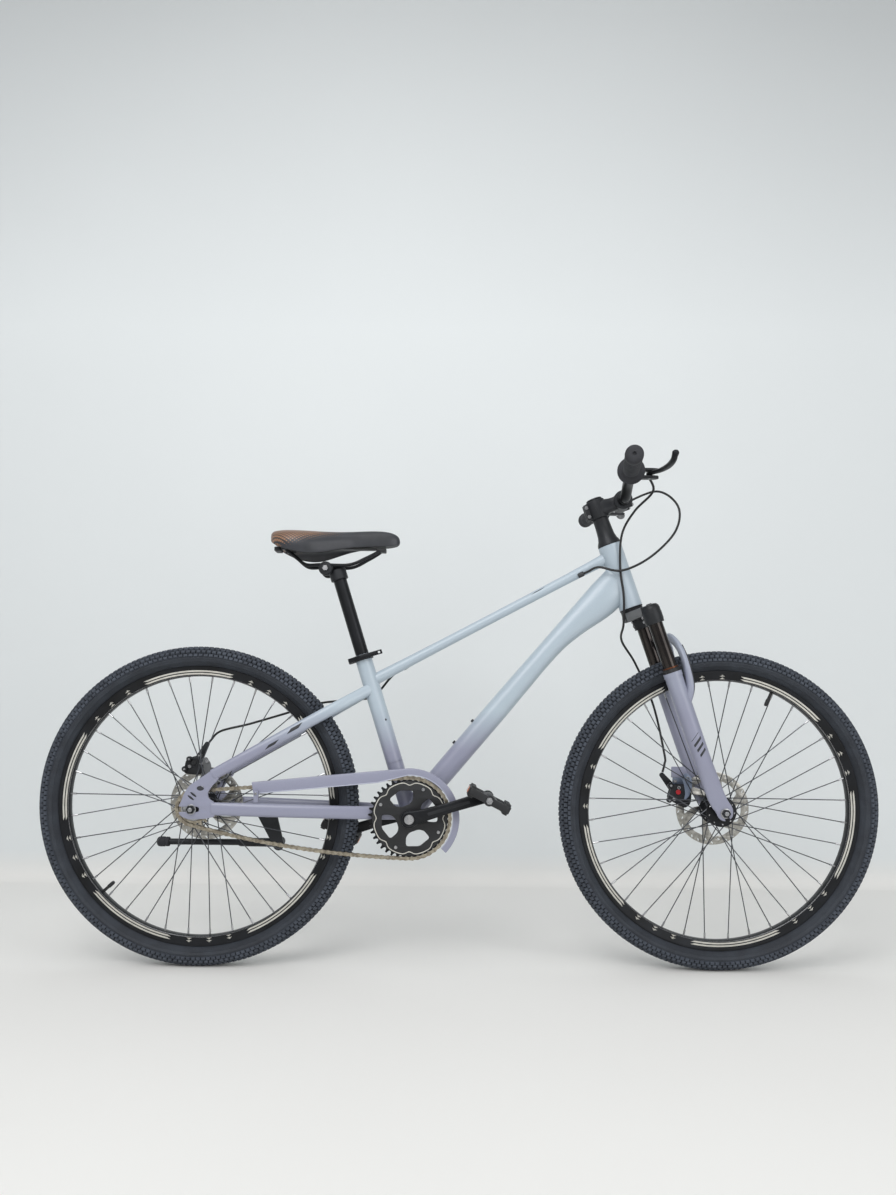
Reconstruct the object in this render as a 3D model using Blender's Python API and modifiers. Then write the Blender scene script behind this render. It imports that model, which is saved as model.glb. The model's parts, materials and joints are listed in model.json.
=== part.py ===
# Hardtail mountain bike, single speed, with a suspension fork and two disc brakes.
# X points forward, Y to the rider's left and Z up. The origin is on the ground, midway
# between the two tyre contact points. The drive side is at -Y. All sizes are in metres.
# Round pieces are faceted, and each tyre stands on one of its flats.

import math

import bmesh
import bpy
from mathutils import Matrix, Vector

# Wheels and where they stand
RIM_OUTER_RADIUS = 0.301
RIM_DEPTH = 0.022
TYRE_HEIGHT = 0.044
TYRE_WIDTH = 0.054
RIM_WIDTH = 0.024
WHEELBASE = 1.116
WHEEL_SIDES = 30
SPOKES_PER_SIDE = 18
SPOKE_DIAMETER = 0.0021
HUB_BARREL_RADIUS = 0.0235
HUB_FLANGE_RADIUS = 0.0310
FRONT_HUB_WIDTH = 0.100
REAR_HUB_WIDTH = 0.135
ROTOR_RADIUS = 0.080
ROTOR_THICKNESS = 0.0018

# Frame
HEAD_ANGLE = math.radians(70.5)
SEAT_ANGLE = math.radians(72.8)
HEAD_TUBE_LENGTH = 0.142
HEAD_TUBE_RADIUS = 0.0250
TOP_TUBE_RADIUS = 0.0105
SEAT_TUBE_LENGTH = 0.362
SEAT_TUBE_RADIUS = 0.0180
DOWN_TUBE_DEPTH = 0.047
DOWN_TUBE_WIDTH = 0.042
CHAINSTAY_DEPTH = 0.028
SEATSTAY_DEPTH = 0.024
BB_X = -0.1042
BB_HEIGHT = 0.326
BB_SHELL_WIDTH = 0.068
BB_SHELL_RADIUS = 0.0210
DROPOUT_THICKNESS = 0.005

# Fork
FORK_LENGTH = 0.474
FORK_OFFSET = 0.0346
FORK_TRAVEL = 0.070
LEG_SPACING = 0.115
LEG_OFFSET = 0.025
STANCHION_RADIUS = 0.0150
LOWER_LEG_RADIUS = 0.0190
STANCHION_EXPOSED = 0.098
STANCHION_OVERLAP = 0.110

# Handlebar and stem
STACK_HEIGHT = 0.061
STEM_HEIGHT = 0.040
STEM_EXTENSION = 0.055
BAR_WIDTH = 0.620
BAR_RADIUS = 0.0111
BAR_CLAMP_RADIUS = 0.0127
BAR_RISE = 0.020
BAR_SWEEP = 0.034
GRIP_LENGTH = 0.122
GRIP_RADIUS = 0.0168
LEVER_REACH = 0.060
LEVER_LENGTH = 0.112

# Seat
SEATPOST_RADIUS = 0.0143
SEATPOST_EXPOSED = 0.192
SEATPOST_INSERTED = 0.110
SEATPOST_DROP = 0.100
SADDLE_LENGTH = 0.276
SADDLE_WIDTH = 0.150
SADDLE_SETBACK = 0.1395
SADDLE_TOP_RISE = 0.081
RAIL_DIAMETER = 0.007
RAIL_SPACING = 0.044

# Drivetrain
CHAIN_PITCH = 0.0127
CHAINRING_TEETH = 42
COG_TEETH = 18
CHAINLINE = 0.048
CRANK_LENGTH = 0.170
CRANK_ANGLE = math.radians(17.0)
CRANK_INNER_FACE = 0.064
CRANK_THICKNESS = 0.014
SPROCKET_THICKNESS = 0.0022
CHAIN_WIDTH = 0.0084
CHAIN_HEIGHT = 0.0086
PEDAL_LENGTH = 0.094
PEDAL_WIDTH = 0.082
PEDAL_THICKNESS = 0.024
PEDAL_TILT = math.radians(27.0)

# Kickstand
KICKSTAND_AHEAD = 0.158
KICKSTAND_DROP = 0.0872
KICKSTAND_LENGTH = 0.262
KICKSTAND_SPLAY = math.radians(22.0)

# Cables
CABLE_RADIUS = 0.0025

# Fits
GAP = 0.0003
BEARING_GAP = 0.0005

RIGHT = -1
LEFT = 1

# Places worked out from the sizes above
RIM_INNER_RADIUS = RIM_OUTER_RADIUS - RIM_DEPTH
TYRE_RADIUS = RIM_OUTER_RADIUS + TYRE_HEIGHT
FACET = math.cos(math.pi / WHEEL_SIDES)
AXLE_HEIGHT = TYRE_RADIUS * FACET
FRONT_AXLE = Vector((WHEELBASE / 2, 0, AXLE_HEIGHT))
REAR_AXLE = Vector((-WHEELBASE / 2, 0, AXLE_HEIGHT))
STEER_DOWN = Vector((math.cos(HEAD_ANGLE), 0, -math.sin(HEAD_ANGLE)))
STEER_AHEAD = Vector((math.sin(HEAD_ANGLE), 0, math.cos(HEAD_ANGLE)))
HEAD_BOTTOM = FRONT_AXLE - STEER_DOWN * FORK_LENGTH - STEER_AHEAD * FORK_OFFSET
HEAD_TOP = HEAD_BOTTOM - STEER_DOWN * HEAD_TUBE_LENGTH
BB = Vector((BB_X, 0, BB_HEIGHT))
SEAT_UP = Vector((-math.cos(SEAT_ANGLE), 0, math.sin(SEAT_ANGLE)))
SEAT_AHEAD = Vector((math.sin(SEAT_ANGLE), 0, math.cos(SEAT_ANGLE)))
SEAT_TOP = BB + SEAT_UP * SEAT_TUBE_LENGTH
ACROSS = Vector((0, 1, 0))
KICKSTAND_X = REAR_AXLE.x + KICKSTAND_AHEAD


# Scene and materials

def clear_scene():
    for obj in list(bpy.data.objects):
        bpy.data.objects.remove(obj, do_unlink=True)


def new_collection(name, hidden=False):
    collection = bpy.data.collections.new(name)
    bpy.context.scene.collection.children.link(collection)
    collection.hide_render = hidden
    return collection


clear_scene()
PARTS = new_collection("hardtail_mountain_bike")
CUTTERS = new_collection("cutters", hidden=True)


def make_material(name, colour, roughness, metallic):
    material = bpy.data.materials.new(name)
    material.use_nodes = True
    shader = material.node_tree.nodes["Principled BSDF"]
    shader.inputs["Base Color"].default_value = (*colour, 1)
    shader.inputs["Roughness"].default_value = roughness
    shader.inputs["Metallic"].default_value = metallic
    return material


LAVENDER = make_material("lavender_paint", (0.36, 0.36, 0.50), 0.35, 0.0)
TYRE_RUBBER = make_material("tyre_rubber", (0.028, 0.032, 0.040), 0.85, 0.0)
RIM_BLACK = make_material("anodised_rim", (0.020, 0.021, 0.023), 0.35, 0.8)
HUB_BLACK = make_material("hub_alloy", (0.015, 0.015, 0.016), 0.40, 0.7)
ROTOR_STEEL = make_material("rotor_steel", (0.62, 0.61, 0.58), 0.30, 1.0)
CHAIN_STEEL = make_material("chain_steel", (0.42, 0.36, 0.28), 0.38, 1.0)
BLACK_ALLOY = make_material("black_alloy", (0.022, 0.023, 0.026), 0.40, 0.6)
STANCHION_CHROME = make_material("dark_chrome", (0.16, 0.15, 0.14), 0.15, 1.0)
BLACK_PLASTIC = make_material("black_plastic", (0.018, 0.018, 0.020), 0.55, 0.0)
BOLT_STEEL = make_material("zinc_steel", (0.55, 0.55, 0.56), 0.30, 1.0)
GRIP_RUBBER = make_material("grip_rubber", (0.030, 0.031, 0.034), 0.80, 0.0)
SADDLE_VINYL = make_material("saddle_vinyl", (0.018, 0.020, 0.030), 0.45, 0.0)
CABLE_BLACK = make_material("cable_housing", (0.010, 0.010, 0.011), 0.45, 0.0)


# Shape tools

def object_from_bmesh(name, bm):
    bmesh.ops.remove_doubles(bm, verts=bm.verts, dist=1e-7)
    bmesh.ops.recalc_face_normals(bm, faces=bm.faces)
    mesh = bpy.data.meshes.new(name)
    bm.to_mesh(mesh)
    bm.free()
    obj = bpy.data.objects.new(name, mesh)
    CUTTERS.objects.link(obj)
    return obj


def evaluated_mesh(obj):
    bpy.context.view_layer.update()
    graph = bpy.context.evaluated_depsgraph_get()
    return bpy.data.meshes.new_from_object(obj.evaluated_get(graph))


def as_solid(obj, matrix=None, weld=1e-6):
    """Turn an object with modifiers, or a curve, into a plain closed mesh."""
    mesh = evaluated_mesh(obj)
    bm = bmesh.new()
    bm.from_mesh(mesh)
    bpy.data.meshes.remove(mesh)
    bmesh.ops.transform(bm, matrix=(matrix or Matrix()) @ obj.matrix_world, verts=bm.verts)
    bmesh.ops.remove_doubles(bm, verts=bm.verts, dist=weld)
    name = obj.name
    bpy.data.objects.remove(obj, do_unlink=True)
    return object_from_bmesh(name, bm)


def frame_matrix(origin, axis, side=ACROSS):
    """Local Z on the axis, local Y as near as can be to side."""
    z = Vector(axis).normalized()
    x = Vector(side).cross(z)
    if x.length < 1e-6:
        x = Vector((1, 0, 0))
    x.normalize()
    y = z.cross(x)
    rotation = Matrix((x, y, z)).transposed().to_4x4()
    return Matrix.Translation(origin) @ rotation


def rod(start, end, radius, sides=16, end_radius=None):
    start, end = Vector(start), Vector(end)
    bm = bmesh.new()
    length = (end - start).length
    bmesh.ops.create_cone(bm, cap_ends=True, segments=sides, radius1=radius,
                          radius2=radius if end_radius is None else end_radius, depth=length)
    turn = Matrix.Rotation(-math.pi / 2, 4, "Z")
    bmesh.ops.transform(bm, matrix=frame_matrix((start + end) / 2, end - start) @ turn, verts=bm.verts)
    return object_from_bmesh("rod", bm)


def block(centre, size, matrix=None):
    bm = bmesh.new()
    bmesh.ops.create_cube(bm, size=1.0)
    bmesh.ops.transform(bm, matrix=Matrix.Diagonal((*size, 1)), verts=bm.verts)
    bmesh.ops.transform(bm, matrix=Matrix.Translation(centre), verts=bm.verts)
    if matrix is not None:
        bmesh.ops.transform(bm, matrix=matrix, verts=bm.verts)
    return object_from_bmesh("block", bm)


def turned(profile, sides, origin=(0, 0, 0), axis=(0, 1, 0), closed=False):
    """Spin (radius, along) points round the axis through origin with a Screw modifier."""
    mesh = bpy.data.meshes.new("profile")
    verts = [(r, 0, a) for r, a in profile]
    edges = [(i, i + 1) for i in range(len(verts) - 1)]
    if closed:
        edges.append((len(verts) - 1, 0))
    mesh.from_pydata(verts, edges, [])
    obj = bpy.data.objects.new("turned", mesh)
    CUTTERS.objects.link(obj)
    screw = obj.modifiers.new("spin", "SCREW")
    screw.axis = "Z"
    screw.angle = math.tau
    screw.steps = sides
    screw.render_steps = sides
    screw.use_merge_vertices = True
    screw.merge_threshold = 0.00001
    return as_solid(obj, frame_matrix(origin, axis), weld=1e-5)


def plate(loops, thickness, matrix):
    """A flat outline with holes, as a 2D curve filled and extruded both ways from its plane."""
    curve = bpy.data.curves.new("outline", "CURVE")
    curve.dimensions = "2D"
    curve.fill_mode = "BOTH"
    curve.extrude = thickness / 2
    for loop in loops:
        spline = curve.splines.new("POLY")
        spline.points.add(len(loop) - 1)
        for point, (a, b) in zip(spline.points, loop):
            point.co = (a, b, 0, 1)
        spline.use_cyclic_u = True
    obj = bpy.data.objects.new("plate", curve)
    CUTTERS.objects.link(obj)
    return as_solid(obj, matrix, weld=1e-6)


def side_plate(loops, y_low, y_high):
    """An outline in the XZ plane, between two Y values."""
    matrix = Matrix.Translation((0, (y_low + y_high) / 2, 0)) @ Matrix.Rotation(math.pi / 2, 4, "X")
    return plate(loops, y_high - y_low, matrix)


def tube(points, radius, resolution=2, radii=None):
    """A wire or tube along points: a curve with a bevel and filled caps."""
    curve = bpy.data.curves.new("path", "CURVE")
    curve.dimensions = "3D"
    curve.bevel_depth = radius
    curve.bevel_resolution = resolution
    curve.use_fill_caps = True
    spline = curve.splines.new("POLY")
    spline.points.add(len(points) - 1)
    for i, place in enumerate(points):
        spline.points[i].co = (*place, 1)
        spline.points[i].radius = radii[i] if radii else 1.0
    obj = bpy.data.objects.new("tube", curve)
    CUTTERS.objects.link(obj)
    return as_solid(obj, weld=1e-6)


def smooth_path(route, count):
    """Points spaced along a smooth curve that passes through the route's own points."""
    route = [Vector(p) for p in route]
    ends = [route[0] * 2 - route[1]] + route + [route[-1] * 2 - route[-2]]
    fine = []
    steps = 12
    for i in range(1, len(ends) - 2):
        a, b, c, d = ends[i - 1:i + 3]
        for k in range(steps):
            t = k / steps
            fine.append(0.5 * (2 * b + (c - a) * t + (2 * a - 5 * b + 4 * c - d) * t * t
                               + (3 * b - a - 3 * c + d) * t ** 3))
    fine.append(route[-1])
    reach = [0.0]
    for p, q in zip(fine, fine[1:]):
        reach.append(reach[-1] + (q - p).length)
    points = []
    j = 0
    for k in range(count):
        want = reach[-1] * k / (count - 1)
        while j < len(reach) - 2 and reach[j + 1] < want:
            j += 1
        part = (want - reach[j]) / max(reach[j + 1] - reach[j], 1e-9)
        points.append(fine[j].lerp(fine[j + 1], part))
    return points


def oval(sides, half_a, half_b, square=2.0):
    """Points of a rounded oval; a higher power makes it boxier."""
    points = []
    for i in range(sides):
        angle = math.tau * (i + 0.5) / sides
        c, s = math.cos(angle), math.sin(angle)
        a = math.copysign(abs(c) ** (2 / square), c) * half_a
        b = math.copysign(abs(s) ** (2 / square), s) * half_b
        points.append((a, b))
    return points


def loft(rings):
    """Skin a list of rings with the same number of points, and cap both ends."""
    bm = bmesh.new()
    made = [[bm.verts.new(p) for p in ring] for ring in rings]
    count = len(made[0])
    for low, high in zip(made, made[1:]):
        for i in range(count):
            j = (i + 1) % count
            bm.faces.new((low[i], low[j], high[j], high[i]))
    bm.faces.new(list(reversed(made[0])))
    bm.faces.new(made[-1])
    return object_from_bmesh("loft", bm)


def stay(stations, sides=10, square=2.4, reference=ACROSS):
    """A tapering member. A station is (centre, half width along the reference, half depth)."""
    rings = []
    for i, (centre, half_width, half_depth) in enumerate(stations):
        before = Vector(stations[max(i - 1, 0)][0])
        after = Vector(stations[min(i + 1, len(stations) - 1)][0])
        along = (after - before).normalized()
        across = (reference - along * reference.dot(along)).normalized()
        up = along.cross(across)
        rings.append([Vector(centre) + across * a + up * b
                      for a, b in oval(sides, half_width, half_depth, square)])
    return loft(rings)


def combine(base, others, operation):
    for other in others:
        modifier = base.modifiers.new("combine", "BOOLEAN")
        modifier.operation = operation
        modifier.solver = "EXACT"
        modifier.object = other
    result = as_solid(base, weld=1e-6)
    for other in others:
        bpy.data.objects.remove(other, do_unlink=True)
    return result


def join(base, *others):
    return combine(base, others, "UNION")


def cut(base, *others):
    for other in others:
        other.hide_render = True
        other.display_type = "WIRE"
    return combine(base, others, "DIFFERENCE")


def finish(name, obj, material, pivot=(0, 0, 0), smooth=35):
    """Name a finished solid, move its origin to its pivot and put it with the parts."""
    CUTTERS.objects.unlink(obj)
    PARTS.objects.link(obj)
    obj.name = name
    obj.data.name = name
    pivot = Vector(pivot)
    obj.data.transform(Matrix.Translation(-pivot))
    obj.location = pivot
    obj.data.materials.clear()
    obj.data.materials.append(material)
    obj.data.shade_smooth()
    obj.data.set_sharp_from_angle(angle=math.radians(smooth))
    return obj


def steer_point(ahead, down, across=0.0):
    """A point in the fork's own frame: ahead of the steering axis, down from the head tube."""
    return HEAD_BOTTOM + STEER_AHEAD * ahead + STEER_DOWN * down + ACROSS * across


STEER_MATRIX = Matrix((STEER_AHEAD, ACROSS, -STEER_DOWN)).transposed().to_4x4()
STEER_FRAME = Matrix.Translation(HEAD_BOTTOM) @ STEER_MATRIX
SEAT_MATRIX = Matrix((SEAT_AHEAD, ACROSS, SEAT_UP)).transposed().to_4x4()


def seat_point(ahead, up, across=0.0):
    """A point in the seat tube's own frame: ahead of its axis, up from its top end."""
    return SEAT_TOP + SEAT_AHEAD * ahead + SEAT_UP * up + ACROSS * across


def circle(radius, sides, centre=(0.0, 0.0), turn=0.0):
    return [(centre[0] + radius * math.cos(math.tau * i / sides + turn),
             centre[1] + radius * math.sin(math.tau * i / sides + turn)) for i in range(sides)]


def clear_bore(radius, clearance, sides):
    """Corner radius of a faceted bore that a round shaft turns in with this clearance."""
    return (radius + clearance) / math.cos(math.pi / sides)


# Wheels

RIM_BED_RADIUS = RIM_OUTER_RADIUS - 0.0105
RIM_WALL = 0.0022
FRONT_ROTOR_Y = 0.0405
REAR_ROTOR_Y = 0.0544
ROTOR_BORE = 0.0163
AXLE_RADIUS = 0.0048
AXLE_BORE = AXLE_RADIUS + BEARING_GAP


def mirrored_profile(half):
    """Close a section whose first and last points lie on its middle plane."""
    other = [(r, -y) for r, y in reversed(half[1:-1])]
    return half + other


def tyre(name, centre):
    edge = RIM_WIDTH / 2 - RIM_WALL - GAP
    bead = RIM_BED_RADIUS + GAP
    lip = RIM_OUTER_RADIUS + GAP
    half = [
        (TYRE_RADIUS, 0),
        (TYRE_RADIUS - 0.006, TYRE_WIDTH * 0.36),
        (TYRE_RADIUS - 0.0185, TYRE_WIDTH / 2),
        (lip, edge),
        (bead, edge),
        (bead, edge - 0.0033),
        (TYRE_RADIUS - 0.0235, edge + 0.0045),
        (TYRE_RADIUS - 0.004, 0),
    ]
    solid = turned(mirrored_profile(half), WHEEL_SIDES, centre, closed=True)
    return finish(name, solid, TYRE_RUBBER, centre)


def rim(name, centre):
    half = RIM_WIDTH / 2
    inside = half - RIM_WALL
    profile = [
        (RIM_OUTER_RADIUS, half),
        (RIM_OUTER_RADIUS, inside),
        (RIM_BED_RADIUS, inside),
        (RIM_BED_RADIUS, -inside),
        (RIM_OUTER_RADIUS, -inside),
        (RIM_OUTER_RADIUS, -half),
        (RIM_INNER_RADIUS, -half * 0.6),
        (RIM_INNER_RADIUS, half * 0.6),
    ]
    solid = turned(profile, WHEEL_SIDES, centre, closed=True)
    return finish(name, solid, RIM_BLACK, centre)


def spokes(centre, right_flange, left_flange):
    """Three-cross lacing: on each flange every second spoke leads and the others trail."""
    step = math.tau / SPOKES_PER_SIDE
    reach = RIM_INNER_RADIUS * FACET - GAP
    start = HUB_FLANGE_RADIUS - 0.004
    rods = []
    for side, flange in ((RIGHT, right_flange), (LEFT, left_flange)):
        for k in range(SPOKES_PER_SIDE):
            leads = 1 if k % 2 == 0 else -1
            angle = step * (k + (0.25 if side == LEFT else -0.25))
            rim_angle = angle + leads * 3 * step
            layer = leads * side * 0.0012
            low = centre + Vector((start * math.cos(angle), flange + layer, start * math.sin(angle)))
            high = centre + Vector((reach * math.cos(rim_angle), side * 0.003 + layer,
                                    reach * math.sin(rim_angle)))
            rods.append(rod(low, high, SPOKE_DIAMETER / 2 * 1.15, sides=3))
    return rods


def hub(name, centre, profile, right_flange, left_flange):
    body = turned(profile, 12, centre, closed=True)
    solid = join(body, *spokes(centre, right_flange, left_flange))
    return finish(name, solid, HUB_BLACK, centre)


def hub_profile(right_end, left_end, right_flange, left_flange, right_core, rotor_y):
    """Outer surface from the right end to the left end, then back through the axle bore."""
    seat = rotor_y - ROTOR_THICKNESS / 2 - GAP
    return [
        (right_core, right_end),
        (right_core, right_flange - 0.0055),
        (HUB_FLANGE_RADIUS, right_flange - 0.0018),
        (HUB_FLANGE_RADIUS, right_flange + 0.0018),
        (HUB_BARREL_RADIUS, right_flange + 0.0040),
        (HUB_BARREL_RADIUS, left_flange - 0.0040),
        (HUB_FLANGE_RADIUS, left_flange - 0.0018),
        (HUB_FLANGE_RADIUS, left_flange + 0.0018),
        (0.0215, seat),
        (ROTOR_BORE - 0.0013, seat),
        (ROTOR_BORE - 0.0013, rotor_y + ROTOR_THICKNESS),
        (0.0100, rotor_y + ROTOR_THICKNESS + 0.0008),
        (0.0100, left_end),
        (AXLE_BORE, left_end),
        (AXLE_BORE, right_end),
    ]


def rotor(name, centre, y):
    """Braking ring with slots, on five swept arms."""
    arms = 5
    slots = 6
    loops = [circle(ROTOR_RADIUS, 26), circle(ROTOR_BORE, 10)]
    for k in range(arms):
        turn = math.tau * k / arms
        sweep = 0.45
        loops.append([(r * math.cos(turn + a), r * math.sin(turn + a)) for r, a in (
            (0.0265, 0.16), (0.0265, 1.00),
            (0.0620, 1.08 + sweep), (0.0630, 0.62 + sweep), (0.0620, 0.20 + sweep))])
    for k in range(slots):
        turn = math.tau * (k + 0.5) / slots
        loops.append([(r * math.cos(turn + a), r * math.sin(turn + a)) for r, a in (
            (0.0665, -0.03), (0.0690, 0.06), (0.0760, 0.03), (0.0735, -0.06))])
    solid = side_plate(loops, y - ROTOR_THICKNESS / 2, y + ROTOR_THICKNESS / 2)
    solid.data.transform(Matrix.Translation(centre))
    return finish(name, solid, ROTOR_STEEL, centre)


def valve(name, centre, step):
    angle = math.tau * (step + 0.5) / WHEEL_SIDES
    out = Vector((math.cos(angle), 0, math.sin(angle)))
    seat = RIM_INNER_RADIUS * FACET - GAP
    stem = rod(centre + out * seat, centre + out * (seat - 0.018), 0.0035, sides=8)
    cap = rod(centre + out * (seat - 0.016), centre + out * (seat - 0.030), 0.0042, 8, 0.0032)
    return finish(name, join(stem, cap), BLACK_PLASTIC, centre)


def axle(name, centre, dropout_face, nut_height=0.0080):
    """A threaded axle with a hexagon nut outside each dropout."""
    reach = dropout_face + GAP + nut_height + 0.0035
    shaft = rod(centre - ACROSS * reach, centre + ACROSS * reach, AXLE_RADIUS, sides=10)
    pieces = []
    for side in (RIGHT, LEFT):
        low = centre + ACROSS * side * (dropout_face + GAP)
        pieces.append(rod(low, low + ACROSS * side * nut_height, 0.0095, 6, 0.0086))
    return finish(name, join(shaft, *pieces), BOLT_STEEL, centre)


FRONT_DROPOUT_THICKNESS = 0.009
FRONT_HUB_HALF = FRONT_HUB_WIDTH / 2
REAR_HUB_HALF = REAR_HUB_WIDTH / 2
FRONT_FLANGE = 0.0285
REAR_FLANGE_RIGHT = -0.0330
REAR_FLANGE_LEFT = 0.0330
FREEWHEEL_CORE = 0.0116

tyre("front_tyre", FRONT_AXLE)
rim("front_rim", FRONT_AXLE)
hub("front_hub", FRONT_AXLE,
    hub_profile(-FRONT_HUB_HALF + GAP, FRONT_HUB_HALF - GAP, -FRONT_FLANGE, FRONT_FLANGE, 0.0100, FRONT_ROTOR_Y),
    -FRONT_FLANGE, FRONT_FLANGE)
rotor("front_rotor", FRONT_AXLE, FRONT_ROTOR_Y)
valve("front_valve", FRONT_AXLE, 5)
axle("front_axle", FRONT_AXLE, FRONT_HUB_HALF + FRONT_DROPOUT_THICKNESS)

tyre("rear_tyre", REAR_AXLE)
rim("rear_rim", REAR_AXLE)
hub("rear_hub", REAR_AXLE,
    hub_profile(-REAR_HUB_HALF + GAP, REAR_HUB_HALF - GAP, REAR_FLANGE_RIGHT, REAR_FLANGE_LEFT,
                FREEWHEEL_CORE, REAR_ROTOR_Y),
    REAR_FLANGE_RIGHT, REAR_FLANGE_LEFT)
rotor("rear_rotor", REAR_AXLE, REAR_ROTOR_Y)
valve("rear_valve", REAR_AXLE, 18)
axle("rear_axle", REAR_AXLE, REAR_HUB_HALF + DROPOUT_THICKNESS)


# Frame

TOP_TUBE_HEAD_DROP = 0.022
TOP_TUBE_SEAT_DROP = 0.061
SEATSTAY_DROP = 0.075
DOWN_TUBE_HEAD_RISE = 0.070
STAY_TO_AXLE = 0.042
HEAD_TUBE_BORE = 0.0215
BB_BORE = 0.0180
TOP_TUBE_BORE = 0.0085

top_tube_front = HEAD_TOP + STEER_DOWN * TOP_TUBE_HEAD_DROP
top_tube_rear = SEAT_TOP - SEAT_UP * TOP_TUBE_SEAT_DROP
TOP_TUBE_ALONG = (top_tube_front - top_tube_rear).normalized()
TOP_TUBE_UNDER = Vector((TOP_TUBE_ALONG.z, 0, -TOP_TUBE_ALONG.x))


def down_tube():
    """Rounded tube, deepest where it meets the head tube."""
    foot = BB
    head = HEAD_BOTTOM - STEER_DOWN * DOWN_TUBE_HEAD_RISE
    along = (head - foot).normalized()
    below = Vector((along.z, 0, -along.x))
    depth = DOWN_TUBE_DEPTH / 2
    width = DOWN_TUBE_WIDTH / 2
    shape = [
        (0.020, -0.006, width, depth),
        (0.184, -0.008, width, depth),
        (0.436, -0.0105, width, depth),
        (0.674, -0.0125, width, depth - 0.0015),
        (0.786, -0.008, width, depth + 0.0035),
        (0.917, 0.0024, width + 0.0025, depth + 0.0143),
        (0.997, -0.0036, width - 0.0020, depth + 0.0065),
    ]
    stations = [(foot.lerp(head, t) + below * drop, w, d) for t, drop, w, d in shape]
    return stay(stations, sides=12, square=2.3)


CHAINSTAY_START = Vector((-0.006, 0, 0.007))
CHAINSTAY_END = Vector((STAY_TO_AXLE, 0, 0.0014))
CHAINSTAY_SIDES = 8
CHAINSTAY_SQUARE = 2.8
CHAINSTAY_REACH = CHAINSTAY_DEPTH / 2 * math.cos(math.pi / CHAINSTAY_SIDES) ** (2 / CHAINSTAY_SQUARE)


def chainstay(side):
    """From the bottom bracket out past the tyre to the dropout, narrowest beside the chainring."""
    start = BB + CHAINSTAY_START
    end = REAR_AXLE + CHAINSTAY_END
    half = CHAINSTAY_DEPTH / 2
    shape = [
        (0.00, 0.0240, 0.0090, half - 0.0020),
        (0.10, 0.0310, 0.0080, half - 0.0005),
        (0.225, 0.0385, 0.0058, half),
        (0.37, 0.0475, 0.0080, half),
        (0.59, 0.0565, 0.0085, half),
        (0.84, 0.0645, 0.0080, half),
        (1.00, 0.0695, 0.0050, half - 0.0005),
    ]
    stations = [(start.lerp(end, t) + ACROSS * side * y, w, d) for t, y, w, d in shape]
    return stay(stations, sides=CHAINSTAY_SIDES, square=CHAINSTAY_SQUARE)


SEATSTAY_START = SEAT_TOP - SEAT_UP * SEATSTAY_DROP
SEATSTAY_END = REAR_AXLE + Vector((0.044, 0, 0.072))


def seatstay(side):
    """From behind the seat tube, round the tyre, down to the top of the dropout."""
    half = SEATSTAY_DEPTH / 2
    shape = [
        (0.00, 0.0100, 0.0070, half),
        (0.10, 0.0220, 0.0075, half),
        (0.20, 0.0350, 0.0075, half),
        (0.28, 0.0420, 0.0075, half),
        (0.50, 0.0520, 0.0075, half),
        (0.80, 0.0635, 0.0070, half),
        (1.00, 0.0695, 0.0050, half - 0.0005),
    ]
    stations = [(SEATSTAY_START.lerp(SEATSTAY_END, t) + ACROSS * side * y, w, d) for t, y, w, d in shape]
    return stay(stations, sides=8, square=2.4)


def dropout(side):
    """Rear end plate: an open horizontal axle slot, a lightening hole and a slanted slot."""
    outline = [(-0.027, -0.004), (-0.022, -0.014), (-0.008, -0.0205), (0.030, -0.0195),
               (0.050, -0.0145), (0.050, 0.0140), (0.036, 0.0230), (0.034, 0.034),
               (0.042, 0.048), (0.058, 0.064), (0.044, 0.083), (0.0156, 0.063),
               (-0.004, 0.050), (-0.0156, 0.032), (-0.022, 0.014)]
    inner = REAR_HUB_WIDTH / 2
    low, high = sorted((side * inner, side * (inner + DROPOUT_THICKNESS)))
    body = side_plate([outline], low, high)
    slot = block((-0.014, 0, 0), (0.060, 0.02, AXLE_RADIUS * 2 + 0.0014))
    slot_end = rod((0.016, -0.01, 0), (0.016, 0.01, 0), AXLE_RADIUS + 0.0007, sides=8)
    hole = rod((0.0190, -0.01, 0.0440), (0.0190, 0.01, 0.0440), 0.0060, sides=6)
    slant = block((0, 0, 0), (0.017, 0.02, 0.0065),
                  Matrix.Translation((0.002, 0, 0.0275)) @ Matrix.Rotation(math.radians(38), 4, "Y"))
    for piece in (slot, slot_end, hole, slant):
        piece.data.transform(Matrix.Translation((0, (low + high) / 2, 0)))
    body = cut(body, slot, slot_end, hole, slant)
    body.data.transform(Matrix.Translation(REAR_AXLE))
    return body


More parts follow.
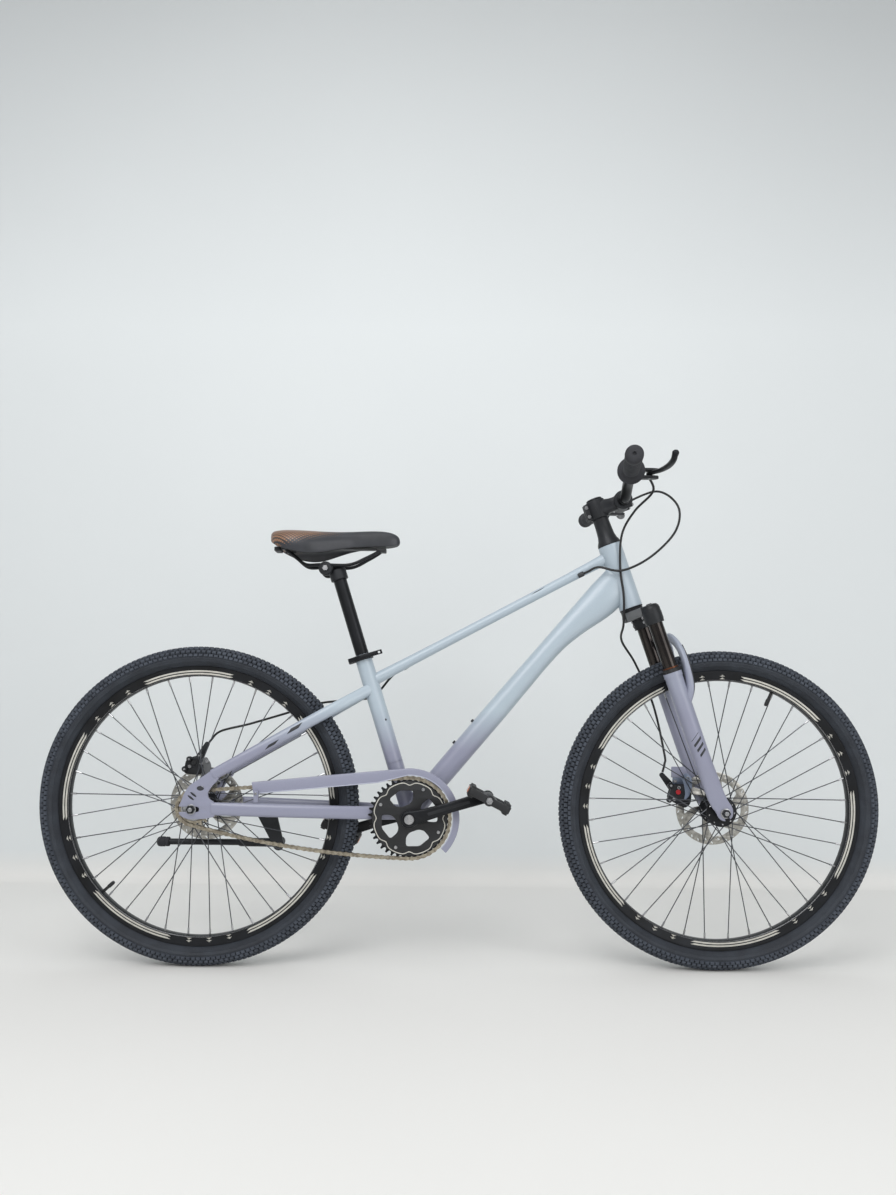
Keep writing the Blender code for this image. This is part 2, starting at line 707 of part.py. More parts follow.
def frame():
    head = rod(HEAD_BOTTOM, HEAD_TOP, HEAD_TUBE_RADIUS, sides=16)
    seat = rod(BB, SEAT_TOP, SEAT_TUBE_RADIUS, sides=14)
    top = rod(top_tube_rear, top_tube_front, TOP_TUBE_RADIUS, sides=10)
    half = BB_SHELL_WIDTH / 2
    shell = rod(BB - ACROSS * half, BB + ACROSS * half, BB_SHELL_RADIUS, sides=16)
    bridge_place = SEATSTAY_START.lerp(SEATSTAY_END, 0.13)
    bridge = rod(bridge_place - ACROSS * 0.026, bridge_place + ACROSS * 0.026, 0.006, sides=6)
    low_bridge_place = BB.lerp(REAR_AXLE, 0.145) + Vector((0, 0, 0.008))
    low_bridge = rod(low_bridge_place - ACROSS * 0.033, low_bridge_place + ACROSS * 0.033, 0.006, sides=6)
    body = join(head, down_tube(), top, seat, shell,
                chainstay(RIGHT), chainstay(LEFT), seatstay(RIGHT), seatstay(LEFT),
                dropout(RIGHT), dropout(LEFT), bridge, low_bridge)
    head_bore = rod(HEAD_BOTTOM + STEER_DOWN * 0.01, HEAD_TOP - STEER_DOWN * 0.01, HEAD_TUBE_BORE, sides=14)
    post_depth = SEATPOST_INSERTED + SEATPOST_DROP + 0.006
    seat_bore = rod(SEAT_TOP - SEAT_UP * post_depth, SEAT_TOP + SEAT_UP * 0.01,
                    SEATPOST_RADIUS + GAP, sides=14)
    bb_bore = rod(BB - ACROSS * (half + 0.01), BB + ACROSS * (half + 0.01), BB_BORE, sides=12)
    cable_bore = tube([cable_port(-0.036, 0.0235, 0.0100), cable_port(0.012, 0.0045, 0.0050),
                       cable_port(0.045, 0, 0), cable_exit(-0.045, 0, 0),
                       cable_exit(-0.012, 0.0045, 0.0050), cable_exit(0.036, 0.0235, 0.0100)],
                      TOP_TUBE_BORE / 2, resolution=1)
    faces = [rod(BB + ACROSS * side * half, BB + ACROSS * side * (half + 0.02), BB_SHELL_RADIUS + 0.0018, 12)
             for side in (RIGHT, LEFT)]
    body = cut(body, head_bore, seat_bore, bb_bore, cable_bore, *faces)
    return finish("frame", body, LAVENDER)


# Where the rear brake's cable enters the top tube, low on its right, and leaves it, low on its left
CABLE_PORT_FROM_HEAD = 0.080
CABLE_EXIT_FROM_SEAT = 0.080


def cable_port(behind, right, below):
    """Near the front port: along the tube toward the seat, to the right of its axis and below it."""
    base = top_tube_front - TOP_TUBE_ALONG * CABLE_PORT_FROM_HEAD
    return base - TOP_TUBE_ALONG * behind - ACROSS * right + TOP_TUBE_UNDER * below


def cable_exit(behind, left, below):
    base = top_tube_rear + TOP_TUBE_ALONG * CABLE_EXIT_FROM_SEAT
    return base - TOP_TUBE_ALONG * behind + ACROSS * left + TOP_TUBE_UNDER * below


frame()


# Chain

RING_PITCH_RADIUS = CHAIN_PITCH / 2 / math.sin(math.pi / CHAINRING_TEETH)
COG_PITCH_RADIUS = CHAIN_PITCH / 2 / math.sin(math.pi / COG_TEETH)


def around(centre, radius, angle):
    return Vector((centre.x + radius * math.cos(angle), 0, centre.z + radius * math.sin(angle)))


def sag_pins(start, end, count):
    """Pins of equal pitch hanging from start to end in a shallow arc below the straight line."""
    span = (end - start).length
    low, high = 1e-6, 0.3
    for _ in range(60):
        bend = (low + high) / 2
        reach = CHAIN_PITCH * math.sin(count * bend / 2) / math.sin(bend / 2)
        if reach > span:
            low = bend
        else:
            high = bend
    direction = math.atan2(end.z - start.z, end.x - start.x) - (count - 1) * bend / 2
    pins = [start]
    for _ in range(count - 1):
        pins.append(pins[-1] + Vector((math.cos(direction), 0, math.sin(direction))) * CHAIN_PITCH)
        direction += bend
    return pins


def chain_pins():
    """All pins in order: forward round the chainring, back along the bottom, over the cog."""
    line = REAR_AXLE - BB
    span = line.length
    along = line / span
    normal = Vector((-along.z, 0, along.x))
    if normal.z < 0:
        normal = -normal
    share = (RING_PITCH_RADIUS - COG_PITCH_RADIUS) / span
    normal = along * share + normal * math.sqrt(1 - share * share)
    run = Vector((normal.z, 0, -normal.x))
    if run.x > 0:
        run = -run
    first = BB + normal * RING_PITCH_RADIUS
    top_angle = math.atan2(normal.z, normal.x)
    ring_step = math.tau / CHAINRING_TEETH
    cog_step = math.tau / COG_TEETH
    ring_count = round(math.pi / ring_step) + 1
    ring = [around(BB, RING_PITCH_RADIUS, top_angle - k * ring_step) for k in range(ring_count + 1)]
    straight = int(math.sqrt(span ** 2 - (RING_PITCH_RADIUS - COG_PITCH_RADIUS) ** 2) / CHAIN_PITCH)
    top = [first + run * CHAIN_PITCH * k for k in range(1, straight + 1)]
    landing = top_angle
    while (around(REAR_AXLE, COG_PITCH_RADIUS, landing) - top[-1]).length < CHAIN_PITCH:
        landing += 0.0002
    cog_count = round(math.pi / cog_step) - 1
    cog = [around(REAR_AXLE, COG_PITCH_RADIUS, landing + k * cog_step) for k in range(cog_count + 1)]
    lower = (ring[-1] - cog[-1]).length
    count = int(lower / CHAIN_PITCH) + 1
    if (len(ring) + len(top) + len(cog) + count) % 2 == 0:
        count += 1
    bottom = sag_pins(cog[-1], ring[-1], count)[1:]
    pins = ring[::-1] + top + cog + bottom
    return pins, top_angle, landing


CHAIN_PINS, RING_PIN_ANGLE, COG_PIN_ANGLE = chain_pins()
WINDOW_HALF_WIDTH = SPROCKET_THICKNESS / 2 + 0.0004
WINDOW_END = 0.22


def chain():
    """Roller chain as one flexing band: a bar at every pin and an open window in every link."""
    count = len(CHAIN_PINS)
    outer = CHAIN_WIDTH / 2
    slot = WINDOW_HALF_WIDTH
    half = CHAIN_HEIGHT / 2
    bm = bmesh.new()

    def corners(place, up, reach):
        return {(s, t): bm.verts.new(place + up * half * s + ACROSS * (reach * t - CHAINLINE))
                for s in (1, -1) for t in (1, -1)}

    bars = []
    windows = []
    for i in range(count):
        before, here, following = CHAIN_PINS[i - 1], CHAIN_PINS[i], CHAIN_PINS[(i + 1) % count]
        along = (following - here).normalized()
        lean = (along + (here - before).normalized()).normalized()
        bars.append(corners(here, Vector((-lean.z, 0, lean.x)), outer))
        up = Vector((-along.z, 0, along.x))
        windows.append([corners(here.lerp(following, t), up, slot) for t in (WINDOW_END, 1 - WINDOW_END)])
    for i in range(count):
        near, far = windows[i]
        low, high = bars[i], bars[(i + 1) % count]
        for s in (1, -1):
            bm.faces.new((low[s, -1], near[s, -1], near[s, 1], low[s, 1]))
            bm.faces.new((high[s, -1], far[s, -1], far[s, 1], high[s, 1]))
            for t in (1, -1):
                bm.faces.new((low[s, t], high[s, t], far[s, t], near[s, t]))
        for t in (1, -1):
            bm.faces.new((low[1, t], high[1, t], high[-1, t], low[-1, t]))
            bm.faces.new((near[1, t], far[1, t], far[-1, t], near[-1, t]))
        for end in (near, far):
            bm.faces.new((end[1, 1], end[1, -1], end[-1, -1], end[-1, 1]))
    return finish("chain", object_from_bmesh("chain", bm), CHAIN_STEEL, BB, smooth=20)


def tooth_outline(pitch_radius, teeth, pin_angle):
    """Three points a tooth. Each tooth stands midway between two chain pins."""
    step = math.tau / teeth
    root = pitch_radius - 0.0050
    tip = pitch_radius + 0.0030
    points = []
    for k in range(teeth):
        middle = pin_angle + step * (k + 0.5)
        for radius, half in ((root, -0.0024), (tip, 0.0), (root, 0.0024)):
            angle = middle + half / radius
            points.append((radius * math.cos(angle), radius * math.sin(angle)))
    return points


def at_wheel(obj, centre):
    obj.data.transform(Matrix.Translation(centre))
    return obj


# Chainring, its guard disc, cranks and bottom bracket

SPINDLE_RADIUS = 0.0080
SPINDLE_BORE = SPINDLE_RADIUS + GAP + 0.0002
RING_OUTER_FACE = CHAINLINE + SPROCKET_THICKNESS / 2
DISC_INNER_FACE = RING_OUTER_FACE + GAP
DISC_THICKNESS = 0.0030
DISC_RADIUS = 0.0785
RING_BORE = 0.0620
PEDAL_EYE_BORE = 0.0072
PEDAL_SHAFT_RADIUS = 0.0050
CRANK_OUTER_FACE = CRANK_INNER_FACE + CRANK_THICKNESS
BOLT_HEAD_RADIUS = 0.0108
BOLT_RECESS = 0.0040
CRANK_AHEAD = Vector((math.cos(CRANK_ANGLE), 0, math.sin(CRANK_ANGLE)))
PEDAL_INNER = CRANK_OUTER_FACE + 0.0055
PEDAL_CENTRE_Y = PEDAL_INNER + PEDAL_WIDTH / 2


def chainring():
    teeth = tooth_outline(RING_PITCH_RADIUS, CHAINRING_TEETH, RING_PIN_ANGLE)
    solid = side_plate([teeth, circle(RING_BORE, 24)], -RING_OUTER_FACE, -RING_OUTER_FACE + SPROCKET_THICKNESS)
    return finish("chainring", at_wheel(solid, BB), BLACK_ALLOY, BB)


def chainring_guard():
    """Disc that carries the chainring: four rounded windows between its arms, and a hub boss."""
    loops = [circle(DISC_RADIUS, 30)]
    for k in range(4):
        middle = math.radians(20 + 90 * k)
        corners = [(0.0300, -20), (0.0300, 20), (0.0400, 30),
                   (0.0590, 27), (0.0620, 0), (0.0590, -27), (0.0400, -30)]
        loops.append([(r * math.cos(middle + math.radians(a)), r * math.sin(middle + math.radians(a)))
                      for r, a in corners])
    outer_face = DISC_INNER_FACE + DISC_THICKNESS
    disc = at_wheel(side_plate(loops, -outer_face, -DISC_INNER_FACE), BB)
    boss = rod(BB - ACROSS * DISC_INNER_FACE, BB - ACROSS * (CRANK_INNER_FACE - GAP), 0.0190, 12, 0.0170)
    bore = rod(BB, BB - ACROSS * 0.1, SPINDLE_BORE, sides=12)
    return finish("chainring_guard", cut(join(disc, boss), bore), BLACK_ALLOY, BB)


def crank(name, side, direction):
    eye = BB + direction * CRANK_LENGTH
    across = Vector((-direction.z, 0, direction.x))
    low, high = sorted((side * CRANK_INNER_FACE, side * CRANK_OUTER_FACE))
    outline = []
    for turn in range(100, 261, 32):
        outline.append((0.0180, turn, 0.0))
    for turn in range(-80, 81, 32):
        outline.append((0.0125, turn, CRANK_LENGTH))
    outline.insert(6, (0.0130, -90, 0.034))
    outline.append((0.0130, 90, 0.034))
    points = []
    for radius, turn, shift in outline:
        spot = direction * (shift + radius * math.cos(math.radians(turn)))
        spot += across * radius * math.sin(math.radians(turn))
        points.append((BB.x + spot.x, BB.z + spot.z))
    arm = side_plate([points], low, high)
    middle = ACROSS * (low + high) / 2
    hole = rod(BB + middle - ACROSS * 0.02, BB + middle + ACROSS * 0.02, SPINDLE_BORE, sides=12)
    face = BB + ACROSS * side * CRANK_OUTER_FACE
    recess = rod(face - ACROSS * side * BOLT_RECESS, face + ACROSS * side * 0.01, BOLT_HEAD_RADIUS + 0.0007, 12)
    eye_hole = rod(eye + middle - ACROSS * 0.02, eye + middle + ACROSS * 0.02, PEDAL_EYE_BORE, sides=10)
    return finish(name, cut(arm, hole, recess, eye_hole), BLACK_ALLOY, BB)


def bb_spindle():
    """Spindle through the bottom bracket, with a bolt head in each crank's recess."""
    face = CRANK_OUTER_FACE - BOLT_RECESS + GAP
    profile = [(SPINDLE_RADIUS, face), (BOLT_HEAD_RADIUS, face), (BOLT_HEAD_RADIUS - 0.0008, face + 0.0028),
               (0, face + 0.0028)]
    profile = [(r, -a) for r, a in reversed(profile)] + profile
    return finish("bb_spindle", turned(profile, 12, BB), BOLT_STEEL, BB)


def bb_cup(name, side):
    shell_face = BB_SHELL_WIDTH / 2
    profile = [
        (SPINDLE_RADIUS + BEARING_GAP, shell_face + GAP),
        (BB_SHELL_RADIUS - 0.0005, shell_face + GAP),
        (BB_SHELL_RADIUS - 0.0005, shell_face + GAP + 0.0025),
        (SPINDLE_RADIUS + BEARING_GAP, shell_face + GAP + 0.0025),
    ]
    return finish(name, turned(profile, 12, BB, ACROSS * side, closed=True), BLACK_ALLOY, BB)


def pedal_axle(name, side, direction):
    """Axle screwed through the crank's eye, with a collar outside the arm and a nut at its end."""
    eye = BB + direction * CRANK_LENGTH
    out = ACROSS * side
    solid = rod(eye + out * (CRANK_INNER_FACE + 0.001), eye + out * (CRANK_OUTER_FACE + 0.002),
                PEDAL_EYE_BORE * math.cos(math.pi / 10) - GAP, sides=10)
    collar = rod(eye + out * (CRANK_OUTER_FACE + GAP), eye + out * (PEDAL_INNER - GAP), 0.0092, sides=8)
    shaft = rod(eye + out * (PEDAL_INNER - 0.002), eye + out * (PEDAL_INNER + PEDAL_WIDTH + 0.0025),
                PEDAL_SHAFT_RADIUS, sides=8)
    nut = rod(eye + out * (PEDAL_INNER + PEDAL_WIDTH + GAP), eye + out * (PEDAL_INNER + PEDAL_WIDTH + 0.0045),
              0.0075, sides=6)
    return finish(name, join(solid, collar, shaft, nut), BOLT_STEEL, BB)


def pedal(name, side, direction):
    """Platform body with raised end bars, two windows and a barrel round its axle."""
    eye = BB + direction * CRANK_LENGTH
    long = PEDAL_LENGTH / 2
    thick = PEDAL_THICKNESS / 2
    half = PEDAL_WIDTH / 2
    quarter = [(long, thick - 0.004), (long - 0.004, thick), (long - 0.015, thick), (long - 0.019, thick - 0.0025)]
    top = quarter + [(-a, b) for a, b in reversed(quarter)]
    outline = top + [(a, -b) for a, b in reversed(top)]
    body = side_plate([outline], -half, half)
    windows = []
    for ahead in (RIGHT, LEFT):
        windows.append(block((ahead * (long * 0.5), 0, 0), (long - 0.027, PEDAL_WIDTH - 0.018, 0.06)))
    body = cut(body, *windows)
    barrel = rod((0, -half, 0), (0, half, 0), thick, sides=10)
    bore = rod((0, -half - 0.01, 0), (0, half + 0.01, 0), PEDAL_SHAFT_RADIUS + BEARING_GAP, sides=8)
    body = cut(join(body, barrel), bore)
    place = eye + ACROSS * side * (PEDAL_INNER + half)
    body.data.transform(Matrix.Translation(place) @ Matrix.Rotation(PEDAL_TILT, 4, "Y"))
    return finish(name, body, BLACK_PLASTIC, eye)


def freewheel():
    """Single cog on its ratchet body, round the hub's core."""
    teeth = tooth_outline(COG_PITCH_RADIUS, COG_TEETH, 0.0)
    face = CHAINLINE - SPROCKET_THICKNESS / 2
    cog = side_plate([teeth], -face - SPROCKET_THICKNESS, -face)
    inner = REAR_FLANGE_RIGHT - 0.0061
    body = rod((0, inner, 0), (0, -0.0570, 0), 0.0265, sides=10)
    bore = rod((0, 0, 0), (0, -0.1, 0), clear_bore(FREEWHEEL_CORE, GAP, 10), sides=10)
    solid = cut(join(cog, body), bore)
    solid.data.transform(Matrix.Rotation(-COG_PIN_ANGLE, 4, "Y"))
    return finish("freewheel", at_wheel(solid, REAR_AXLE), BOLT_STEEL, REAR_AXLE)


def chain_guard():
    """Painted side wall with an inward lip, over the top run and round the front of the chainring."""
    wall_face = CHAINLINE + CHAIN_WIDTH / 2 + 0.0013
    wall = 0.0015
    lip_face = CHAINLINE - 0.0055
    outer_r = RING_PITCH_RADIUS + 0.0200
    inner_r = RING_PITCH_RADIUS + 0.0056
    rear, middle = REAR_AXLE + Vector((0.122, 0, 0.0559)), BB + Vector((-0.1528, 0, 0.0910))
    front = BB + Vector((-0.0738, 0, 0.0985))
    pairs = [((spot.x, spot.z), (spot.x + ahead, spot.z - deep)) for spot, ahead, deep in (
        (rear, 0.004, 0.0245), (middle, 0.007, 0.0245), (front, 0.007, 0.0240))]
    for turn in range(92, -46, -11):
        c, s = math.cos(math.radians(turn)), math.sin(math.radians(turn))
        pairs.append(((BB.x + outer_r * c, BB.z + outer_r * s), (BB.x + inner_r * c, BB.z + inner_r * s)))
    rings = []
    for (ox, oz), (ix, iz) in pairs:
        edge = Vector((ox, 0, oz))
        hem = Vector((ix, 0, iz))
        under = edge + (hem - edge).normalized() * wall
        rings.append([hem - ACROSS * (wall_face + wall), hem - ACROSS * wall_face, under - ACROSS * wall_face,
                      under - ACROSS * lip_face, edge - ACROSS * lip_face, edge - ACROSS * (wall_face + wall)])
    guard = loft(rings)
    low = chainstay_middle(rear.x + 0.006) + CHAINSTAY_REACH + GAP
    high = rear.z - 0.0150
    clip = block((rear.x + 0.0105, -wall_face - 0.0060, (low + high) / 2), (0.0090, 0.0105, high - low))
    return finish("chain_guard", join(guard, clip), LAVENDER)


def chainstay_middle(x):
    """Height of the stays' centreline at x."""
    start = BB + CHAINSTAY_START
    end = REAR_AXLE + CHAINSTAY_END
    return start.z + (end.z - start.z) * (start.x - x) / (start.x - end.x)


chain()
chainring()
chainring_guard()
crank("crank_right", RIGHT, CRANK_AHEAD)
crank("crank_left", LEFT, -CRANK_AHEAD)
bb_spindle()
bb_cup("bb_cup_right", RIGHT)
bb_cup("bb_cup_left", LEFT)
pedal_axle("pedal_axle_right", RIGHT, CRANK_AHEAD)
pedal_axle("pedal_axle_left", LEFT, -CRANK_AHEAD)
pedal("pedal_right", RIGHT, CRANK_AHEAD)
pedal("pedal_left", LEFT, -CRANK_AHEAD)
freewheel()
chain_guard()


# Fork

STEERER_RADIUS = 0.0143
STEERER_BORE = STEERER_RADIUS + GAP
STEM_BOTTOM = -(HEAD_TUBE_LENGTH + STACK_HEIGHT)
STEM_TOP = STEM_BOTTOM - STEM_HEIGHT
STEM_MIDDLE = (STEM_BOTTOM + STEM_TOP) / 2
CROWN_TOP = 0.0036
CROWN_BOTTOM = 0.028
SOCKET_BOTTOM = 0.050
SOCKET_RADIUS = 0.0195
STANCHION_TOP = 0.024
LOWERS_TOP = SOCKET_BOTTOM + STANCHION_EXPOSED + 0.010
STANCHION_END = LOWERS_TOP + STANCHION_OVERLAP
LEG_Y = LEG_SPACING / 2
ROUND = 10


def steer_rod(ahead, low, high, radius, sides=ROUND, across=0.0, end_radius=None):
    return rod(steer_point(ahead, low, across), steer_point(ahead, high, across), radius, sides, end_radius)


def fork_crown():
    """Steerer tube, crown and the two capped sockets that clamp the stanchions."""
    outline = [(-0.0222, -0.012), (-0.0222, 0.012), (-0.014, 0.030), (0.006, 0.050), (0.025, 0.055),
               (0.041, 0.050), (0.037, 0.030), (0.026, 0.012)]
    outline += [(u, -y) for u, y in reversed(outline[2:])]
    middle = (CROWN_TOP + 0.004 + CROWN_BOTTOM) / 2
    body = plate([outline], CROWN_BOTTOM - CROWN_TOP - 0.004, STEER_FRAME @ Matrix.Translation((0, 0, -middle)))
    boss = steer_rod(0, CROWN_TOP, CROWN_BOTTOM - 0.002, HEAD_TUBE_RADIUS - 0.0010, 14)
    steerer = steer_rod(0, CROWN_TOP + 0.010, STEM_TOP + 0.003, STEERER_RADIUS)
    sockets = []
    bores = []
    for side in (RIGHT, LEFT):
        profile = [(0, 0.0075), (0.0135, 0.0085), (SOCKET_RADIUS, 0.0150), (SOCKET_RADIUS, SOCKET_BOTTOM),
                   (0, SOCKET_BOTTOM)]
        place = steer_point(LEG_OFFSET, 0, side * LEG_Y)
        sockets.append(turned(profile, ROUND, place, STEER_DOWN))
        bores.append(steer_rod(LEG_OFFSET, STANCHION_TOP - GAP, SOCKET_BOTTOM + 0.01,
                               STANCHION_RADIUS + GAP, across=side * LEG_Y))
    body = cut(join(body, boss, steerer, *sockets), *bores)
    return finish("fork_crown", body, BLACK_ALLOY, HEAD_BOTTOM)


def stanchion(name, side):
    tube_body = steer_rod(LEG_OFFSET, STANCHION_TOP, STANCHION_END, STANCHION_RADIUS, across=side * LEG_Y)
    return finish(name, tube_body, STANCHION_CHROME, HEAD_BOTTOM)


def dust_seal(name, side):
    bore = STANCHION_RADIUS + GAP
    profile = [(bore, LOWERS_TOP - 0.0085), (LOWER_LEG_RADIUS - 0.0015, LOWERS_TOP - 0.0085),
               (LOWER_LEG_RADIUS, LOWERS_TOP - 0.0050), (LOWER_LEG_RADIUS, LOWERS_TOP - GAP),
               (bore, LOWERS_TOP - GAP)]
    place = steer_point(LEG_OFFSET, 0, side * LEG_Y)
    return finish(name, turned(profile, ROUND, place, STEER_DOWN, closed=True), BLACK_PLASTIC, HEAD_BOTTOM)


def lower_leg(side):
    """Round sleeve above, flattening inward to the plate that holds the axle."""
    inner = FRONT_HUB_WIDTH / 2
    plate_half = FRONT_DROPOUT_THICKNESS / 2
    plate_y = inner + plate_half
    stations = [
        (LOWERS_TOP, LEG_OFFSET, 0.0195, 0.0195, LEG_Y),
        (FORK_LENGTH - 0.174, LEG_OFFSET, 0.0185, 0.0185, LEG_Y),
        (FORK_LENGTH - 0.124, LEG_OFFSET, 0.0182, 0.0170, LEG_Y),
        (FORK_LENGTH - 0.086, LEG_OFFSET + 0.001, 0.0175, 0.0115, LEG_Y),
        (FORK_LENGTH - 0.032, FORK_OFFSET - 0.006, 0.0165, plate_half + 0.0012, plate_y + 0.0012),
        (FORK_LENGTH - 0.008, FORK_OFFSET, 0.0145, plate_half, plate_y),
        (FORK_LENGTH + 0.012, FORK_OFFSET, 0.0095, plate_half, plate_y),
    ]
    rings = []
    for v, u, half_u, half_y, y in stations:
        square = 2.0 if v < FORK_LENGTH - 0.114 else 3.2
        rings.append([steer_point(u + a, v, side * (y + b)) for a, b in oval(ROUND, half_u, half_y, square)])
    return loft(rings)


def fork_lowers():
    """Both sleeves, the bowed arch that ties them over the tyre, and the brake mount on the left leg."""
    half_path = [(0.030, 0.242, LEG_Y, 0.0090, 0.012), (0.0500, 0.274, LEG_Y + 0.001, 0.0085, 0.013),
                 (0.0585, 0.324, 0.0550, 0.0070, 0.012), (0.0600, 0.362, 0.0400, 0.0065, 0.011),
                 (0.0560, 0.384, 0.0160, 0.0065, 0.010)]
    stations = [(steer_point(u, FORK_LENGTH - above, -y), a, b) for u, above, y, a, b in half_path]
    stations += [(steer_point(u, FORK_LENGTH - above, y), a, b) for u, above, y, a, b in reversed(half_path)]
    arch = stay(stations, sides=6, square=2.6, reference=STEER_AHEAD)
    base = FRONT_AXLE + Vector((-0.062, 0.0530, 0.078))
    mount = block(base, (0.052, 0.0060, 0.024), None)
    body = join(lower_leg(RIGHT), lower_leg(LEFT), arch, mount)
    cutters = []
    for side in (RIGHT, LEFT):
        cutters.append(steer_rod(LEG_OFFSET, LOWERS_TOP - 0.01, STANCHION_END + FORK_TRAVEL + 0.006,
                                 STANCHION_RADIUS + GAP, across=side * LEG_Y))
    slot_low = steer_point(FORK_OFFSET, FORK_LENGTH)
    slot = block((0, 0, -0.012), (AXLE_RADIUS * 2 + 0.0010, 0.2, 0.024 + 0.001),
                 Matrix.Translation(slot_low) @ STEER_MATRIX)
    slot_end = rod(slot_low - ACROSS * 0.1, slot_low + ACROSS * 0.1, AXLE_RADIUS + 0.0005, sides=8)
    body = cut(body, *cutters, slot, slot_end)
    return finish("fork_lowers", body, LAVENDER, HEAD_BOTTOM)


def steer_ring(name, profile, material, sides=14):
    return finish(name, turned(profile, sides, HEAD_BOTTOM, STEER_DOWN, closed=True), material, HEAD_BOTTOM)


fork_crown()
stanchion("stanchion_right", RIGHT)
stanchion("stanchion_left", LEFT)
dust_seal("dust_seal_right", RIGHT)
dust_seal("dust_seal_left", LEFT)
fork_lowers()
steer_ring("headset_lower", [(STEERER_BORE + 0.0004, GAP), (HEAD_TUBE_RADIUS - 0.0004, GAP),
                             (HEAD_TUBE_RADIUS - 0.0010, CROWN_TOP - BEARING_GAP),
                             (STEERER_BORE + 0.0004, CROWN_TOP - BEARING_GAP)], BLACK_ALLOY)


# Stem, handlebar, grips and brake levers

BAR_CENTRE = steer_point(STEM_EXTENSION, STEM_MIDDLE)
COVER_RADIUS = 0.0162
STEM_RADIUS = 0.0205
BAR_CLAMP_WIDTH = 0.046
GRIP_START = BAR_WIDTH / 2 - GRIP_LENGTH
BAR_STATIONS = [(0.0, 0.0, 0.0), (0.034, 0.0, 0.0), (0.040, 0.0, 0.0), (0.052, 0.0005, 0.001),
                (0.100, 0.0050, 0.0160), (GRIP_START - 0.030, 0.0120, 0.0185)]


def bar_line(y):
    """Centre of the bar's straight outer part at a distance y from the middle."""
    y0, back0, up0 = BAR_STATIONS[-1]
    share = (y - y0) / (BAR_WIDTH / 2 - y0)
    return BAR_CENTRE + Vector((-(back0 + (BAR_SWEEP - back0) * share), 0, up0 + (BAR_RISE - up0) * share))


def bar_point(side, y):
    return bar_line(y) + ACROSS * side * y


def stem():
    """Clamp round the steerer, short extension with a side window, and the split bar clamp."""
    clamp = steer_rod(0, STEM_BOTTOM, STEM_TOP, STEM_RADIUS, 14)
    reach = block(((STEM_EXTENSION + 0.008) / 2, 0, 0), (STEM_EXTENSION - 0.008, 0.030, STEM_HEIGHT - 0.010),
                  Matrix.Translation(steer_point(0, STEM_MIDDLE)) @ STEER_MATRIX)
    holder = rod(BAR_CENTRE - ACROSS * BAR_CLAMP_WIDTH / 2, BAR_CENTRE + ACROSS * BAR_CLAMP_WIDTH / 2, 0.0200, 14)
    ear = block((-STEM_RADIUS - 0.0015, 0, 0), (0.011, 0.020, STEM_HEIGHT - 0.006),
                Matrix.Translation(steer_point(0, STEM_MIDDLE)) @ STEER_MATRIX)
    split = block((-STEM_RADIUS - 0.002, 0, 0), (0.030, 0.003, STEM_HEIGHT + 0.02),
                  Matrix.Translation(steer_point(0, STEM_MIDDLE)) @ STEER_MATRIX)
    window = block((STEM_EXTENSION / 2 + 0.0005, 0, 0), (0.011, 0.08, 0.013),
                   Matrix.Translation(steer_point(0, STEM_MIDDLE)) @ STEER_MATRIX)
    bore = steer_rod(0, STEM_BOTTOM + 0.01, STEM_TOP - 0.01, STEERER_BORE)
    bar_bore = rod(BAR_CENTRE - ACROSS * 0.05, BAR_CENTRE + ACROSS * 0.05, BAR_CLAMP_RADIUS + 0.0008, 14)
    body = cut(join(clamp, reach, holder, ear), split, window, bore, bar_bore)
    return finish("stem", body, BLACK_ALLOY, HEAD_BOTTOM)


def handlebar():
    """Riser bar, thicker in the clamp, with straight swept ends inside the grips."""
    half = [(BAR_CENTRE + Vector((-back, y, up)), BAR_CLAMP_RADIUS if y <= 0.034 else BAR_RADIUS)
            for y, back, up in BAR_STATIONS]
    half.append((bar_point(LEFT, BAR_WIDTH / 2 - 0.006), BAR_RADIUS))
    mirror = [(Vector((p.x, -p.y, p.z)), r) for p, r in reversed(half[1:])]
    whole = mirror + half
    body = tube([p for p, _ in whole], BAR_CLAMP_RADIUS, 2, [r / BAR_CLAMP_RADIUS for _, r in whole])
    return finish("handlebar", body, BLACK_ALLOY, HEAD_BOTTOM)


def grip(name, side):
    """Rubber grip: stepped inner flange, waisted middle and a domed closed end."""
    start = bar_point(side, GRIP_START)
    along = (bar_point(side, BAR_WIDTH / 2) - start).normalized()
    bore = BAR_RADIUS + GAP + 0.0008
    length = GRIP_LENGTH
    profile = [(0, length - 0.0035), (bore, length - 0.0035), (bore, 0), (0.0265, 0), (0.0265, 0.0040),
               (0.0190, 0.0075), (GRIP_RADIUS - 0.0013, length * 0.45), (GRIP_RADIUS, length - 0.012),
               (GRIP_RADIUS - 0.0020, length - 0.0015), (0, length)]
    return finish(name, turned(profile, ROUND, start, along), GRIP_RUBBER, HEAD_BOTTOM)


LEVER_PIVOT_AHEAD = 0.036
LEVER_PIVOT_Y = GRIP_START - 0.013
CLAMP_Y = GRIP_START - 0.016


def lever_pivot(side):
    return bar_line(CLAMP_Y) + Vector((LEVER_PIVOT_AHEAD, side * LEVER_PIVOT_Y, -0.002))


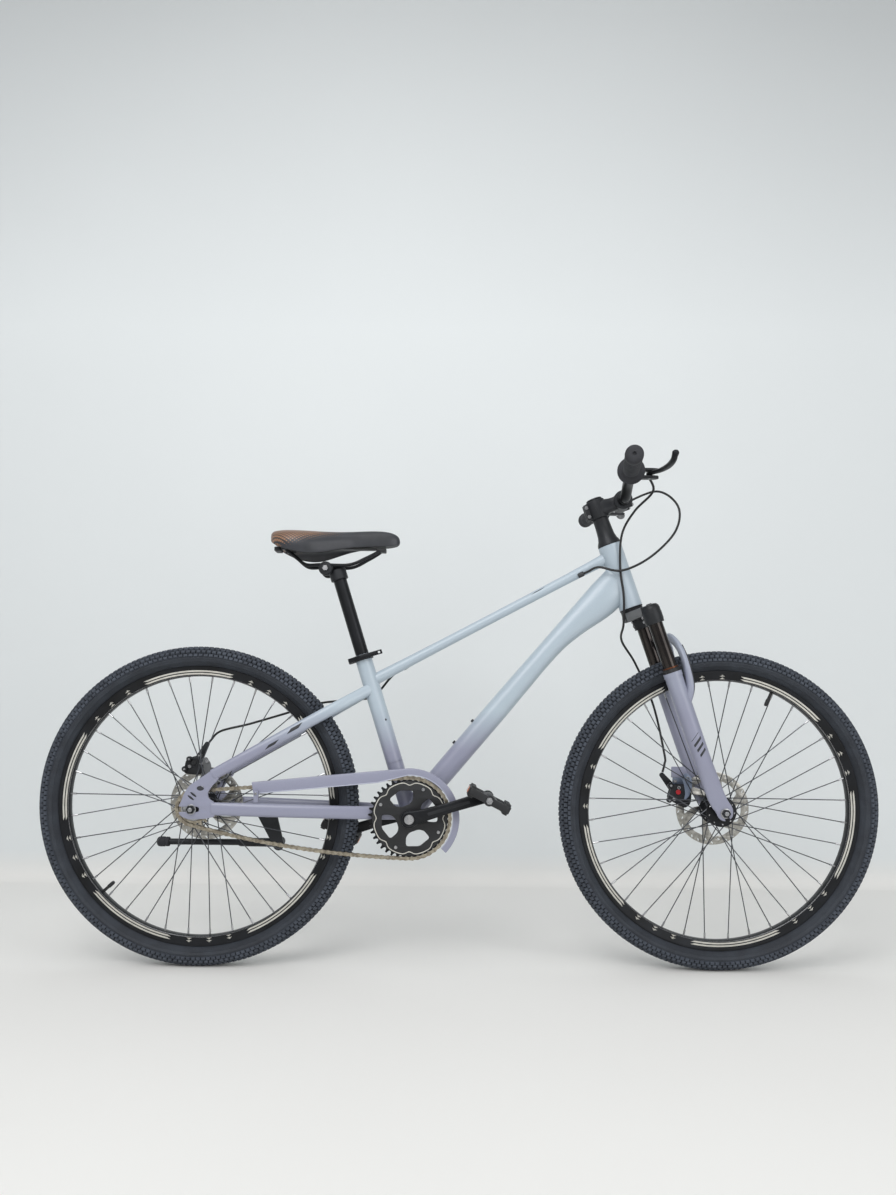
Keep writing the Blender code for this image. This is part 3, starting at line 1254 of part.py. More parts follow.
def lever_bracket(name, side):
    """Clamp band, forked arm that holds the lever's pivot, and the cable adjuster."""
    place = bar_point(side, CLAMP_Y)
    along = (bar_point(side, BAR_WIDTH / 2) - place).normalized()
    band = rod(place - along * 0.0085, place + along * 0.0085, BAR_RADIUS + 0.0052, ROUND)
    pivot = lever_pivot(side)
    centre = (place + pivot) / 2 + Vector((0.006, 0, 0))
    arm = block(centre, (LEVER_PIVOT_AHEAD - 0.002, 0.018, 0.018))
    hole = rod(place - along * 0.05, place + along * 0.05, BAR_RADIUS + GAP + 0.0008, ROUND)
    slot = block(pivot + Vector((0.003, side * 0.001, 0)), (0.028, 0.030, 0.0086))
    stop_start = pivot + Vector((0.004, -side * 0.008, 0.0068))
    adjuster = rod(stop_start, stop_start + Vector((0.002, -side * 0.022, 0)), 0.0045, 8)
    body = join(cut(join(band, arm), hole, slot), adjuster)
    return finish(name, body, BLACK_ALLOY, HEAD_BOTTOM)


def brake_lever(name, side):
    """Blade that hooks round from its pivot and runs outward ahead of the grip, its tip turned up."""
    pivot = lever_pivot(side)
    shape = [(0.000, -0.004, 0.000, 0.0060, 0.0035), (0.004, 0.010, 0.0, 0.0058, 0.0036),
             (0.016, 0.030, 0.0, 0.0052, 0.0042), (0.024, 0.060, 0.001, 0.0048, 0.0048),
             (0.026, 0.088, 0.004, 0.0046, 0.0050), (0.025, 0.106, 0.010, 0.0046, 0.0046),
             (0.025, LEVER_LENGTH, 0.0150, 0.0050, 0.0044)]
    stations = [(pivot + Vector((ahead, side * y, up)), wide, thick) for ahead, y, up, wide, thick in shape]
    blade = stay(stations, sides=8, square=2.6, reference=Vector((1, 0, 0)))
    return finish(name, blade, BLACK_ALLOY, pivot)


stem()
handlebar()
steer_ring("headset_cover", [(STEERER_BORE + 0.0002, -HEAD_TUBE_LENGTH - BEARING_GAP),
                             (HEAD_TUBE_RADIUS - 0.0005, -HEAD_TUBE_LENGTH - BEARING_GAP),
                             (COVER_RADIUS, -HEAD_TUBE_LENGTH - 0.012),
                             (COVER_RADIUS, STEM_BOTTOM + GAP),
                             (STEERER_BORE + 0.0002, STEM_BOTTOM + GAP)], BLACK_ALLOY)
finish("top_cap", turned([(0, STEM_TOP - GAP), (0.0172, STEM_TOP - GAP), (0.0165, STEM_TOP - 0.0040),
                          (0.0050, STEM_TOP - 0.0048), (0, STEM_TOP - 0.0048)], ROUND, HEAD_BOTTOM, STEER_DOWN),
       BLACK_ALLOY, HEAD_BOTTOM)
grip("grip_right", RIGHT)
grip("grip_left", LEFT)
lever_bracket("lever_bracket_right", RIGHT)
lever_bracket("lever_bracket_left", LEFT)
brake_lever("brake_lever_right", RIGHT)
brake_lever("brake_lever_left", LEFT)


# Seat post, saddle and seat clamp

POST_TOP = SEATPOST_EXPOSED
RAIL_RADIUS = RAIL_DIAMETER / 2
CLAMP_CENTRE = seat_point(-0.0205, POST_TOP + 0.0052)
RAIL_Z = CLAMP_CENTRE.z + 0.0080
SADDLE_REAR = seat_point(0, POST_TOP).x - SADDLE_SETBACK
SADDLE_TOP = seat_point(0, POST_TOP).z + SADDLE_TOP_RISE


def seatpost():
    post = rod(seat_point(0, -SEATPOST_INSERTED), seat_point(0, POST_TOP), SEATPOST_RADIUS, 14)
    return finish("seatpost", post, BLACK_ALLOY, SEAT_TOP)


def rail_path():
    """One bent wire: both rails, joined by a bow under the nose."""
    half = RAIL_SPACING / 2
    side = [(SADDLE_REAR + 0.034, half + 0.004, SADDLE_TOP - 0.0430),
            (SADDLE_REAR + 0.052, half + 0.003, SADDLE_TOP - 0.056),
            (SADDLE_REAR + 0.076, half, RAIL_Z), (SADDLE_REAR + 0.168, half, RAIL_Z),
            (SADDLE_REAR + 0.205, half * 0.75, RAIL_Z + 0.016),
            (SADDLE_REAR + 0.232, half * 0.42, SADDLE_TOP - 0.0430)]
    return [Vector(p) for p in side] + [Vector((x, -y, z)) for x, y, z in reversed(side)]


def saddle_rails():
    return finish("saddle_rails", tube(rail_path(), RAIL_RADIUS, 1), BLACK_ALLOY, SEAT_TOP)


def saddle_clamp():
    """Band round the post's top, with a cross barrel whose grooves grip the two rails."""
    band = rod(seat_point(0, POST_TOP - 0.024), seat_point(0, POST_TOP - 0.002), SEATPOST_RADIUS + 0.0045, 14)
    barrel = rod(CLAMP_CENTRE - ACROSS * 0.030, CLAMP_CENTRE + ACROSS * 0.030, 0.0135, 12)
    bore = rod(seat_point(0, POST_TOP - 0.05), seat_point(0, POST_TOP + 0.0006), SEATPOST_RADIUS + GAP, 14)
    grooves = []
    for side in (RIGHT, LEFT):
        middle = Vector((CLAMP_CENTRE.x, side * RAIL_SPACING / 2, RAIL_Z))
        size = RAIL_DIAMETER + 2 * GAP
        grooves.append(block(middle + Vector((0, 0, 0.004)), (0.05, size, size + 0.008)))
    return finish("saddle_clamp", cut(join(band, barrel), bore, *grooves), BLACK_ALLOY, SEAT_TOP)


SADDLE_SECTIONS = [
    # distance from the rear, half width, drop of the crown, drop of the lower edge
    (0.0000, 0.290, 0.0080, 0.0220),
    (0.0080, 0.700, 0.0020, 0.0340),
    (0.0400, 1.000, 0.0000, 0.0500),
    (0.0900, 0.930, 0.0015, 0.0600),
    (0.1350, 0.600, 0.0025, 0.0480),
    (0.1800, 0.350, 0.0005, 0.0360),
    (0.2300, 0.270, -0.0030, 0.0330),
    (0.2650, 0.200, 0.0020, 0.0310),
    (0.2760, 0.090, 0.0140, 0.0260),
]


def saddle_cover():
    """Cushion: crowned top, drawn-in sides and a lower edge that dips at the wings."""
    rings = []
    for along, wide, crown, edge in SADDLE_SECTIONS:
        x = SADDLE_REAR + SADDLE_LENGTH * along / 0.276
        w = SADDLE_WIDTH / 2 * wide
        top = SADDLE_TOP - crown
        low = SADDLE_TOP - edge
        deep = top - low
        base = max(low, SADDLE_TOP - 0.034)
        half = [(0.0, top), (w * 0.50, top - deep * 0.05), (w * 0.88, top - deep * 0.26), (w, top - deep * 0.60),
                (w * 0.90, low), (w * 0.72, base), (0.0, base)]
        ring = [(y, z) for y, z in half] + [(-y, z) for y, z in reversed(half[1:-1])]
        rings.append([Vector((x, y, z)) for y, z in ring])
    cage = loft(rings)
    smooth = cage.modifiers.new("soft", "SUBSURF")
    smooth.levels = 1
    smooth.render_levels = 1
    return finish("saddle_cover", as_solid(cage, weld=1e-6), SADDLE_VINYL, SEAT_TOP)


def saddle_base():
    """Moulded pan under the cushion, with sockets that meet the ends of the rails."""
    rings = []
    for along, wide, high in ((0.024, 0.36, 0.0362), (0.050, 0.42, 0.0362), (0.100, 0.36, 0.0362),
                              (0.150, 0.20, 0.0362), (0.200, 0.14, 0.0362), (0.246, 0.13, 0.0362)):
        x = SADDLE_REAR + along
        w = SADDLE_WIDTH / 2 * wide
        top = SADDLE_TOP - high
        rings.append([Vector((x, y, z)) for y, z in ((-w, top), (w, top), (w * 0.85, top - 0.003),
                                                      (-w * 0.85, top - 0.003))])
    return finish("saddle_base", loft(rings), BLACK_PLASTIC, SEAT_TOP)


COLLAR_HEIGHT = 0.012
COLLAR_RADIUS = SEAT_TUBE_RADIUS + 0.0035
LEVER_PIN = (-0.0270, -0.0144)
LEVER_ROOT = 0.0046


def seat_clamp():
    """Split collar round the top of the seat tube, its two ears drawn together by a cross bolt."""
    high = -0.0005
    low = high - COLLAR_HEIGHT
    ring = rod(seat_point(0, low), seat_point(0, high), COLLAR_RADIUS, 12)
    ears = block((-0.0250, 0, (low + high) / 2), (0.0150, 0.0130, COLLAR_HEIGHT - 0.0010),
                 Matrix.Translation(SEAT_TOP) @ SEAT_MATRIX)
    bore = rod(seat_point(0, low - 0.01), seat_point(0, high + 0.01), clear_bore(SEAT_TUBE_RADIUS, GAP, 12), 12)
    split = block((-0.0270, 0, (low + high) / 2), (0.0260, 0.0024, COLLAR_HEIGHT + 0.01),
                  Matrix.Translation(SEAT_TOP) @ SEAT_MATRIX)
    bolt = rod(seat_point(LEVER_PIN[0], (low + high) / 2, LEVER_PIN[1] + LEVER_ROOT + GAP),
               seat_point(LEVER_PIN[0], (low + high) / 2, 0.0100), 0.0028, 6)
    return finish("seat_clamp", join(cut(join(ring, ears), bore, split), bolt), BLACK_ALLOY, SEAT_TOP)


def seat_clamp_lever():
    """Flat lever that folds forward round the collar's right side, with a hole at its tip."""
    middle = -0.0005 - COLLAR_HEIGHT / 2
    inner = COLLAR_RADIUS + 0.0020
    outer = inner + 0.0034
    pin_x, pin_y = LEVER_PIN
    root = [(pin_x + LEVER_ROOT * math.cos(math.radians(a)), pin_y + LEVER_ROOT * math.sin(math.radians(a)))
            for a in (250, 205, 160, 115, 70)]
    turns = [math.radians(a) for a in (228, 252, 276)]
    path = [(inner * math.cos(a), inner * math.sin(a)) for a in turns]
    path += [(0.020, -inner - 0.001), (0.044, -inner + 0.002)]
    back = [(0.044, -outer + 0.002), (0.020, -outer - 0.001)]
    back += [(outer * math.cos(a), outer * math.sin(a)) for a in reversed(turns)]
    outline = root + path + back
    strip = plate([outline], 0.009, Matrix.Translation(seat_point(0, middle)) @ SEAT_MATRIX)
    hole = block((0.036, -inner - 0.002, 0), (0.010, 0.02, 0.0045),
                 Matrix.Translation(seat_point(0, middle)) @ SEAT_MATRIX)
    pivot = seat_point(LEVER_PIN[0], middle, LEVER_PIN[1])
    return finish("seat_clamp_lever", cut(strip, hole), BLACK_ALLOY, pivot)


seatpost()
saddle_clamp()
saddle_rails()
saddle_cover()
saddle_base()
seat_clamp()
seat_clamp_lever()


# Brake calipers

def caliper(name, wheel, rotor_y, low, high, outline, mounts):
    """Housing on both sides of the rotor, open to the disc, with the mounts that bolt it on."""
    body = side_plate([outline], low, high)
    disc = rod((0, rotor_y - 0.0023, 0), (0, rotor_y + 0.0023, 0), ROTOR_RADIUS + 0.0020, 24)
    body = cut(body, disc)
    body = join(body, *mounts)
    body.data.transform(Matrix.Translation(wheel))
    return finish(name, body, BLACK_ALLOY, wheel)


FRONT_ARM_PIVOT = Vector((-0.078, 0, 0.036))
FRONT_ARM_TIP = Vector((-0.107, 0, 0.071))
REAR_ARM_PIVOT = Vector((-0.026, 0, 0.090))
REAR_ARM_TIP = Vector((-0.004, 0, 0.130))
ARM_TIP_RADIUS = 0.0055


def caliper_arm(name, wheel, pivot, tip, inner):
    """Actuating arm: boss on the caliper's pivot, tapering to the cable's anchor."""
    low, high = inner, inner + 0.0055
    along = (tip - pivot).normalized()
    aside = Vector((-along.z, 0, along.x))
    outline = []
    for centre, radius, turns in ((pivot, 0.0095, (90, 135, 180, 225, 270)), (tip, ARM_TIP_RADIUS, (-90, -30, 30, 90))):
        for turn in turns:
            a = math.radians(turn)
            spot = centre + along * radius * math.cos(a) + aside * radius * math.sin(a)
            outline.append((spot.x, spot.z))
    body = side_plate([outline], low, high)
    body.data.transform(Matrix.Translation(wheel))
    return finish(name, body, BLACK_ALLOY, wheel + pivot)


FRONT_SHAPE = [(-0.100, 0.020), (-0.062, 0.000), (-0.050, 0.010), (-0.048, 0.034), (-0.062, 0.054), (-0.092, 0.050)]
REAR_SHAPE = [(-0.050, 0.066), (-0.014, 0.062), (-0.002, 0.074), (-0.004, 0.098), (-0.020, 0.106), (-0.044, 0.098)]
FRONT_CALIPER_LOW = 0.0290
FRONT_CALIPER_HIGH = 0.0585
REAR_CALIPER_LOW = 0.0430
REAR_CALIPER_HIGH = REAR_HUB_HALF - GAP
caliper("front_caliper", FRONT_AXLE, FRONT_ROTOR_Y, FRONT_CALIPER_LOW, 0.0500 - GAP, FRONT_SHAPE,
        [block((-0.070, 0.0520, 0.0578), (0.030, 0.0080, 0.0158)),
         rod((-0.078, 0.0480, 0.036), (-0.078, FRONT_CALIPER_HIGH, 0.036), 0.0130, 10)])
caliper("rear_caliper", REAR_AXLE, REAR_ROTOR_Y, REAR_CALIPER_LOW, REAR_CALIPER_HIGH, REAR_SHAPE, [])
caliper_arm("front_caliper_arm", FRONT_AXLE, FRONT_ARM_PIVOT, FRONT_ARM_TIP,
            FRONT_CALIPER_HIGH + GAP)
caliper_arm("rear_caliper_arm", REAR_AXLE, REAR_ARM_PIVOT, REAR_ARM_TIP,
            REAR_CALIPER_HIGH + GAP)


# Kickstand

STAND_PIVOT = Vector((KICKSTAND_X, 0.0760, chainstay_middle(KICKSTAND_X) - KICKSTAND_DROP))
STAND_AXIS = Vector((0, -math.cos(KICKSTAND_SPLAY), -math.sin(KICKSTAND_SPLAY)))
STAND_SIDE = Vector((0, math.sin(KICKSTAND_SPLAY), -math.cos(KICKSTAND_SPLAY)))
STAND_LEG_RADIUS = 0.0080
STAND_FOOT_LENGTH = 0.030


def stand_point(behind, out, low=0.0):
    """A point of the folded stand: behind its pivot, outward along the hinge, down in its plane."""
    return STAND_PIVOT + Vector((-behind, 0, 0)) - STAND_AXIS * out + STAND_SIDE * low


def kickstand_bracket():
    """Plate clamped on the left chainstay, with an arm down to the hinge pin."""
    x = KICKSTAND_X - 0.028
    top = chainstay_middle(x + 0.029) - CHAINSTAY_REACH - GAP
    pad = block((x, 0.0600, top - 0.0030), (0.058, 0.024, 0.0060))
    round_pin = [(STAND_PIVOT.x + ahead, STAND_PIVOT.z + above)
                 for ahead, above in ((0.013, 0.0), (0.006, -0.012), (-0.010, -0.010), (-0.016, 0.006))]
    arm = side_plate([[(x - 0.022, top - 0.004), (x + 0.024, top - 0.004)] + round_pin], 0.0555, 0.0625)
    hub_start = STAND_PIVOT + STAND_AXIS * 0.0170
    pin = rod(hub_start, STAND_PIVOT - STAND_AXIS * 0.0100, 0.0045, 8)
    boss = rod(hub_start, STAND_PIVOT + STAND_AXIS * (0.0090 + GAP), 0.0110, 12)
    return finish("kickstand_bracket", join(pad, arm, boss, pin), BLACK_ALLOY)


def kickstand_leg():
    """Hub on the pin and a straight round leg, folded back along the chainstay."""
    hub_body = rod(STAND_PIVOT + STAND_AXIS * 0.0090, STAND_PIVOT - STAND_AXIS * 0.0090, 0.0120, 12)
    leg = rod(stand_point(0.006, 0), stand_point(KICKSTAND_LENGTH - 0.006, 0.0), STAND_LEG_RADIUS, 10)
    hole = rod(STAND_PIVOT + STAND_AXIS * 0.02, STAND_PIVOT - STAND_AXIS * 0.02, clear_bore(0.0045, GAP, 8), 8)
    return finish("kickstand_leg", cut(join(hub_body, leg), hole), BLACK_ALLOY, STAND_PIVOT)


def kickstand_foot():
    """Rubber foot with a blind socket that caps the end of the leg."""
    start = stand_point(KICKSTAND_LENGTH - STAND_FOOT_LENGTH + 0.014, 0)
    bore = clear_bore(STAND_LEG_RADIUS, GAP, 10)
    profile = [(0, 0.0105), (bore, 0.0105), (bore, 0), (bore + 0.0022, 0), (bore + 0.0030, 0.020),
               (bore - 0.001, STAND_FOOT_LENGTH - 0.004), (0, STAND_FOOT_LENGTH - 0.003)]
    return finish("kickstand_foot", turned(profile, 10, start, (-1, 0, 0)), GRIP_RUBBER, STAND_PIVOT)


kickstand_bracket()
kickstand_leg()
kickstand_foot()


# Brake cables

def cable_start(side):
    """Where a brake cable leaves its lever's adjuster, and the way it points there."""
    end = lever_pivot(side) + Vector((0.006, -side * 0.030, 0.0068))
    along = Vector((0.002, -side * 0.022, 0)).normalized()
    return end + along * 3 * GAP, along


def cable_stop(wheel, tip, y, along):
    """Where a cable ends, just short of the arm's anchor, coming from the direction along."""
    return wheel + Vector((tip.x, y, tip.z)) + along * (ARM_TIP_RADIUS + 2 * GAP)


def beside_stay(share, left, above):
    """A point this share of the way down the left seatstay's run, left of the middle and above its line."""
    return SEATSTAY_START.lerp(SEATSTAY_END, share) + Vector((0, left, above))


def front_brake_cable():
    """From the right lever, down beside the head tube and the left leg to the front caliper's arm."""
    start, out = cable_start(RIGHT)
    upward = Vector((0.24, 0, 0.97)).normalized()
    stop = cable_stop(FRONT_AXLE, FRONT_ARM_TIP, FRONT_CALIPER_HIGH + 0.0030, upward)
    side = -(HEAD_TUBE_RADIUS + CABLE_RADIUS + 0.0015)
    route = [start, start + out * 0.014, BAR_CENTRE + Vector((0.0474, -0.095, 0.0011)),
             BAR_CENTRE + Vector((0.0174, -0.056, -0.0319)), HEAD_TOP + Vector((0.0202, -0.034, 0.0178)),
             HEAD_TOP + Vector((0.0182, side, -0.0522)), HEAD_BOTTOM + Vector((-0.0212, side, 0.0216)),
             steer_point(-0.030, 0.028, -0.018), steer_point(-0.036, 0.060, 0.030),
             steer_point(-0.014, 0.120, 0.078),
             steer_point(-0.006, 0.220, 0.0800), steer_point(-0.020, 0.330, 0.0700), stop + upward * 0.020, stop]
    return finish("front_brake_cable", tube(smooth_path(route, 28), CABLE_RADIUS, 1), CABLE_BLACK, HEAD_BOTTOM)


def rear_brake_cable():
    """From the left lever, through the top tube and along the left seat stay to the rear arm."""
    start, out = cable_start(LEFT)
    upward = Vector((0.70, 0.05, 0.71)).normalized()
    stop = cable_stop(REAR_AXLE, REAR_ARM_TIP, REAR_CALIPER_HIGH + 0.0030, upward)
    route = [start, start + out * 0.016, BAR_CENTRE + Vector((0.0974, 0.095, 0.0451)),
             BAR_CENTRE + Vector((0.1294, 0.030, -0.0019)), HEAD_TOP + Vector((0.1362, -0.024, 0.0278)),
             HEAD_TOP + Vector((0.0802, -0.0400, -0.0302)), HEAD_TOP + Vector((0.0202, -0.0385, -0.0592)),
             cable_port(-0.036, 0.0235, 0.0100), cable_port(-0.012, 0.0140, 0.0075), cable_port(0.012, 0.0045, 0.0050),
             cable_port(0.045, 0, 0)]
    run = [cable_exit(-0.045, 0, 0), cable_exit(-0.012, 0.0045, 0.0050), cable_exit(0.012, 0.0140, 0.0075),
           cable_exit(0.036, 0.0235, 0.0100),
           beside_stay(0.0, 0.0340, -0.0170), beside_stay(0.157, 0.0500, 0.0031), beside_stay(0.372, 0.0610, 0.0350),
           beside_stay(0.618, 0.0715, 0.0566), beside_stay(0.8646, 0.0740, 0.0783), stop + upward * 0.034, stop]
    points = smooth_path(route, 20) + smooth_path(run, 18)
    return finish("rear_brake_cable", tube(points, CABLE_RADIUS, 1), CABLE_BLACK)


front_brake_cable()
rear_brake_cable()
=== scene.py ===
# Hardtail mountain bike, dressed: smooth skins, tread, spokes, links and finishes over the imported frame.
# X is forward, Y the rider's left and Z up, in metres. The drive side faces the camera.

import json
import math

import bmesh
import bpy
from bpy.props import FloatProperty, FloatVectorProperty, IntProperty, PointerProperty
from mathutils import Matrix, Vector
from mathutils.bvhtree import BVHTree

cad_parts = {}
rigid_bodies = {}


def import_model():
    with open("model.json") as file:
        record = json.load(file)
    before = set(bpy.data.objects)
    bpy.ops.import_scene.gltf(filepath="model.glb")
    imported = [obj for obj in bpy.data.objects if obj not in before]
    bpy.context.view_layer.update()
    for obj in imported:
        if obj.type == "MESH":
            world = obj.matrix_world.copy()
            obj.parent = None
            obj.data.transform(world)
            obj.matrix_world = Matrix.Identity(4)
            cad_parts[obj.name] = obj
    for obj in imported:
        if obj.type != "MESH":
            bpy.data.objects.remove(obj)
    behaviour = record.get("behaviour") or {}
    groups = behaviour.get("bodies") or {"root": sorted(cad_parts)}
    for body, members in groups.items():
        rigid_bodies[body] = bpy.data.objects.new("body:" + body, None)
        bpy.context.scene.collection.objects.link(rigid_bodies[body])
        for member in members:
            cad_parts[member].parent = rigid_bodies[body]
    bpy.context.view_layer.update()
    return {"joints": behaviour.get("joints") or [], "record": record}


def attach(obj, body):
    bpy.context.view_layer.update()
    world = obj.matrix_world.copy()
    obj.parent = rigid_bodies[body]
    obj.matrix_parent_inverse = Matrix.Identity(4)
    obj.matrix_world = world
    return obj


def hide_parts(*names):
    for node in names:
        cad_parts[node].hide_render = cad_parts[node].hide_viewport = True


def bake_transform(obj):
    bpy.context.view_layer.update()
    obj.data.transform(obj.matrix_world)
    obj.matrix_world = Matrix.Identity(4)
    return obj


bl_info = {
    "name": "Hardtail mountain bike",
    "version": (1, 0, 0),
    "blender": (4, 5, 0),
    "location": "3D View > Sidebar > Bike",
    "description": "Builds the tread, lacing, chain, paint and trim of a mountain bike over its frame",
    "category": "Add Mesh",
}

for leftover in list(bpy.data.objects):
    bpy.data.objects.remove(leftover, do_unlink=True)
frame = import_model()

# Places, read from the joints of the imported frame

JOINTS = {joint["name"]: joint for joint in frame["joints"]}
BODY_OF = {node: body for body, nodes in frame["record"]["behaviour"]["bodies"].items() for node in nodes}
RIGHT = -1
LEFT = 1
SIDES = (("right", RIGHT), ("left", LEFT))
ACROSS = Vector((0, 1, 0))


def pivot(joint):
    return Vector(JOINTS[joint]["pos_m"])


FRONT_AXLE = pivot("front_wheel_spin")
REAR_AXLE = pivot("rear_wheel_spin")
BB = pivot("crank_spin")
HEAD_BOTTOM = pivot("steering")
STEER_UP = Vector(JOINTS["steering"]["axis"])
STEER_AHEAD = Vector((STEER_UP.z, 0, -STEER_UP.x))
SEAT_TOP = pivot("seatpost_slide")
SEAT_UP = Vector(JOINTS["seatpost_slide"]["axis"])
SEAT_AHEAD = Vector((SEAT_UP.z, 0, -SEAT_UP.x))
PEDAL_EYE = Vector((pivot("pedal_right_spin").x, 0, pivot("pedal_right_spin").z))
CRANK_LENGTH = (PEDAL_EYE - BB).length
CRANK_AHEAD = (PEDAL_EYE - BB).normalized()
STEER_MATRIX = Matrix((STEER_AHEAD, ACROSS, STEER_UP)).transposed().to_4x4()
SEAT_MATRIX = Matrix((SEAT_AHEAD, ACROSS, SEAT_UP)).transposed().to_4x4()
SIDE_ON = Matrix.Rotation(math.pi / 2, 4, "X")

# Sizes that the dressed pieces share with the solids

HEAD_TUBE_LENGTH = 0.142
HEAD_TUBE_RADIUS = 0.0250
SEAT_TUBE_RADIUS = 0.0180
TOP_TUBE_RADIUS = 0.0105
BB_SHELL_HALF = 0.034
BB_SHELL_RADIUS = 0.0210
FORK_LENGTH = 0.474
FORK_OFFSET = 0.0346
LEG_OFFSET = 0.025
LEG_Y = 0.0575
STANCHION_RADIUS = 0.0150
LOWERS_TOP = 0.158
STEM_BOTTOM = -0.203
STEM_TOP = -0.243
STEM_MIDDLE = (STEM_BOTTOM + STEM_TOP) / 2
BAR_RADIUS = 0.0111
BAR_HALF = 0.310
GRIP_START = 0.188
RIM_RADIUS = 0.301
TYRE_RADIUS = FRONT_AXLE.z
HUB_FLANGE_RADIUS = 0.0310
CHAIN_PITCH = 0.0127
RING_TEETH = 42
COG_TEETH = 18
CHAINLINE = 0.048
CHAIN_WIDTH = 0.0084
POST_RADIUS = 0.0143
POST_TOP = 0.192
CABLE_RADIUS = 0.0025
ROTOR_RADIUS = 0.080
DROPOUT_INNER_Y = 0.0675
DROPOUT_OUTER_Y = 0.0725
CRANK_INNER_Y = 0.064
CRANK_OUTER_Y = 0.078
FRONT_ROTOR_Y = 0.0405
REAR_ROTOR_Y = 0.0544
FRONT_HUB_HALF = 0.0497
REAR_HUB_HALF = 0.0672
HEAD_TOP = HEAD_BOTTOM + STEER_UP * HEAD_TUBE_LENGTH
DOWN_TUBE_HEAD = HEAD_BOTTOM + STEER_UP * 0.070
BAR_CENTRE = HEAD_BOTTOM + STEER_AHEAD * 0.055 - STEER_UP * STEM_MIDDLE
RING_RADIUS = CHAIN_PITCH / 2 / math.sin(math.pi / RING_TEETH)
COG_RADIUS = CHAIN_PITCH / 2 / math.sin(math.pi / COG_TEETH)


def steer_point(ahead, down, across=0.0):
    """Ahead of the steering axis, down it from the foot of the head tube, and across."""
    return HEAD_BOTTOM + STEER_AHEAD * ahead - STEER_UP * down + ACROSS * across


def seat_point(ahead, up, across=0.0):
    """Ahead of the seat tube's axis, up it from the tube's top end, and across."""
    return SEAT_TOP + SEAT_AHEAD * ahead + SEAT_UP * up + ACROSS * across


# Mesh tools

def polar(radius, angle, centre=(0.0, 0.0)):
    """The flat point at this radius and angle from a centre."""
    return (centre[0] + radius * math.cos(angle), centre[1] + radius * math.sin(angle))


def ring_points(radius, count, centre=(0.0, 0.0)):
    return [polar(radius, math.tau * i / count, centre) for i in range(count)]


def leaning_oval(centre, half_long, half_wide, lean, count):
    """An oval's outline, its long axis turned by lean."""
    c, s = math.cos(lean), math.sin(lean)
    return [(centre[0] + half_long * math.cos(b) * c - half_wide * math.sin(b) * s,
             centre[1] + half_long * math.cos(b) * s + half_wide * math.sin(b) * c)
            for b in [math.tau * i / count for i in range(count)]]


def mirrored(half):
    """A profile that is alike on both sides of its middle, from its (radius, along) half."""
    return [(radius, -along) for radius, along in half] + half[::-1]


def radial(radius, angle, y=0.0):
    """Out from a wheel's centre by the radius, at an angle in the XZ plane, and across by y."""
    return Vector((radius * math.cos(angle), y, radius * math.sin(angle)))


def skin(bm, rings, mat=0, caps=True, closed=False):
    """Skin rings that have the same number of points."""
    made = [[bm.verts.new(p) for p in ring] for ring in rings]
    pairs = list(zip(made, made[1:]))
    if closed:
        pairs.append((made[-1], made[0]))
    faces = []
    count = len(made[0])
    for low, high in pairs:
        for i in range(count):
            j = (i + 1) % count
            faces.append(bm.faces.new((low[i], low[j], high[j], high[i])))
    if caps and not closed:
        faces.append(bm.faces.new(list(reversed(made[0]))))
        faces.append(bm.faces.new(made[-1]))
    for face in faces:
        face.material_index = mat
        face.smooth = True


def axis_matrix(origin, axis):
    z = Vector(axis).normalized()
    x = ACROSS.cross(z)
    if x.length < 1e-6:
        x = Vector((1, 0, 0))
    x.normalize()
    return Matrix.Translation(origin) @ Matrix((x, z.cross(x), z)).transposed().to_4x4()


def lathe(bm, profile, origin, axis, mat=0, steps=40, closed=False):
    """Turn (radius, along) points round the axis."""
    place = axis_matrix(origin, axis)
    rings = []
    for radius, along in profile:
        rings.append([place @ Vector((x, y, along)) for x, y in ring_points(radius, steps)])
    skin(bm, rings, mat, caps=False, closed=closed)


def rod(bm, start, end, radius, mat=0, steps=24, edge=0.0004):
    """A round bar with eased ends."""
    start, end = Vector(start), Vector(end)
    length = (end - start).length
    profile = [(0, 0), (radius - edge, 0), (radius, edge), (radius, length - edge), (radius - edge, length),
               (0, length)]
    lathe(bm, profile, start, end - start, mat, steps)


def tube(bm, points, radius, mat=0, sides=16, radii=None):
    """A round wire along points."""
    rings = []
    side = None
    turns = [math.tau * k / sides for k in range(sides)]
    for i, here in enumerate(points):
        along = (points[min(i + 1, len(points) - 1)] - points[max(i - 1, 0)]).normalized()
        side = along.orthogonal() if side is None else side - along * side.dot(along)
        side.normalize()
        up = along.cross(side)
        size = radius * (radii[i] if radii else 1.0)
        rings.append([here + (side * math.cos(t) + up * math.sin(t)) * size for t in turns])
    skin(bm, rings, mat)


def spline(rows, steps):
    """Rows of numbers on a smooth line through the given rows."""
    rows = [Vector(row) for row in rows]
    ends = [rows[0] * 2 - rows[1]] + rows + [rows[-1] * 2 - rows[-2]]
    out = []
    for i in range(1, len(ends) - 2):
        a, b, c, d = ends[i - 1:i + 3]
        for k in range(steps):
            t = k / steps
            out.append(0.5 * (2 * b + (c - a) * t + (2 * a - 5 * b + 4 * c - d) * t * t
                              + (3 * b - a - 3 * c + d) * t ** 3))
    out.append(rows[-1])
    return out


def oval(sides, half_a, half_b, square=2.0):
    points = []
    for i in range(sides):
        angle = math.tau * (i + 0.5) / sides
        c, s = math.cos(angle), math.sin(angle)
        points.append((math.copysign(abs(c) ** (2 / square), c) * half_a,
                       math.copysign(abs(s) ** (2 / square), s) * half_b))
    return points


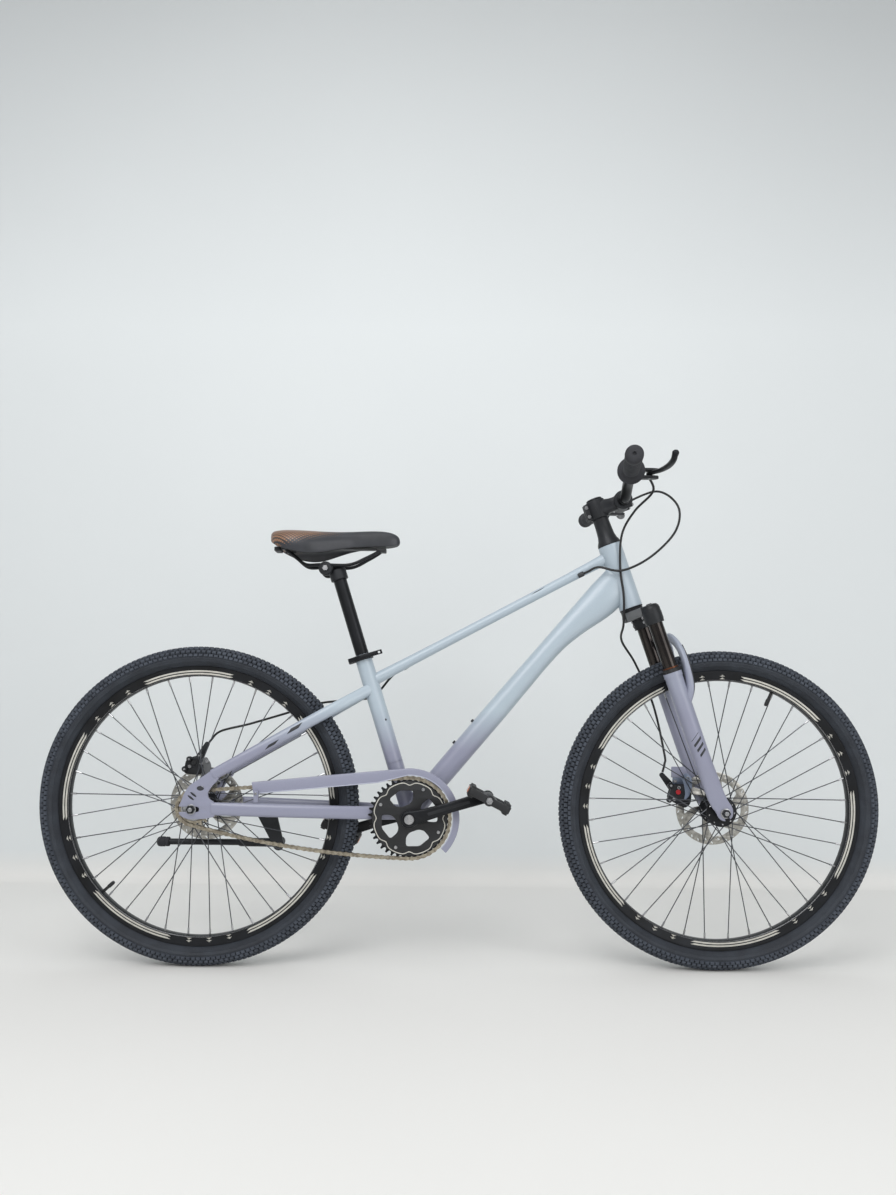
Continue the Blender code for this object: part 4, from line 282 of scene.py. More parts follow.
def member(bm, stations, mat=0, sides=24, square=2.4, reference=ACROSS, steps=5):
    """A tapering tube. A station is (centre, half width along the reference, half depth)."""
    rows = spline([(*centre, wide, deep) for centre, wide, deep in stations], steps)
    rings = []
    for i, row in enumerate(rows):
        along = (rows[min(i + 1, len(rows) - 1)] - rows[max(i - 1, 0)])
        along = Vector(along[:3]).normalized()
        across = (reference - along * reference.dot(along)).normalized()
        up = along.cross(across)
        centre = Vector(row[:3])
        rings.append([centre + across * a + up * b for a, b in oval(sides, row[3], row[4], square)])
    skin(bm, rings, mat)


def rounded(points, radius, steps=4):
    """The corners of an outline eased by arcs."""
    out = []
    count = len(points)
    for i in range(count):
        before, here, after = (Vector(points[(i + k) % count]) for k in (-1, 0, 1))
        size = min(radius, (before - here).length * 0.45, (after - here).length * 0.45)
        start = here + (before - here).normalized() * size
        end = here + (after - here).normalized() * size
        for k in range(steps + 1):
            t = k / steps
            out.append(tuple(start * (1 - t) ** 2 + here * 2 * t * (1 - t) + end * t * t))
    return out


def slab(bm, loops, thickness, matrix, mat=0, edge=0.0004):
    """A flat outline with holes, thick both ways from its plane, its edges eased."""
    curve = bpy.data.curves.new("outline", "CURVE")
    curve.dimensions = "2D"
    curve.fill_mode = "BOTH"
    curve.extrude = thickness / 2 - edge
    curve.bevel_depth = edge
    curve.bevel_resolution = 1
    curve.offset = -edge
    for loop in loops:
        line = curve.splines.new("POLY")
        line.points.add(len(loop) - 1)
        for point, (a, b) in zip(line.points, loop):
            point.co = (a, b, 0, 1)
        line.use_cyclic_u = True
    carrier = bpy.data.objects.new("outline", curve)
    mesh = bpy.data.meshes.new_from_object(carrier)
    mesh.transform(matrix)
    add_mesh(bm, mesh, mat)
    bpy.data.objects.remove(carrier)
    bpy.data.curves.remove(curve)


def side_slab(bm, loops, y_low, y_high, mat=0, edge=0.0004, centre=(0, 0, 0)):
    """An outline in the XZ plane round centre, between two Y values."""
    place = Matrix.Translation(Vector(centre) + ACROSS * (y_low + y_high) / 2) @ SIDE_ON
    slab(bm, loops, y_high - y_low, place, mat, edge)


def add_mesh(bm, mesh, mat=0):
    start = len(bm.faces)
    bm.from_mesh(mesh)
    bm.faces.ensure_lookup_table()
    for face in bm.faces[start:]:
        face.material_index = mat
        face.smooth = True
    bpy.data.meshes.remove(mesh)


def brick(bm, centre, size, mat=0, matrix=None, edge=0.0006):
    """A block with eased edges."""
    place = matrix or Matrix()
    outline = rounded([(-size[0] / 2, -size[1] / 2), (size[0] / 2, -size[1] / 2),
                       (size[0] / 2, size[1] / 2), (-size[0] / 2, size[1] / 2)], edge * 1.5, 2)
    slab(bm, [outline], size[2], place @ Matrix.Translation(centre), mat, edge)


def bolt(bm, place, axis, radius, height, mat=0):
    """A round bolt head with a round recess."""
    rod(bm, place, Vector(place) + Vector(axis) * height * 0.4, radius, mat, 20, 0.0003)
    head = [(radius, height * 0.3), (radius, height - 0.0006), (radius - 0.0006, height),
            (radius * 0.55, height), (radius * 0.5, height * 0.5), (0, height * 0.5)]
    lathe(bm, head, place, axis, mat, 24)


def hexagon_nut(bm, place, axis, radius, height, mat=0):
    lathe(bm, [(0, 0), (radius, 0), (radius, height - 0.0007), (radius * 0.9, height), (0, height)],
          place, axis, mat, 6)


def piece(name, bm, finishes, body, node_name, sharp=32, bevel=0.0):
    """Make the object, let it ride on its body, if it has one, and stand for its CAD node."""
    bmesh.ops.remove_doubles(bm, verts=bm.verts, dist=2e-6)
    bmesh.ops.recalc_face_normals(bm, faces=bm.faces)
    mesh = bpy.data.meshes.new(name)
    bm.to_mesh(mesh)
    bm.free()
    for finish in finishes:
        mesh.materials.append(FINISH[finish])
    mesh.shade_smooth()
    mesh.set_sharp_from_angle(angle=math.radians(sharp))
    obj = bpy.data.objects.new(name, mesh)
    bpy.context.scene.collection.objects.link(obj)
    if bevel:
        ease = obj.modifiers.new("ease", "BEVEL")
        ease.width = bevel
        ease.segments = 2
        ease.limit_method = "ANGLE"
        ease.angle_limit = math.radians(40)
    if body:
        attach(obj, body)
    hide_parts(node_name)
    return obj


# Node tools

def node(tree, kind, inputs=None, **settings):
    """Add one node with its settings, and set or link its inputs."""
    made = tree.nodes.new(kind)
    for name, value in settings.items():
        setattr(made, name, value)
    for name, value in (inputs or {}).items():
        if isinstance(value, bpy.types.NodeSocket):
            tree.links.new(value, made.inputs[name])
        else:
            made.inputs[name].default_value = value
    return made


def math_node(tree, operation, *values, **settings):
    """The result of one sum, with its values in order."""
    return node(tree, "ShaderNodeMath", dict(enumerate(values)), operation=operation, **settings).outputs[0]


def new_tree(name, sockets):
    """A geometry tree with its named inputs."""
    tree = bpy.data.node_groups.new(name, "GeometryNodeTree")
    tree.interface.new_socket(name="Geometry", in_out="INPUT", socket_type="NodeSocketGeometry")
    for label, kind in sockets:
        tree.interface.new_socket(name=label, in_out="INPUT", socket_type="NodeSocket" + kind)
    tree.interface.new_socket(name="Geometry", in_out="OUTPUT", socket_type="NodeSocketGeometry")
    return tree, tree.nodes.new("NodeGroupInput").outputs


def end_tree(tree, geometry, finish):
    """Make the copies real, give them their finish and send them out."""
    real = node(tree, "GeometryNodeRealizeInstances", {"Geometry": geometry})
    painted = node(tree, "GeometryNodeSetMaterial", {"Geometry": real.outputs[0], "Material": finish})
    node(tree, "NodeGroupOutput", {"Geometry": painted.outputs[0]})
    return tree


def repeat_tree():
    """Copies of the geometry, evenly round a cross axle."""
    sockets = [("Count", "Int"), ("Centre", "Vector"), ("Start", "Float"), ("Finish", "Material")]
    tree, given = new_tree("repeat round an axle", sockets)
    row = node(tree, "GeometryNodeMeshLine", {"Count": given["Count"], "Start Location": given["Centre"],
                                              "Offset": (0, 0, 0)})
    step = math_node(tree, "DIVIDE", math.tau, given["Count"])
    index = node(tree, "GeometryNodeInputIndex")
    turn = math_node(tree, "MULTIPLY_ADD", index.outputs[0], step, given["Start"])
    spin = node(tree, "ShaderNodeCombineXYZ", {"Y": turn})
    back = node(tree, "ShaderNodeVectorMath", {0: given["Centre"], "Scale": -1.0}, operation="SCALE")
    home = node(tree, "GeometryNodeTransform", {"Geometry": given["Geometry"],
                                                "Translation": back.outputs[0]})
    copies = node(tree, "GeometryNodeInstanceOnPoints", {"Points": row.outputs[0],
                                                         "Instance": home.outputs[0],
                                                         "Rotation": spin.outputs[0]})
    return end_tree(tree, copies.outputs[0], given["Finish"])


def wire_tree():
    """A round wire along every edge."""
    tree, given = new_tree("wire to tube", [("Radius", "Float"), ("Sides", "Int"), ("Finish", "Material")])
    line = node(tree, "GeometryNodeMeshToCurve", {"Mesh": given["Geometry"]})
    section = node(tree, "GeometryNodeCurvePrimitiveCircle", {"Resolution": given["Sides"],
                                                              "Radius": given["Radius"]})
    wire = node(tree, "GeometryNodeCurveToMesh", {"Curve": line.outputs[0],
                                                  "Profile Curve": section.outputs[0],
                                                  "Fill Caps": True})
    return end_tree(tree, wire.outputs[0], given["Finish"])


def links_tree():
    """One link on every point, turned about Y by the point's own turn."""
    tree, given = new_tree("links on pins", [("Link", "Object"), ("Finish", "Material")])
    turn = node(tree, "GeometryNodeInputNamedAttribute", {"Name": "turn"}, data_type="FLOAT")
    spin = node(tree, "ShaderNodeCombineXYZ", {"Y": turn.outputs[0]})
    link = node(tree, "GeometryNodeObjectInfo", {"Object": given["Link"]})
    copies = node(tree, "GeometryNodeInstanceOnPoints", {"Points": given["Geometry"],
                                                         "Instance": link.outputs["Geometry"],
                                                         "Rotation": spin.outputs[0]})
    return end_tree(tree, copies.outputs[0], given["Finish"])


def grow(tree, source, values):
    """Run a tree on a mesh and return the plain mesh that comes out."""
    carrier = bpy.data.objects.new("carrier", source)
    bpy.context.scene.collection.objects.link(carrier)
    modifier = carrier.modifiers.new("grow", "NODES")
    modifier.node_group = tree
    for item in tree.interface.items_tree:
        if item.item_type == "SOCKET" and item.in_out == "INPUT" and item.name in values:
            modifier[item.identifier] = values[item.name]
    bpy.context.view_layer.update()
    graph = bpy.context.evaluated_depsgraph_get()
    mesh = bpy.data.meshes.new_from_object(carrier.evaluated_get(graph))
    bpy.data.objects.remove(carrier, do_unlink=True)
    bpy.data.meshes.remove(source)
    return mesh


def plain_mesh(bm, name="pattern"):
    mesh = bpy.data.meshes.new(name)
    bm.to_mesh(mesh)
    bm.free()
    return mesh


def repeat(bm, pattern, count, centre, finish, mat=0, start=0.0):
    """Add a pattern's copies round a cross axle."""
    values = {"Count": count, "Centre": tuple(centre), "Start": start, "Finish": FINISH[finish]}
    add_mesh(bm, grow(REPEAT, plain_mesh(pattern), values), mat)


def wires(bm, lines, radius, finish, mat=0, sides=8):
    """Add a round wire along each run of points."""
    paths = bmesh.new()
    for line in lines:
        verts = [paths.verts.new(p) for p in line]
        for a, b in zip(verts, verts[1:]):
            paths.edges.new((a, b))
    values = {"Radius": radius, "Sides": sides, "Finish": FINISH[finish]}
    add_mesh(bm, grow(WIRE, plain_mesh(paths), values), mat)


REPEAT = repeat_tree()
WIRE = wire_tree()
LINKS = links_tree()


# Finishes

def srgb(colour):
    """A linear colour from sRGB hex."""
    parts = [int(colour[i:i + 2], 16) / 255 for i in (1, 3, 5)]
    return tuple(p / 12.92 if p <= 0.04045 else ((p + 0.055) / 1.055) ** 2.4 for p in parts) + (1.0,)


def surface(name, metallic=0.0, coat=0.0):
    """A new material, its shader and its place on the piece."""
    made = bpy.data.materials.new(name)
    made.use_nodes = True
    tree = made.node_tree
    shader = tree.nodes["Principled BSDF"]
    shader.inputs["Metallic"].default_value = metallic
    shader.inputs["Coat Weight"].default_value = coat
    shader.inputs["Coat Roughness"].default_value = 0.15
    return made, tree, shader, node(tree, "ShaderNodeTexCoord").outputs["Object"]


def blend_colours(tree, factor, first, second, blend="MIX"):
    made = node(tree, "ShaderNodeMix", {0: factor, 6: first, 7: second}, data_type="RGBA", blend_type=blend)
    return made.outputs[2]


def noise(tree, where, size_mm, detail=2.0):
    """Noise whose blotches are about size_mm across."""
    inputs = {"Vector": where, "Scale": 1000.0 / size_mm, "Detail": detail}
    return node(tree, "ShaderNodeTexNoise", inputs).outputs[0]


def remap(tree, value, low, high, from_low=0.35, from_high=0.65):
    return node(tree, "ShaderNodeMapRange", {0: value, 1: from_low, 2: from_high, 3: low, 4: high}).outputs[0]


def relief(tree, shader, height, depth_mm, strength=0.6):
    made = node(tree, "ShaderNodeBump", {"Height": height, "Distance": depth_mm / 1000, "Strength": strength})
    tree.links.new(made.outputs[0], shader.inputs["Normal"])


def mottled(name, colour, second, metallic, roughness, blotch_mm, grain_mm, depth_mm, coat=0.0):
    """A plain finish with soft shifts of tone, a grain in its gloss and a fine relief."""
    made, tree, shader, where = surface(name, metallic, coat)
    tone = remap(tree, noise(tree, where, blotch_mm, 3.0), 0.0, 1.0)
    tree.links.new(blend_colours(tree, tone, srgb(colour), srgb(second)), shader.inputs["Base Color"])
    grain = noise(tree, where, grain_mm)
    tree.links.new(remap(tree, grain, roughness * 0.85, roughness * 1.15), shader.inputs["Roughness"])
    relief(tree, shader, grain, depth_mm)
    return made


def satin_paint(name, upper, lower, low, high):
    """Satin metallic enamel on aluminium, ice blue above one height and lavender below another."""
    made, tree, shader, where = surface(name, 0.0, coat=0.25)
    height = node(tree, "ShaderNodeSeparateXYZ", {0: where}).outputs["Z"]
    drift = remap(tree, noise(tree, where, 240.0, 1.0), -0.012, 0.012)
    level = math_node(tree, "ADD", height, drift)
    share = remap(tree, level, 0.0, 1.0, low, high)
    base = blend_colours(tree, share, lower, upper)
    flake = node(tree, "ShaderNodeTexVoronoi", {"Vector": where, "Scale": 1400.0}).outputs["Distance"]
    speck = remap(tree, flake, 0.94, 1.06, 0.0, 0.7)
    tree.links.new(blend_colours(tree, 1.0, base, speck, "MULTIPLY"), shader.inputs["Base Color"])
    peel = noise(tree, where, 2.5)
    tree.links.new(remap(tree, peel, 0.30, 0.38), shader.inputs["Roughness"])
    relief(tree, shader, peel, 0.01, 0.3)
    return made


PAINT_LOW = 0.470
PAINT_HIGH = 0.560
FINISH = {}


def make_finishes():
    """Every finish, once, by the name of what it is."""
    looks = bpy.context.scene.bike_colours
    paint_upper = (*looks.paint_upper, 1.0)
    paint_lower = (*looks.paint_lower, 1.0)
    # Sprayed enamel: soft highlights, a hint of metal flake and faint orange peel
    FINISH["paint"] = satin_paint("satin_enamel", paint_upper, paint_lower, PAINT_LOW, PAINT_HIGH)
    # The fork has the lower colour all over, a little paler at its arch
    FINISH["leg_paint"] = satin_paint("lavender_enamel", paint_upper, paint_lower, 0.55, 1.00)
    # Butyl tyre rubber: dull slate, greyer where it is dusty, with a fine moulded grain
    FINISH["rubber"] = mottled("tyre_rubber", "#292D34", "#32373F", 0.0, 0.72, 35, 1.2, 0.05)
    # Tread blocks in a lighter copy of the tyre rubber: painted highlight on the knobs
    FINISH["tread"] = mottled("knob_rubber_painted_highlight", "#373C45", "#474D57", 0.0, 0.80, 22, 1.0, 0.06)
    # The carcass between the knobs in a darker copy of the tyre rubber: painted shade between the tread
    # blocks
    FINISH["painted_gap_shade"] = mottled("rubber_with_painted_gap_shade", "#15181D", "#1C2026", 0.0, 0.88, 22, 1.0, 0.06)
    # Black anodised aluminium: dark metal with a soft wide gloss
    FINISH["anodised"] = mottled("black_anodised_aluminium", "#17181A", "#202226", 0.6, 0.38, 60, 0.8, 0.01)
    FINISH["cast"] = mottled("black_cast_alloy", "#1B1D20", "#26282C", 0.3, 0.46, 45, 0.9, 0.03)
    FINISH["grey_cast"] = mottled("grey_painted_cast_alloy", "#686A6C", "#747678", 0.2, 0.42, 50, 0.9, 0.02)
    # Bright zinc or nickel on steel: clear highlights, slightly clouded
    FINISH["steel"] = mottled("bright_zinc_steel", "#B9B9BA", "#9C9DA0", 1.0, 0.28, 12, 0.6, 0.01)
    FINISH["dark_steel"] = mottled("dark_spoke_steel", "#4A4C50", "#5A5C60", 1.0, 0.35, 20, 0.8, 0.01)
    # Stamped and ground rotor steel: fine scratches from the pads
    FINISH["rotor"] = mottled("ground_rotor_steel", "#B4B2AC", "#96948E", 1.0, 0.32, 8, 0.5, 0.015)
    # Bronzed chain steel: warm tan metal with a film of oil
    FINISH["chain"] = mottled("oiled_chain_steel", "#B3AB9A", "#857D70", 1.0, 0.34, 6, 0.7, 0.02)
    # Hard dark chrome: nearly a mirror, brownish
    FINISH["stanchion"] = mottled("dark_chrome", "#3F3B39", "#353231", 1.0, 0.16, 40, 1.5, 0.004)
    # Moulded nylon: dull black with a slight sheen
    FINISH["plastic"] = mottled("moulded_black_nylon", "#17181A", "#1E1F22", 0.0, 0.52, 30, 0.9, 0.03)
    FINISH["housing"] = mottled("cable_housing_vinyl", "#131315", "#1A1A1C", 0.0, 0.42, 25, 1.0, 0.02)
    # Soft grip rubber: matt charcoal
    FINISH["grip"] = mottled("grip_rubber", "#2A2B2F", "#323338", 0.0, 0.80, 18, 0.9, 0.06)
    FINISH["decal"] = mottled("silver_cream_print", "#C9C7BE", "#B8B6AE", 0.0, 0.38, 15, 0.8, 0.005)
    # Black print, also used for the black sheet in the end plates' holes, which is painted shade
    FINISH["print"] = mottled("black_print_and_painted_hole_shade", "#26282C", "#303236", 0.0, 0.45, 15, 0.8, 0.005)
    FINISH["amber"] = mottled("amber_reflector_acrylic", "#D2711B", "#B85C12", 0.0, 0.18, 6, 2.2, 0.12,
                              coat=0.6)
    FINISH["red"] = mottled("red_nylon", "#B3202A", "#A01A24", 0.0, 0.40, 10, 0.8, 0.02)
    FINISH["copper"] = mottled("copper_bushing", "#7A4F3A", "#5E3D2E", 1.0, 0.35, 6, 0.6, 0.01)
    FINISH["blue_grey"] = mottled("blue_grey_alloy", "#7C879A", "#6C7688", 0.4, 0.40, 15, 0.8, 0.01)
    FINISH["saddle"] = saddle_vinyl()
    # The chain guard's lower hem in a lighter enamel: painted highlight along its edge
    FINISH["lip"] = mottled("hem_painted_highlight_enamel", "#B9BCCB", "#AEB2C4", 0.0, 0.36, 60, 2.0, 0.01, coat=0.2)


# Wheels

TREAD_PITCHES = 188
PAINTED_SHADE_RADIUS = 0.3235
SPOKE_TIP_RADIUS = 0.2785
RIM_FACE_Y = 0.0119
# the carcass's half section as (radius, distance from the middle), for a tyre of this radius over its knobs
CARCASS_TYRE_RADIUS = 0.34311
CARCASS = [(0.3396, 0.0), (0.3391, 0.0065), (0.3374, 0.0125), (0.3340, 0.0185), (0.3290, 0.0232),
           (0.3225, 0.0258), (0.3165, 0.0257), (0.3162, 0.0261), (0.3155, 0.0256), (0.3105, 0.0232),
           (0.3102, 0.0236), (0.3095, 0.0226), (0.3050, 0.0178), (0.3022, 0.0140), (0.3010, 0.0112)]


def knob(bm, radius, y, lean, long, wide, tall):
    """One tread block on the carcass at the top of the wheel, leaning over by its row's angle."""
    place = Matrix.Translation((0, y, radius)) @ Matrix.Rotation(-lean, 4, "X")
    corners = ((-1, -1), (1, -1), (1, 1), (-1, 1))
    # share of the length, share of the width and height above the carcass
    levels = ((0.50, 0.50, -0.0022), (0.47, 0.46, tall - 0.0007), (0.38, 0.38, tall))
    skin(bm, [[place @ Vector((a * long * u, b * wide * v, up)) for a, b in corners] for u, v, up in levels])


def tyre(end, centre):
    """Smooth carcass with ring lines, and five kinds of tread block in two staggered sets."""
    scale = TYRE_RADIUS / CARCASS_TYRE_RADIUS
    bm = bmesh.new()
    half = [(r * scale, y) for r, y in CARCASS]
    lathe(bm, half + [(r, -y) for r, y in reversed(half[1:])], centre, ACROSS, 0, 150, closed=True)
    # the carcass's crown, between the knobs, takes the darker finish: painted shade between the blocks
    for face in bm.faces:
        away = face.calc_center_median() - centre
        if math.hypot(away.x, away.z) > PAINTED_SHADE_RADIUS * scale:
            face.material_index = 2
    knob_height = bpy.context.scene.bike_wheels.knob_height
    top = TYRE_RADIUS - knob_height
    # radius below the crown, distance from the middle, lean, length, width and share of the height
    rows = [[(0.0000, 0.0000, 0.00, 0.0080, 0.0072, 1.0), (0.0008, 0.0084, 0.16, 0.0078, 0.0064, 1.0),
             (0.0094, 0.0232, 0.80, 0.0086, 0.0072, 1.0)],
            [(0.0036, 0.0162, 0.42, 0.0082, 0.0062, 1.0), (0.0163, 0.0266, 1.30, 0.0090, 0.0062, 0.7)]]
    for kind, blocks in enumerate(rows):
        pattern = bmesh.new()
        for below, y, lean, long, wide, share in blocks:
            for side in (RIGHT, LEFT) if y else (LEFT,):
                knob(pattern, top - below, side * y, side * lean, long, wide, knob_height * share)
        bmesh.ops.translate(pattern, vec=centre, verts=pattern.verts)
        # the knobs take the lighter tread finish, a painted highlight
        repeat(bm, pattern, TREAD_PITCHES, centre, "tread", 1, kind * math.pi / TREAD_PITCHES)
    piece(end + "_tyre_skin", bm, ["rubber", "tread", "painted_gap_shade"], end + "_wheel", end + "_tyre",
          38)


def arc_band(low, high, start, sweep, steps=24):
    """An outline between two radii over an angle, its ends cut on a slant."""
    slant = math.radians(1.6)
    outer = [polar(high, start + sweep * i / steps) for i in range(steps + 1)]
    inner = [polar(low, start + slant + (sweep - 2 * slant) * i / steps) for i in range(steps + 1)]
    return outer + inner[::-1]


def rim(end, centre):
    """Black rim, its printed arcs and dots on both sides, and a bright machined inner edge."""
    bm = bmesh.new()
    phase = math.radians(getattr(bpy.context.scene.bike_wheels, end + "_phase"))
    half = [(0.2905, 0.0), (0.2905, 0.0098), (RIM_RADIUS - 0.0006, 0.0098), (RIM_RADIUS, 0.0104),
            (RIM_RADIUS, 0.0117), (RIM_RADIUS - 0.0006, 0.0121), (0.2960, 0.0121), (0.2954, 0.0118),
            (0.2820, 0.0118), (0.2806, 0.0111), (0.2793, 0.0086), (0.2789, 0.0)]
    lathe(bm, half + [(r, -y) for r, y in reversed(half[1:-1])], centre, ACROSS, 0, 180, closed=True)
    for side in (RIGHT, LEFT):
        edge = side * 0.0112
        lathe(bm, [(0.2816, edge), (0.2811, edge + side * 0.0003), (0.2801, edge - side * 0.0008),
                   (0.2806, edge - side * 0.0012)], centre, ACROSS, 2, 180, closed=True)
        bands = bmesh.new()
        low, high = sorted((side * (RIM_FACE_Y - 0.0004), side * (RIM_FACE_Y + 0.00015)))
        for inner, outer in ((0.2828, 0.2862), (0.2884, 0.2918)):
            outline = arc_band(inner, outer, 0.0, math.radians(39))
            side_slab(bands, [outline], low, high, edge=0.00005, centre=centre)
        repeat(bm, bands, 5, centre, "decal", 1, -phase)
        for shift in (-8.65, 0.0, 8.65):
            dots = bmesh.new()
            for radius in (0.2845, 0.2901):
                outline = arc_band(radius - 0.0017, radius + 0.0017, -0.0066, 0.0132, 2)
                side_slab(dots, [outline], low, high, edge=0.00005, centre=centre)
            repeat(bm, dots, 5, centre, "decal", 1, -phase + math.radians(16.5 - shift))
    piece(end + "_rim_skin", bm, ["anodised", "decal", "steel"], end + "_wheel", end + "_rim",
          sharp=30)


def spoke_lines(centre, right_flange, left_flange):
    """Three-cross lacing: on each flange every second spoke leads and the others trail."""
    per_side = 18
    step = math.tau / per_side
    lines = []
    for side, flange in ((RIGHT, right_flange), (LEFT, left_flange)):
        for k in range(per_side):
            leads = 1 if k % 2 == 0 else -1
            angle = step * (k + (0.25 if side == LEFT else -0.25))
            rim_angle = angle + leads * 3 * step
            layer = leads * side * 0.0012
            start = HUB_FLANGE_RADIUS - 0.004
            lines.append([centre + radial(start, angle, flange + layer),
                          centre + radial(SPOKE_TIP_RADIUS, rim_angle, side * 0.003 + layer)])
    return lines


def wheel_hub(end, centre, half_width, flange_y, rotor_y, core):
    """Turned hub shell with two flanges, and laced spokes with bright heads and nipples."""
    bm = bmesh.new()
    right, left = -flange_y, flange_y
    barrel = 0.0165
    flange = HUB_FLANGE_RADIUS + 0.0012
    edge = [(flange - 0.0006, -0.0018), (flange, -0.0010), (flange, 0.0010), (flange - 0.0006, 0.0018)]
    waist = [(0.0225, 0.0030), (barrel + 0.001, 0.0080), (barrel, 0.0130)]
    profile = [(0.0056, -half_width), (core - 0.001, -half_width), (core, -half_width + 0.001),
               (core, right - 0.0040), (0.0190, right - 0.0032)]
    profile += [(radius, right + along) for radius, along in edge + waist]
    profile += [(radius, left - along) for radius, along in waist[::-1]]
    profile += [(radius, left + along) for radius, along in edge]
    profile += [(0.0215, left + 0.0034), (0.0215, rotor_y - 0.0012), (0.0150, rotor_y - 0.0012),
                (0.0150, rotor_y + 0.0018), (0.0100, rotor_y + 0.0026), (0.0100, half_width - 0.0003),
                (0.0056, half_width - 0.0003)]
    lathe(bm, profile, centre, ACROSS, 0, 48, closed=True)
    lines = spoke_lines(centre, right, left)
    thick = bpy.context.scene.bike_wheels.spoke_diameter
    wires(bm, lines, thick / 2, "dark_steel", 1, 8)
    tips = []
    heads = []
    for low, high in lines:
        along = (high - low).normalized()
        tips.append([high - along * 0.0125, high + along * 0.0004])
        heads.append([low - along * 0.0018, low + along * 0.0012])
    wires(bm, tips, 0.0021, "steel", 2, 8)
    wires(bm, heads, 0.0017, "steel", 2, 8)
    piece(end + "_hub_and_spokes", bm, ["anodised", "dark_steel", "steel"], end + "_wheel", end + "_hub",
          sharp=30)


def rotor(end, centre, y):
    """Ground brake disc: a slotted ring on six swept arms, and six bolts."""
    bm = bmesh.new()
    loops = [ring_points(ROTOR_RADIUS, 96), ring_points(0.0158, 40)]
    arms = 6
    for k in range(arms):
        turn = math.tau * k / arms
        window = [(0.0275, 0.14), (0.0275, 0.86), (0.0450, 1.02), (0.0628, 1.26), (0.0636, 0.92),
                  (0.0628, 0.56), (0.0450, 0.34)]
        loops.append(rounded([polar(r, turn + a) for r, a in window], 0.004, 4))
        for m in range(5):
            middle = turn + math.tau / arms * (m + 0.5) / 5
            radius = 0.0690 if m % 2 else 0.0752
            loops.append(leaning_oval(polar(radius, middle), 0.0034, 0.0014, middle + 0.8, 12))
    side_slab(bm, loops, y - 0.0009, y + 0.0009, 0, 0.0002, centre)
    screws = bmesh.new()
    bolt(screws, centre + Vector((0.0215, y + 0.0008, 0)), ACROSS, 0.0036, 0.0022)
    repeat(bm, screws, arms, centre, "cast", 1)
    piece(end + "_rotor_disc", bm, ["rotor", "cast"], end + "_wheel", end + "_rotor")


def axle(end, centre, nut_y):
    """Plain axle, with a washer and a nut near each end."""
    bm = bmesh.new()
    reach = nut_y + 0.0113
    rod(bm, centre - ACROSS * reach, centre + ACROSS * reach, 0.0047, 0, 24, 0.0008)
    for side in (RIGHT, LEFT):
        out = ACROSS * side
        start = centre + out * (nut_y + 0.0003)
        washer = [(0.0050, 0), (0.0104, 0), (0.0108, 0.0004), (0.0106, 0.0012), (0.0095, 0.0016),
                  (0.0050, 0.0016)]
        lathe(bm, washer, start, out, 0, 36, closed=True)
        hexagon_nut(bm, start + out * 0.0014, out, 0.0093, 0.0066, 1)
    node_name = end + "_axle"
    piece(node_name + "_and_nuts", bm, ["steel", "cast"], BODY_OF[node_name], node_name,
          bevel=0.0003)


def valve(end, centre, rim_side):
    """Rubber-covered tube valve under a black cap."""
    out = radial(1, math.tau * (rim_side + 0.5) / CAD_RIM_SIDES)
    bm = bmesh.new()
    seat = centre + out * 0.2786
    lathe(bm, [(0, 0), (0.0033, 0), (0.0033, 0.014), (0.0026, 0.016), (0, 0.016)], seat, -out, 0, 20)
    cap = [(0, 0.0155), (0.0040, 0.0155), (0.0042, 0.018), (0.0040, 0.027), (0.0030, 0.0308), (0, 0.0314)]
    lathe(bm, cap, seat, -out, 1, 20)
    piece(end + "_valve_and_cap", bm, ["housing", "plastic"], end + "_wheel", end + "_valve")


# each wheel's centre, hub sizes, places of disc and nuts, and the side of the CAD rim that has the valve
CAD_RIM_SIDES = 30
WHEELS = {
    "front": {"centre": FRONT_AXLE, "half_width": FRONT_HUB_HALF, "flange_y": 0.0285, "core": 0.0100,
              "rotor_y": FRONT_ROTOR_Y, "nut_y": 0.059, "valve_side": 5},
    "rear": {"centre": REAR_AXLE, "half_width": REAR_HUB_HALF, "flange_y": 0.0330, "core": 0.0116,
             "rotor_y": REAR_ROTOR_Y, "nut_y": DROPOUT_OUTER_Y, "valve_side": 18},
}


def wheel(end):
    """Every piece of one wheel."""
    size = WHEELS[end]
    centre = size["centre"]
    tyre(end, centre)
    rim(end, centre)
    wheel_hub(end, centre, size["half_width"], size["flange_y"], size["rotor_y"], size["core"])
    rotor(end, centre, size["rotor_y"])
    axle(end, centre, size["nut_y"])
    valve(end, centre, size["valve_side"])


# Frame

TOP_TUBE_FRONT = HEAD_TOP - STEER_UP * 0.022
TOP_TUBE_REAR = SEAT_TOP - SEAT_UP * 0.061
TOP_ALONG = (TOP_TUBE_FRONT - TOP_TUBE_REAR).normalized()
TOP_UNDER = Vector((TOP_ALONG.z, 0, -TOP_ALONG.x))
SEATSTAY_START = SEAT_TOP - SEAT_UP * 0.075
SEATSTAY_END = REAR_AXLE + Vector((0.044, 0, 0.072))
CHAINSTAY_START = BB + Vector((-0.006, 0, 0.007))
CHAINSTAY_END = REAR_AXLE + Vector((0.042, 0, 0.0014))


def cable_port(behind, right, below):
    """Near the front port: along the top tube toward the seat, to the right of its axis and below it."""
    return TOP_TUBE_FRONT - TOP_ALONG * (0.080 + behind) - ACROSS * right + TOP_UNDER * below


def cable_exit(behind, left, below):
    return TOP_TUBE_REAR + TOP_ALONG * (0.080 - behind) + ACROSS * left + TOP_UNDER * below


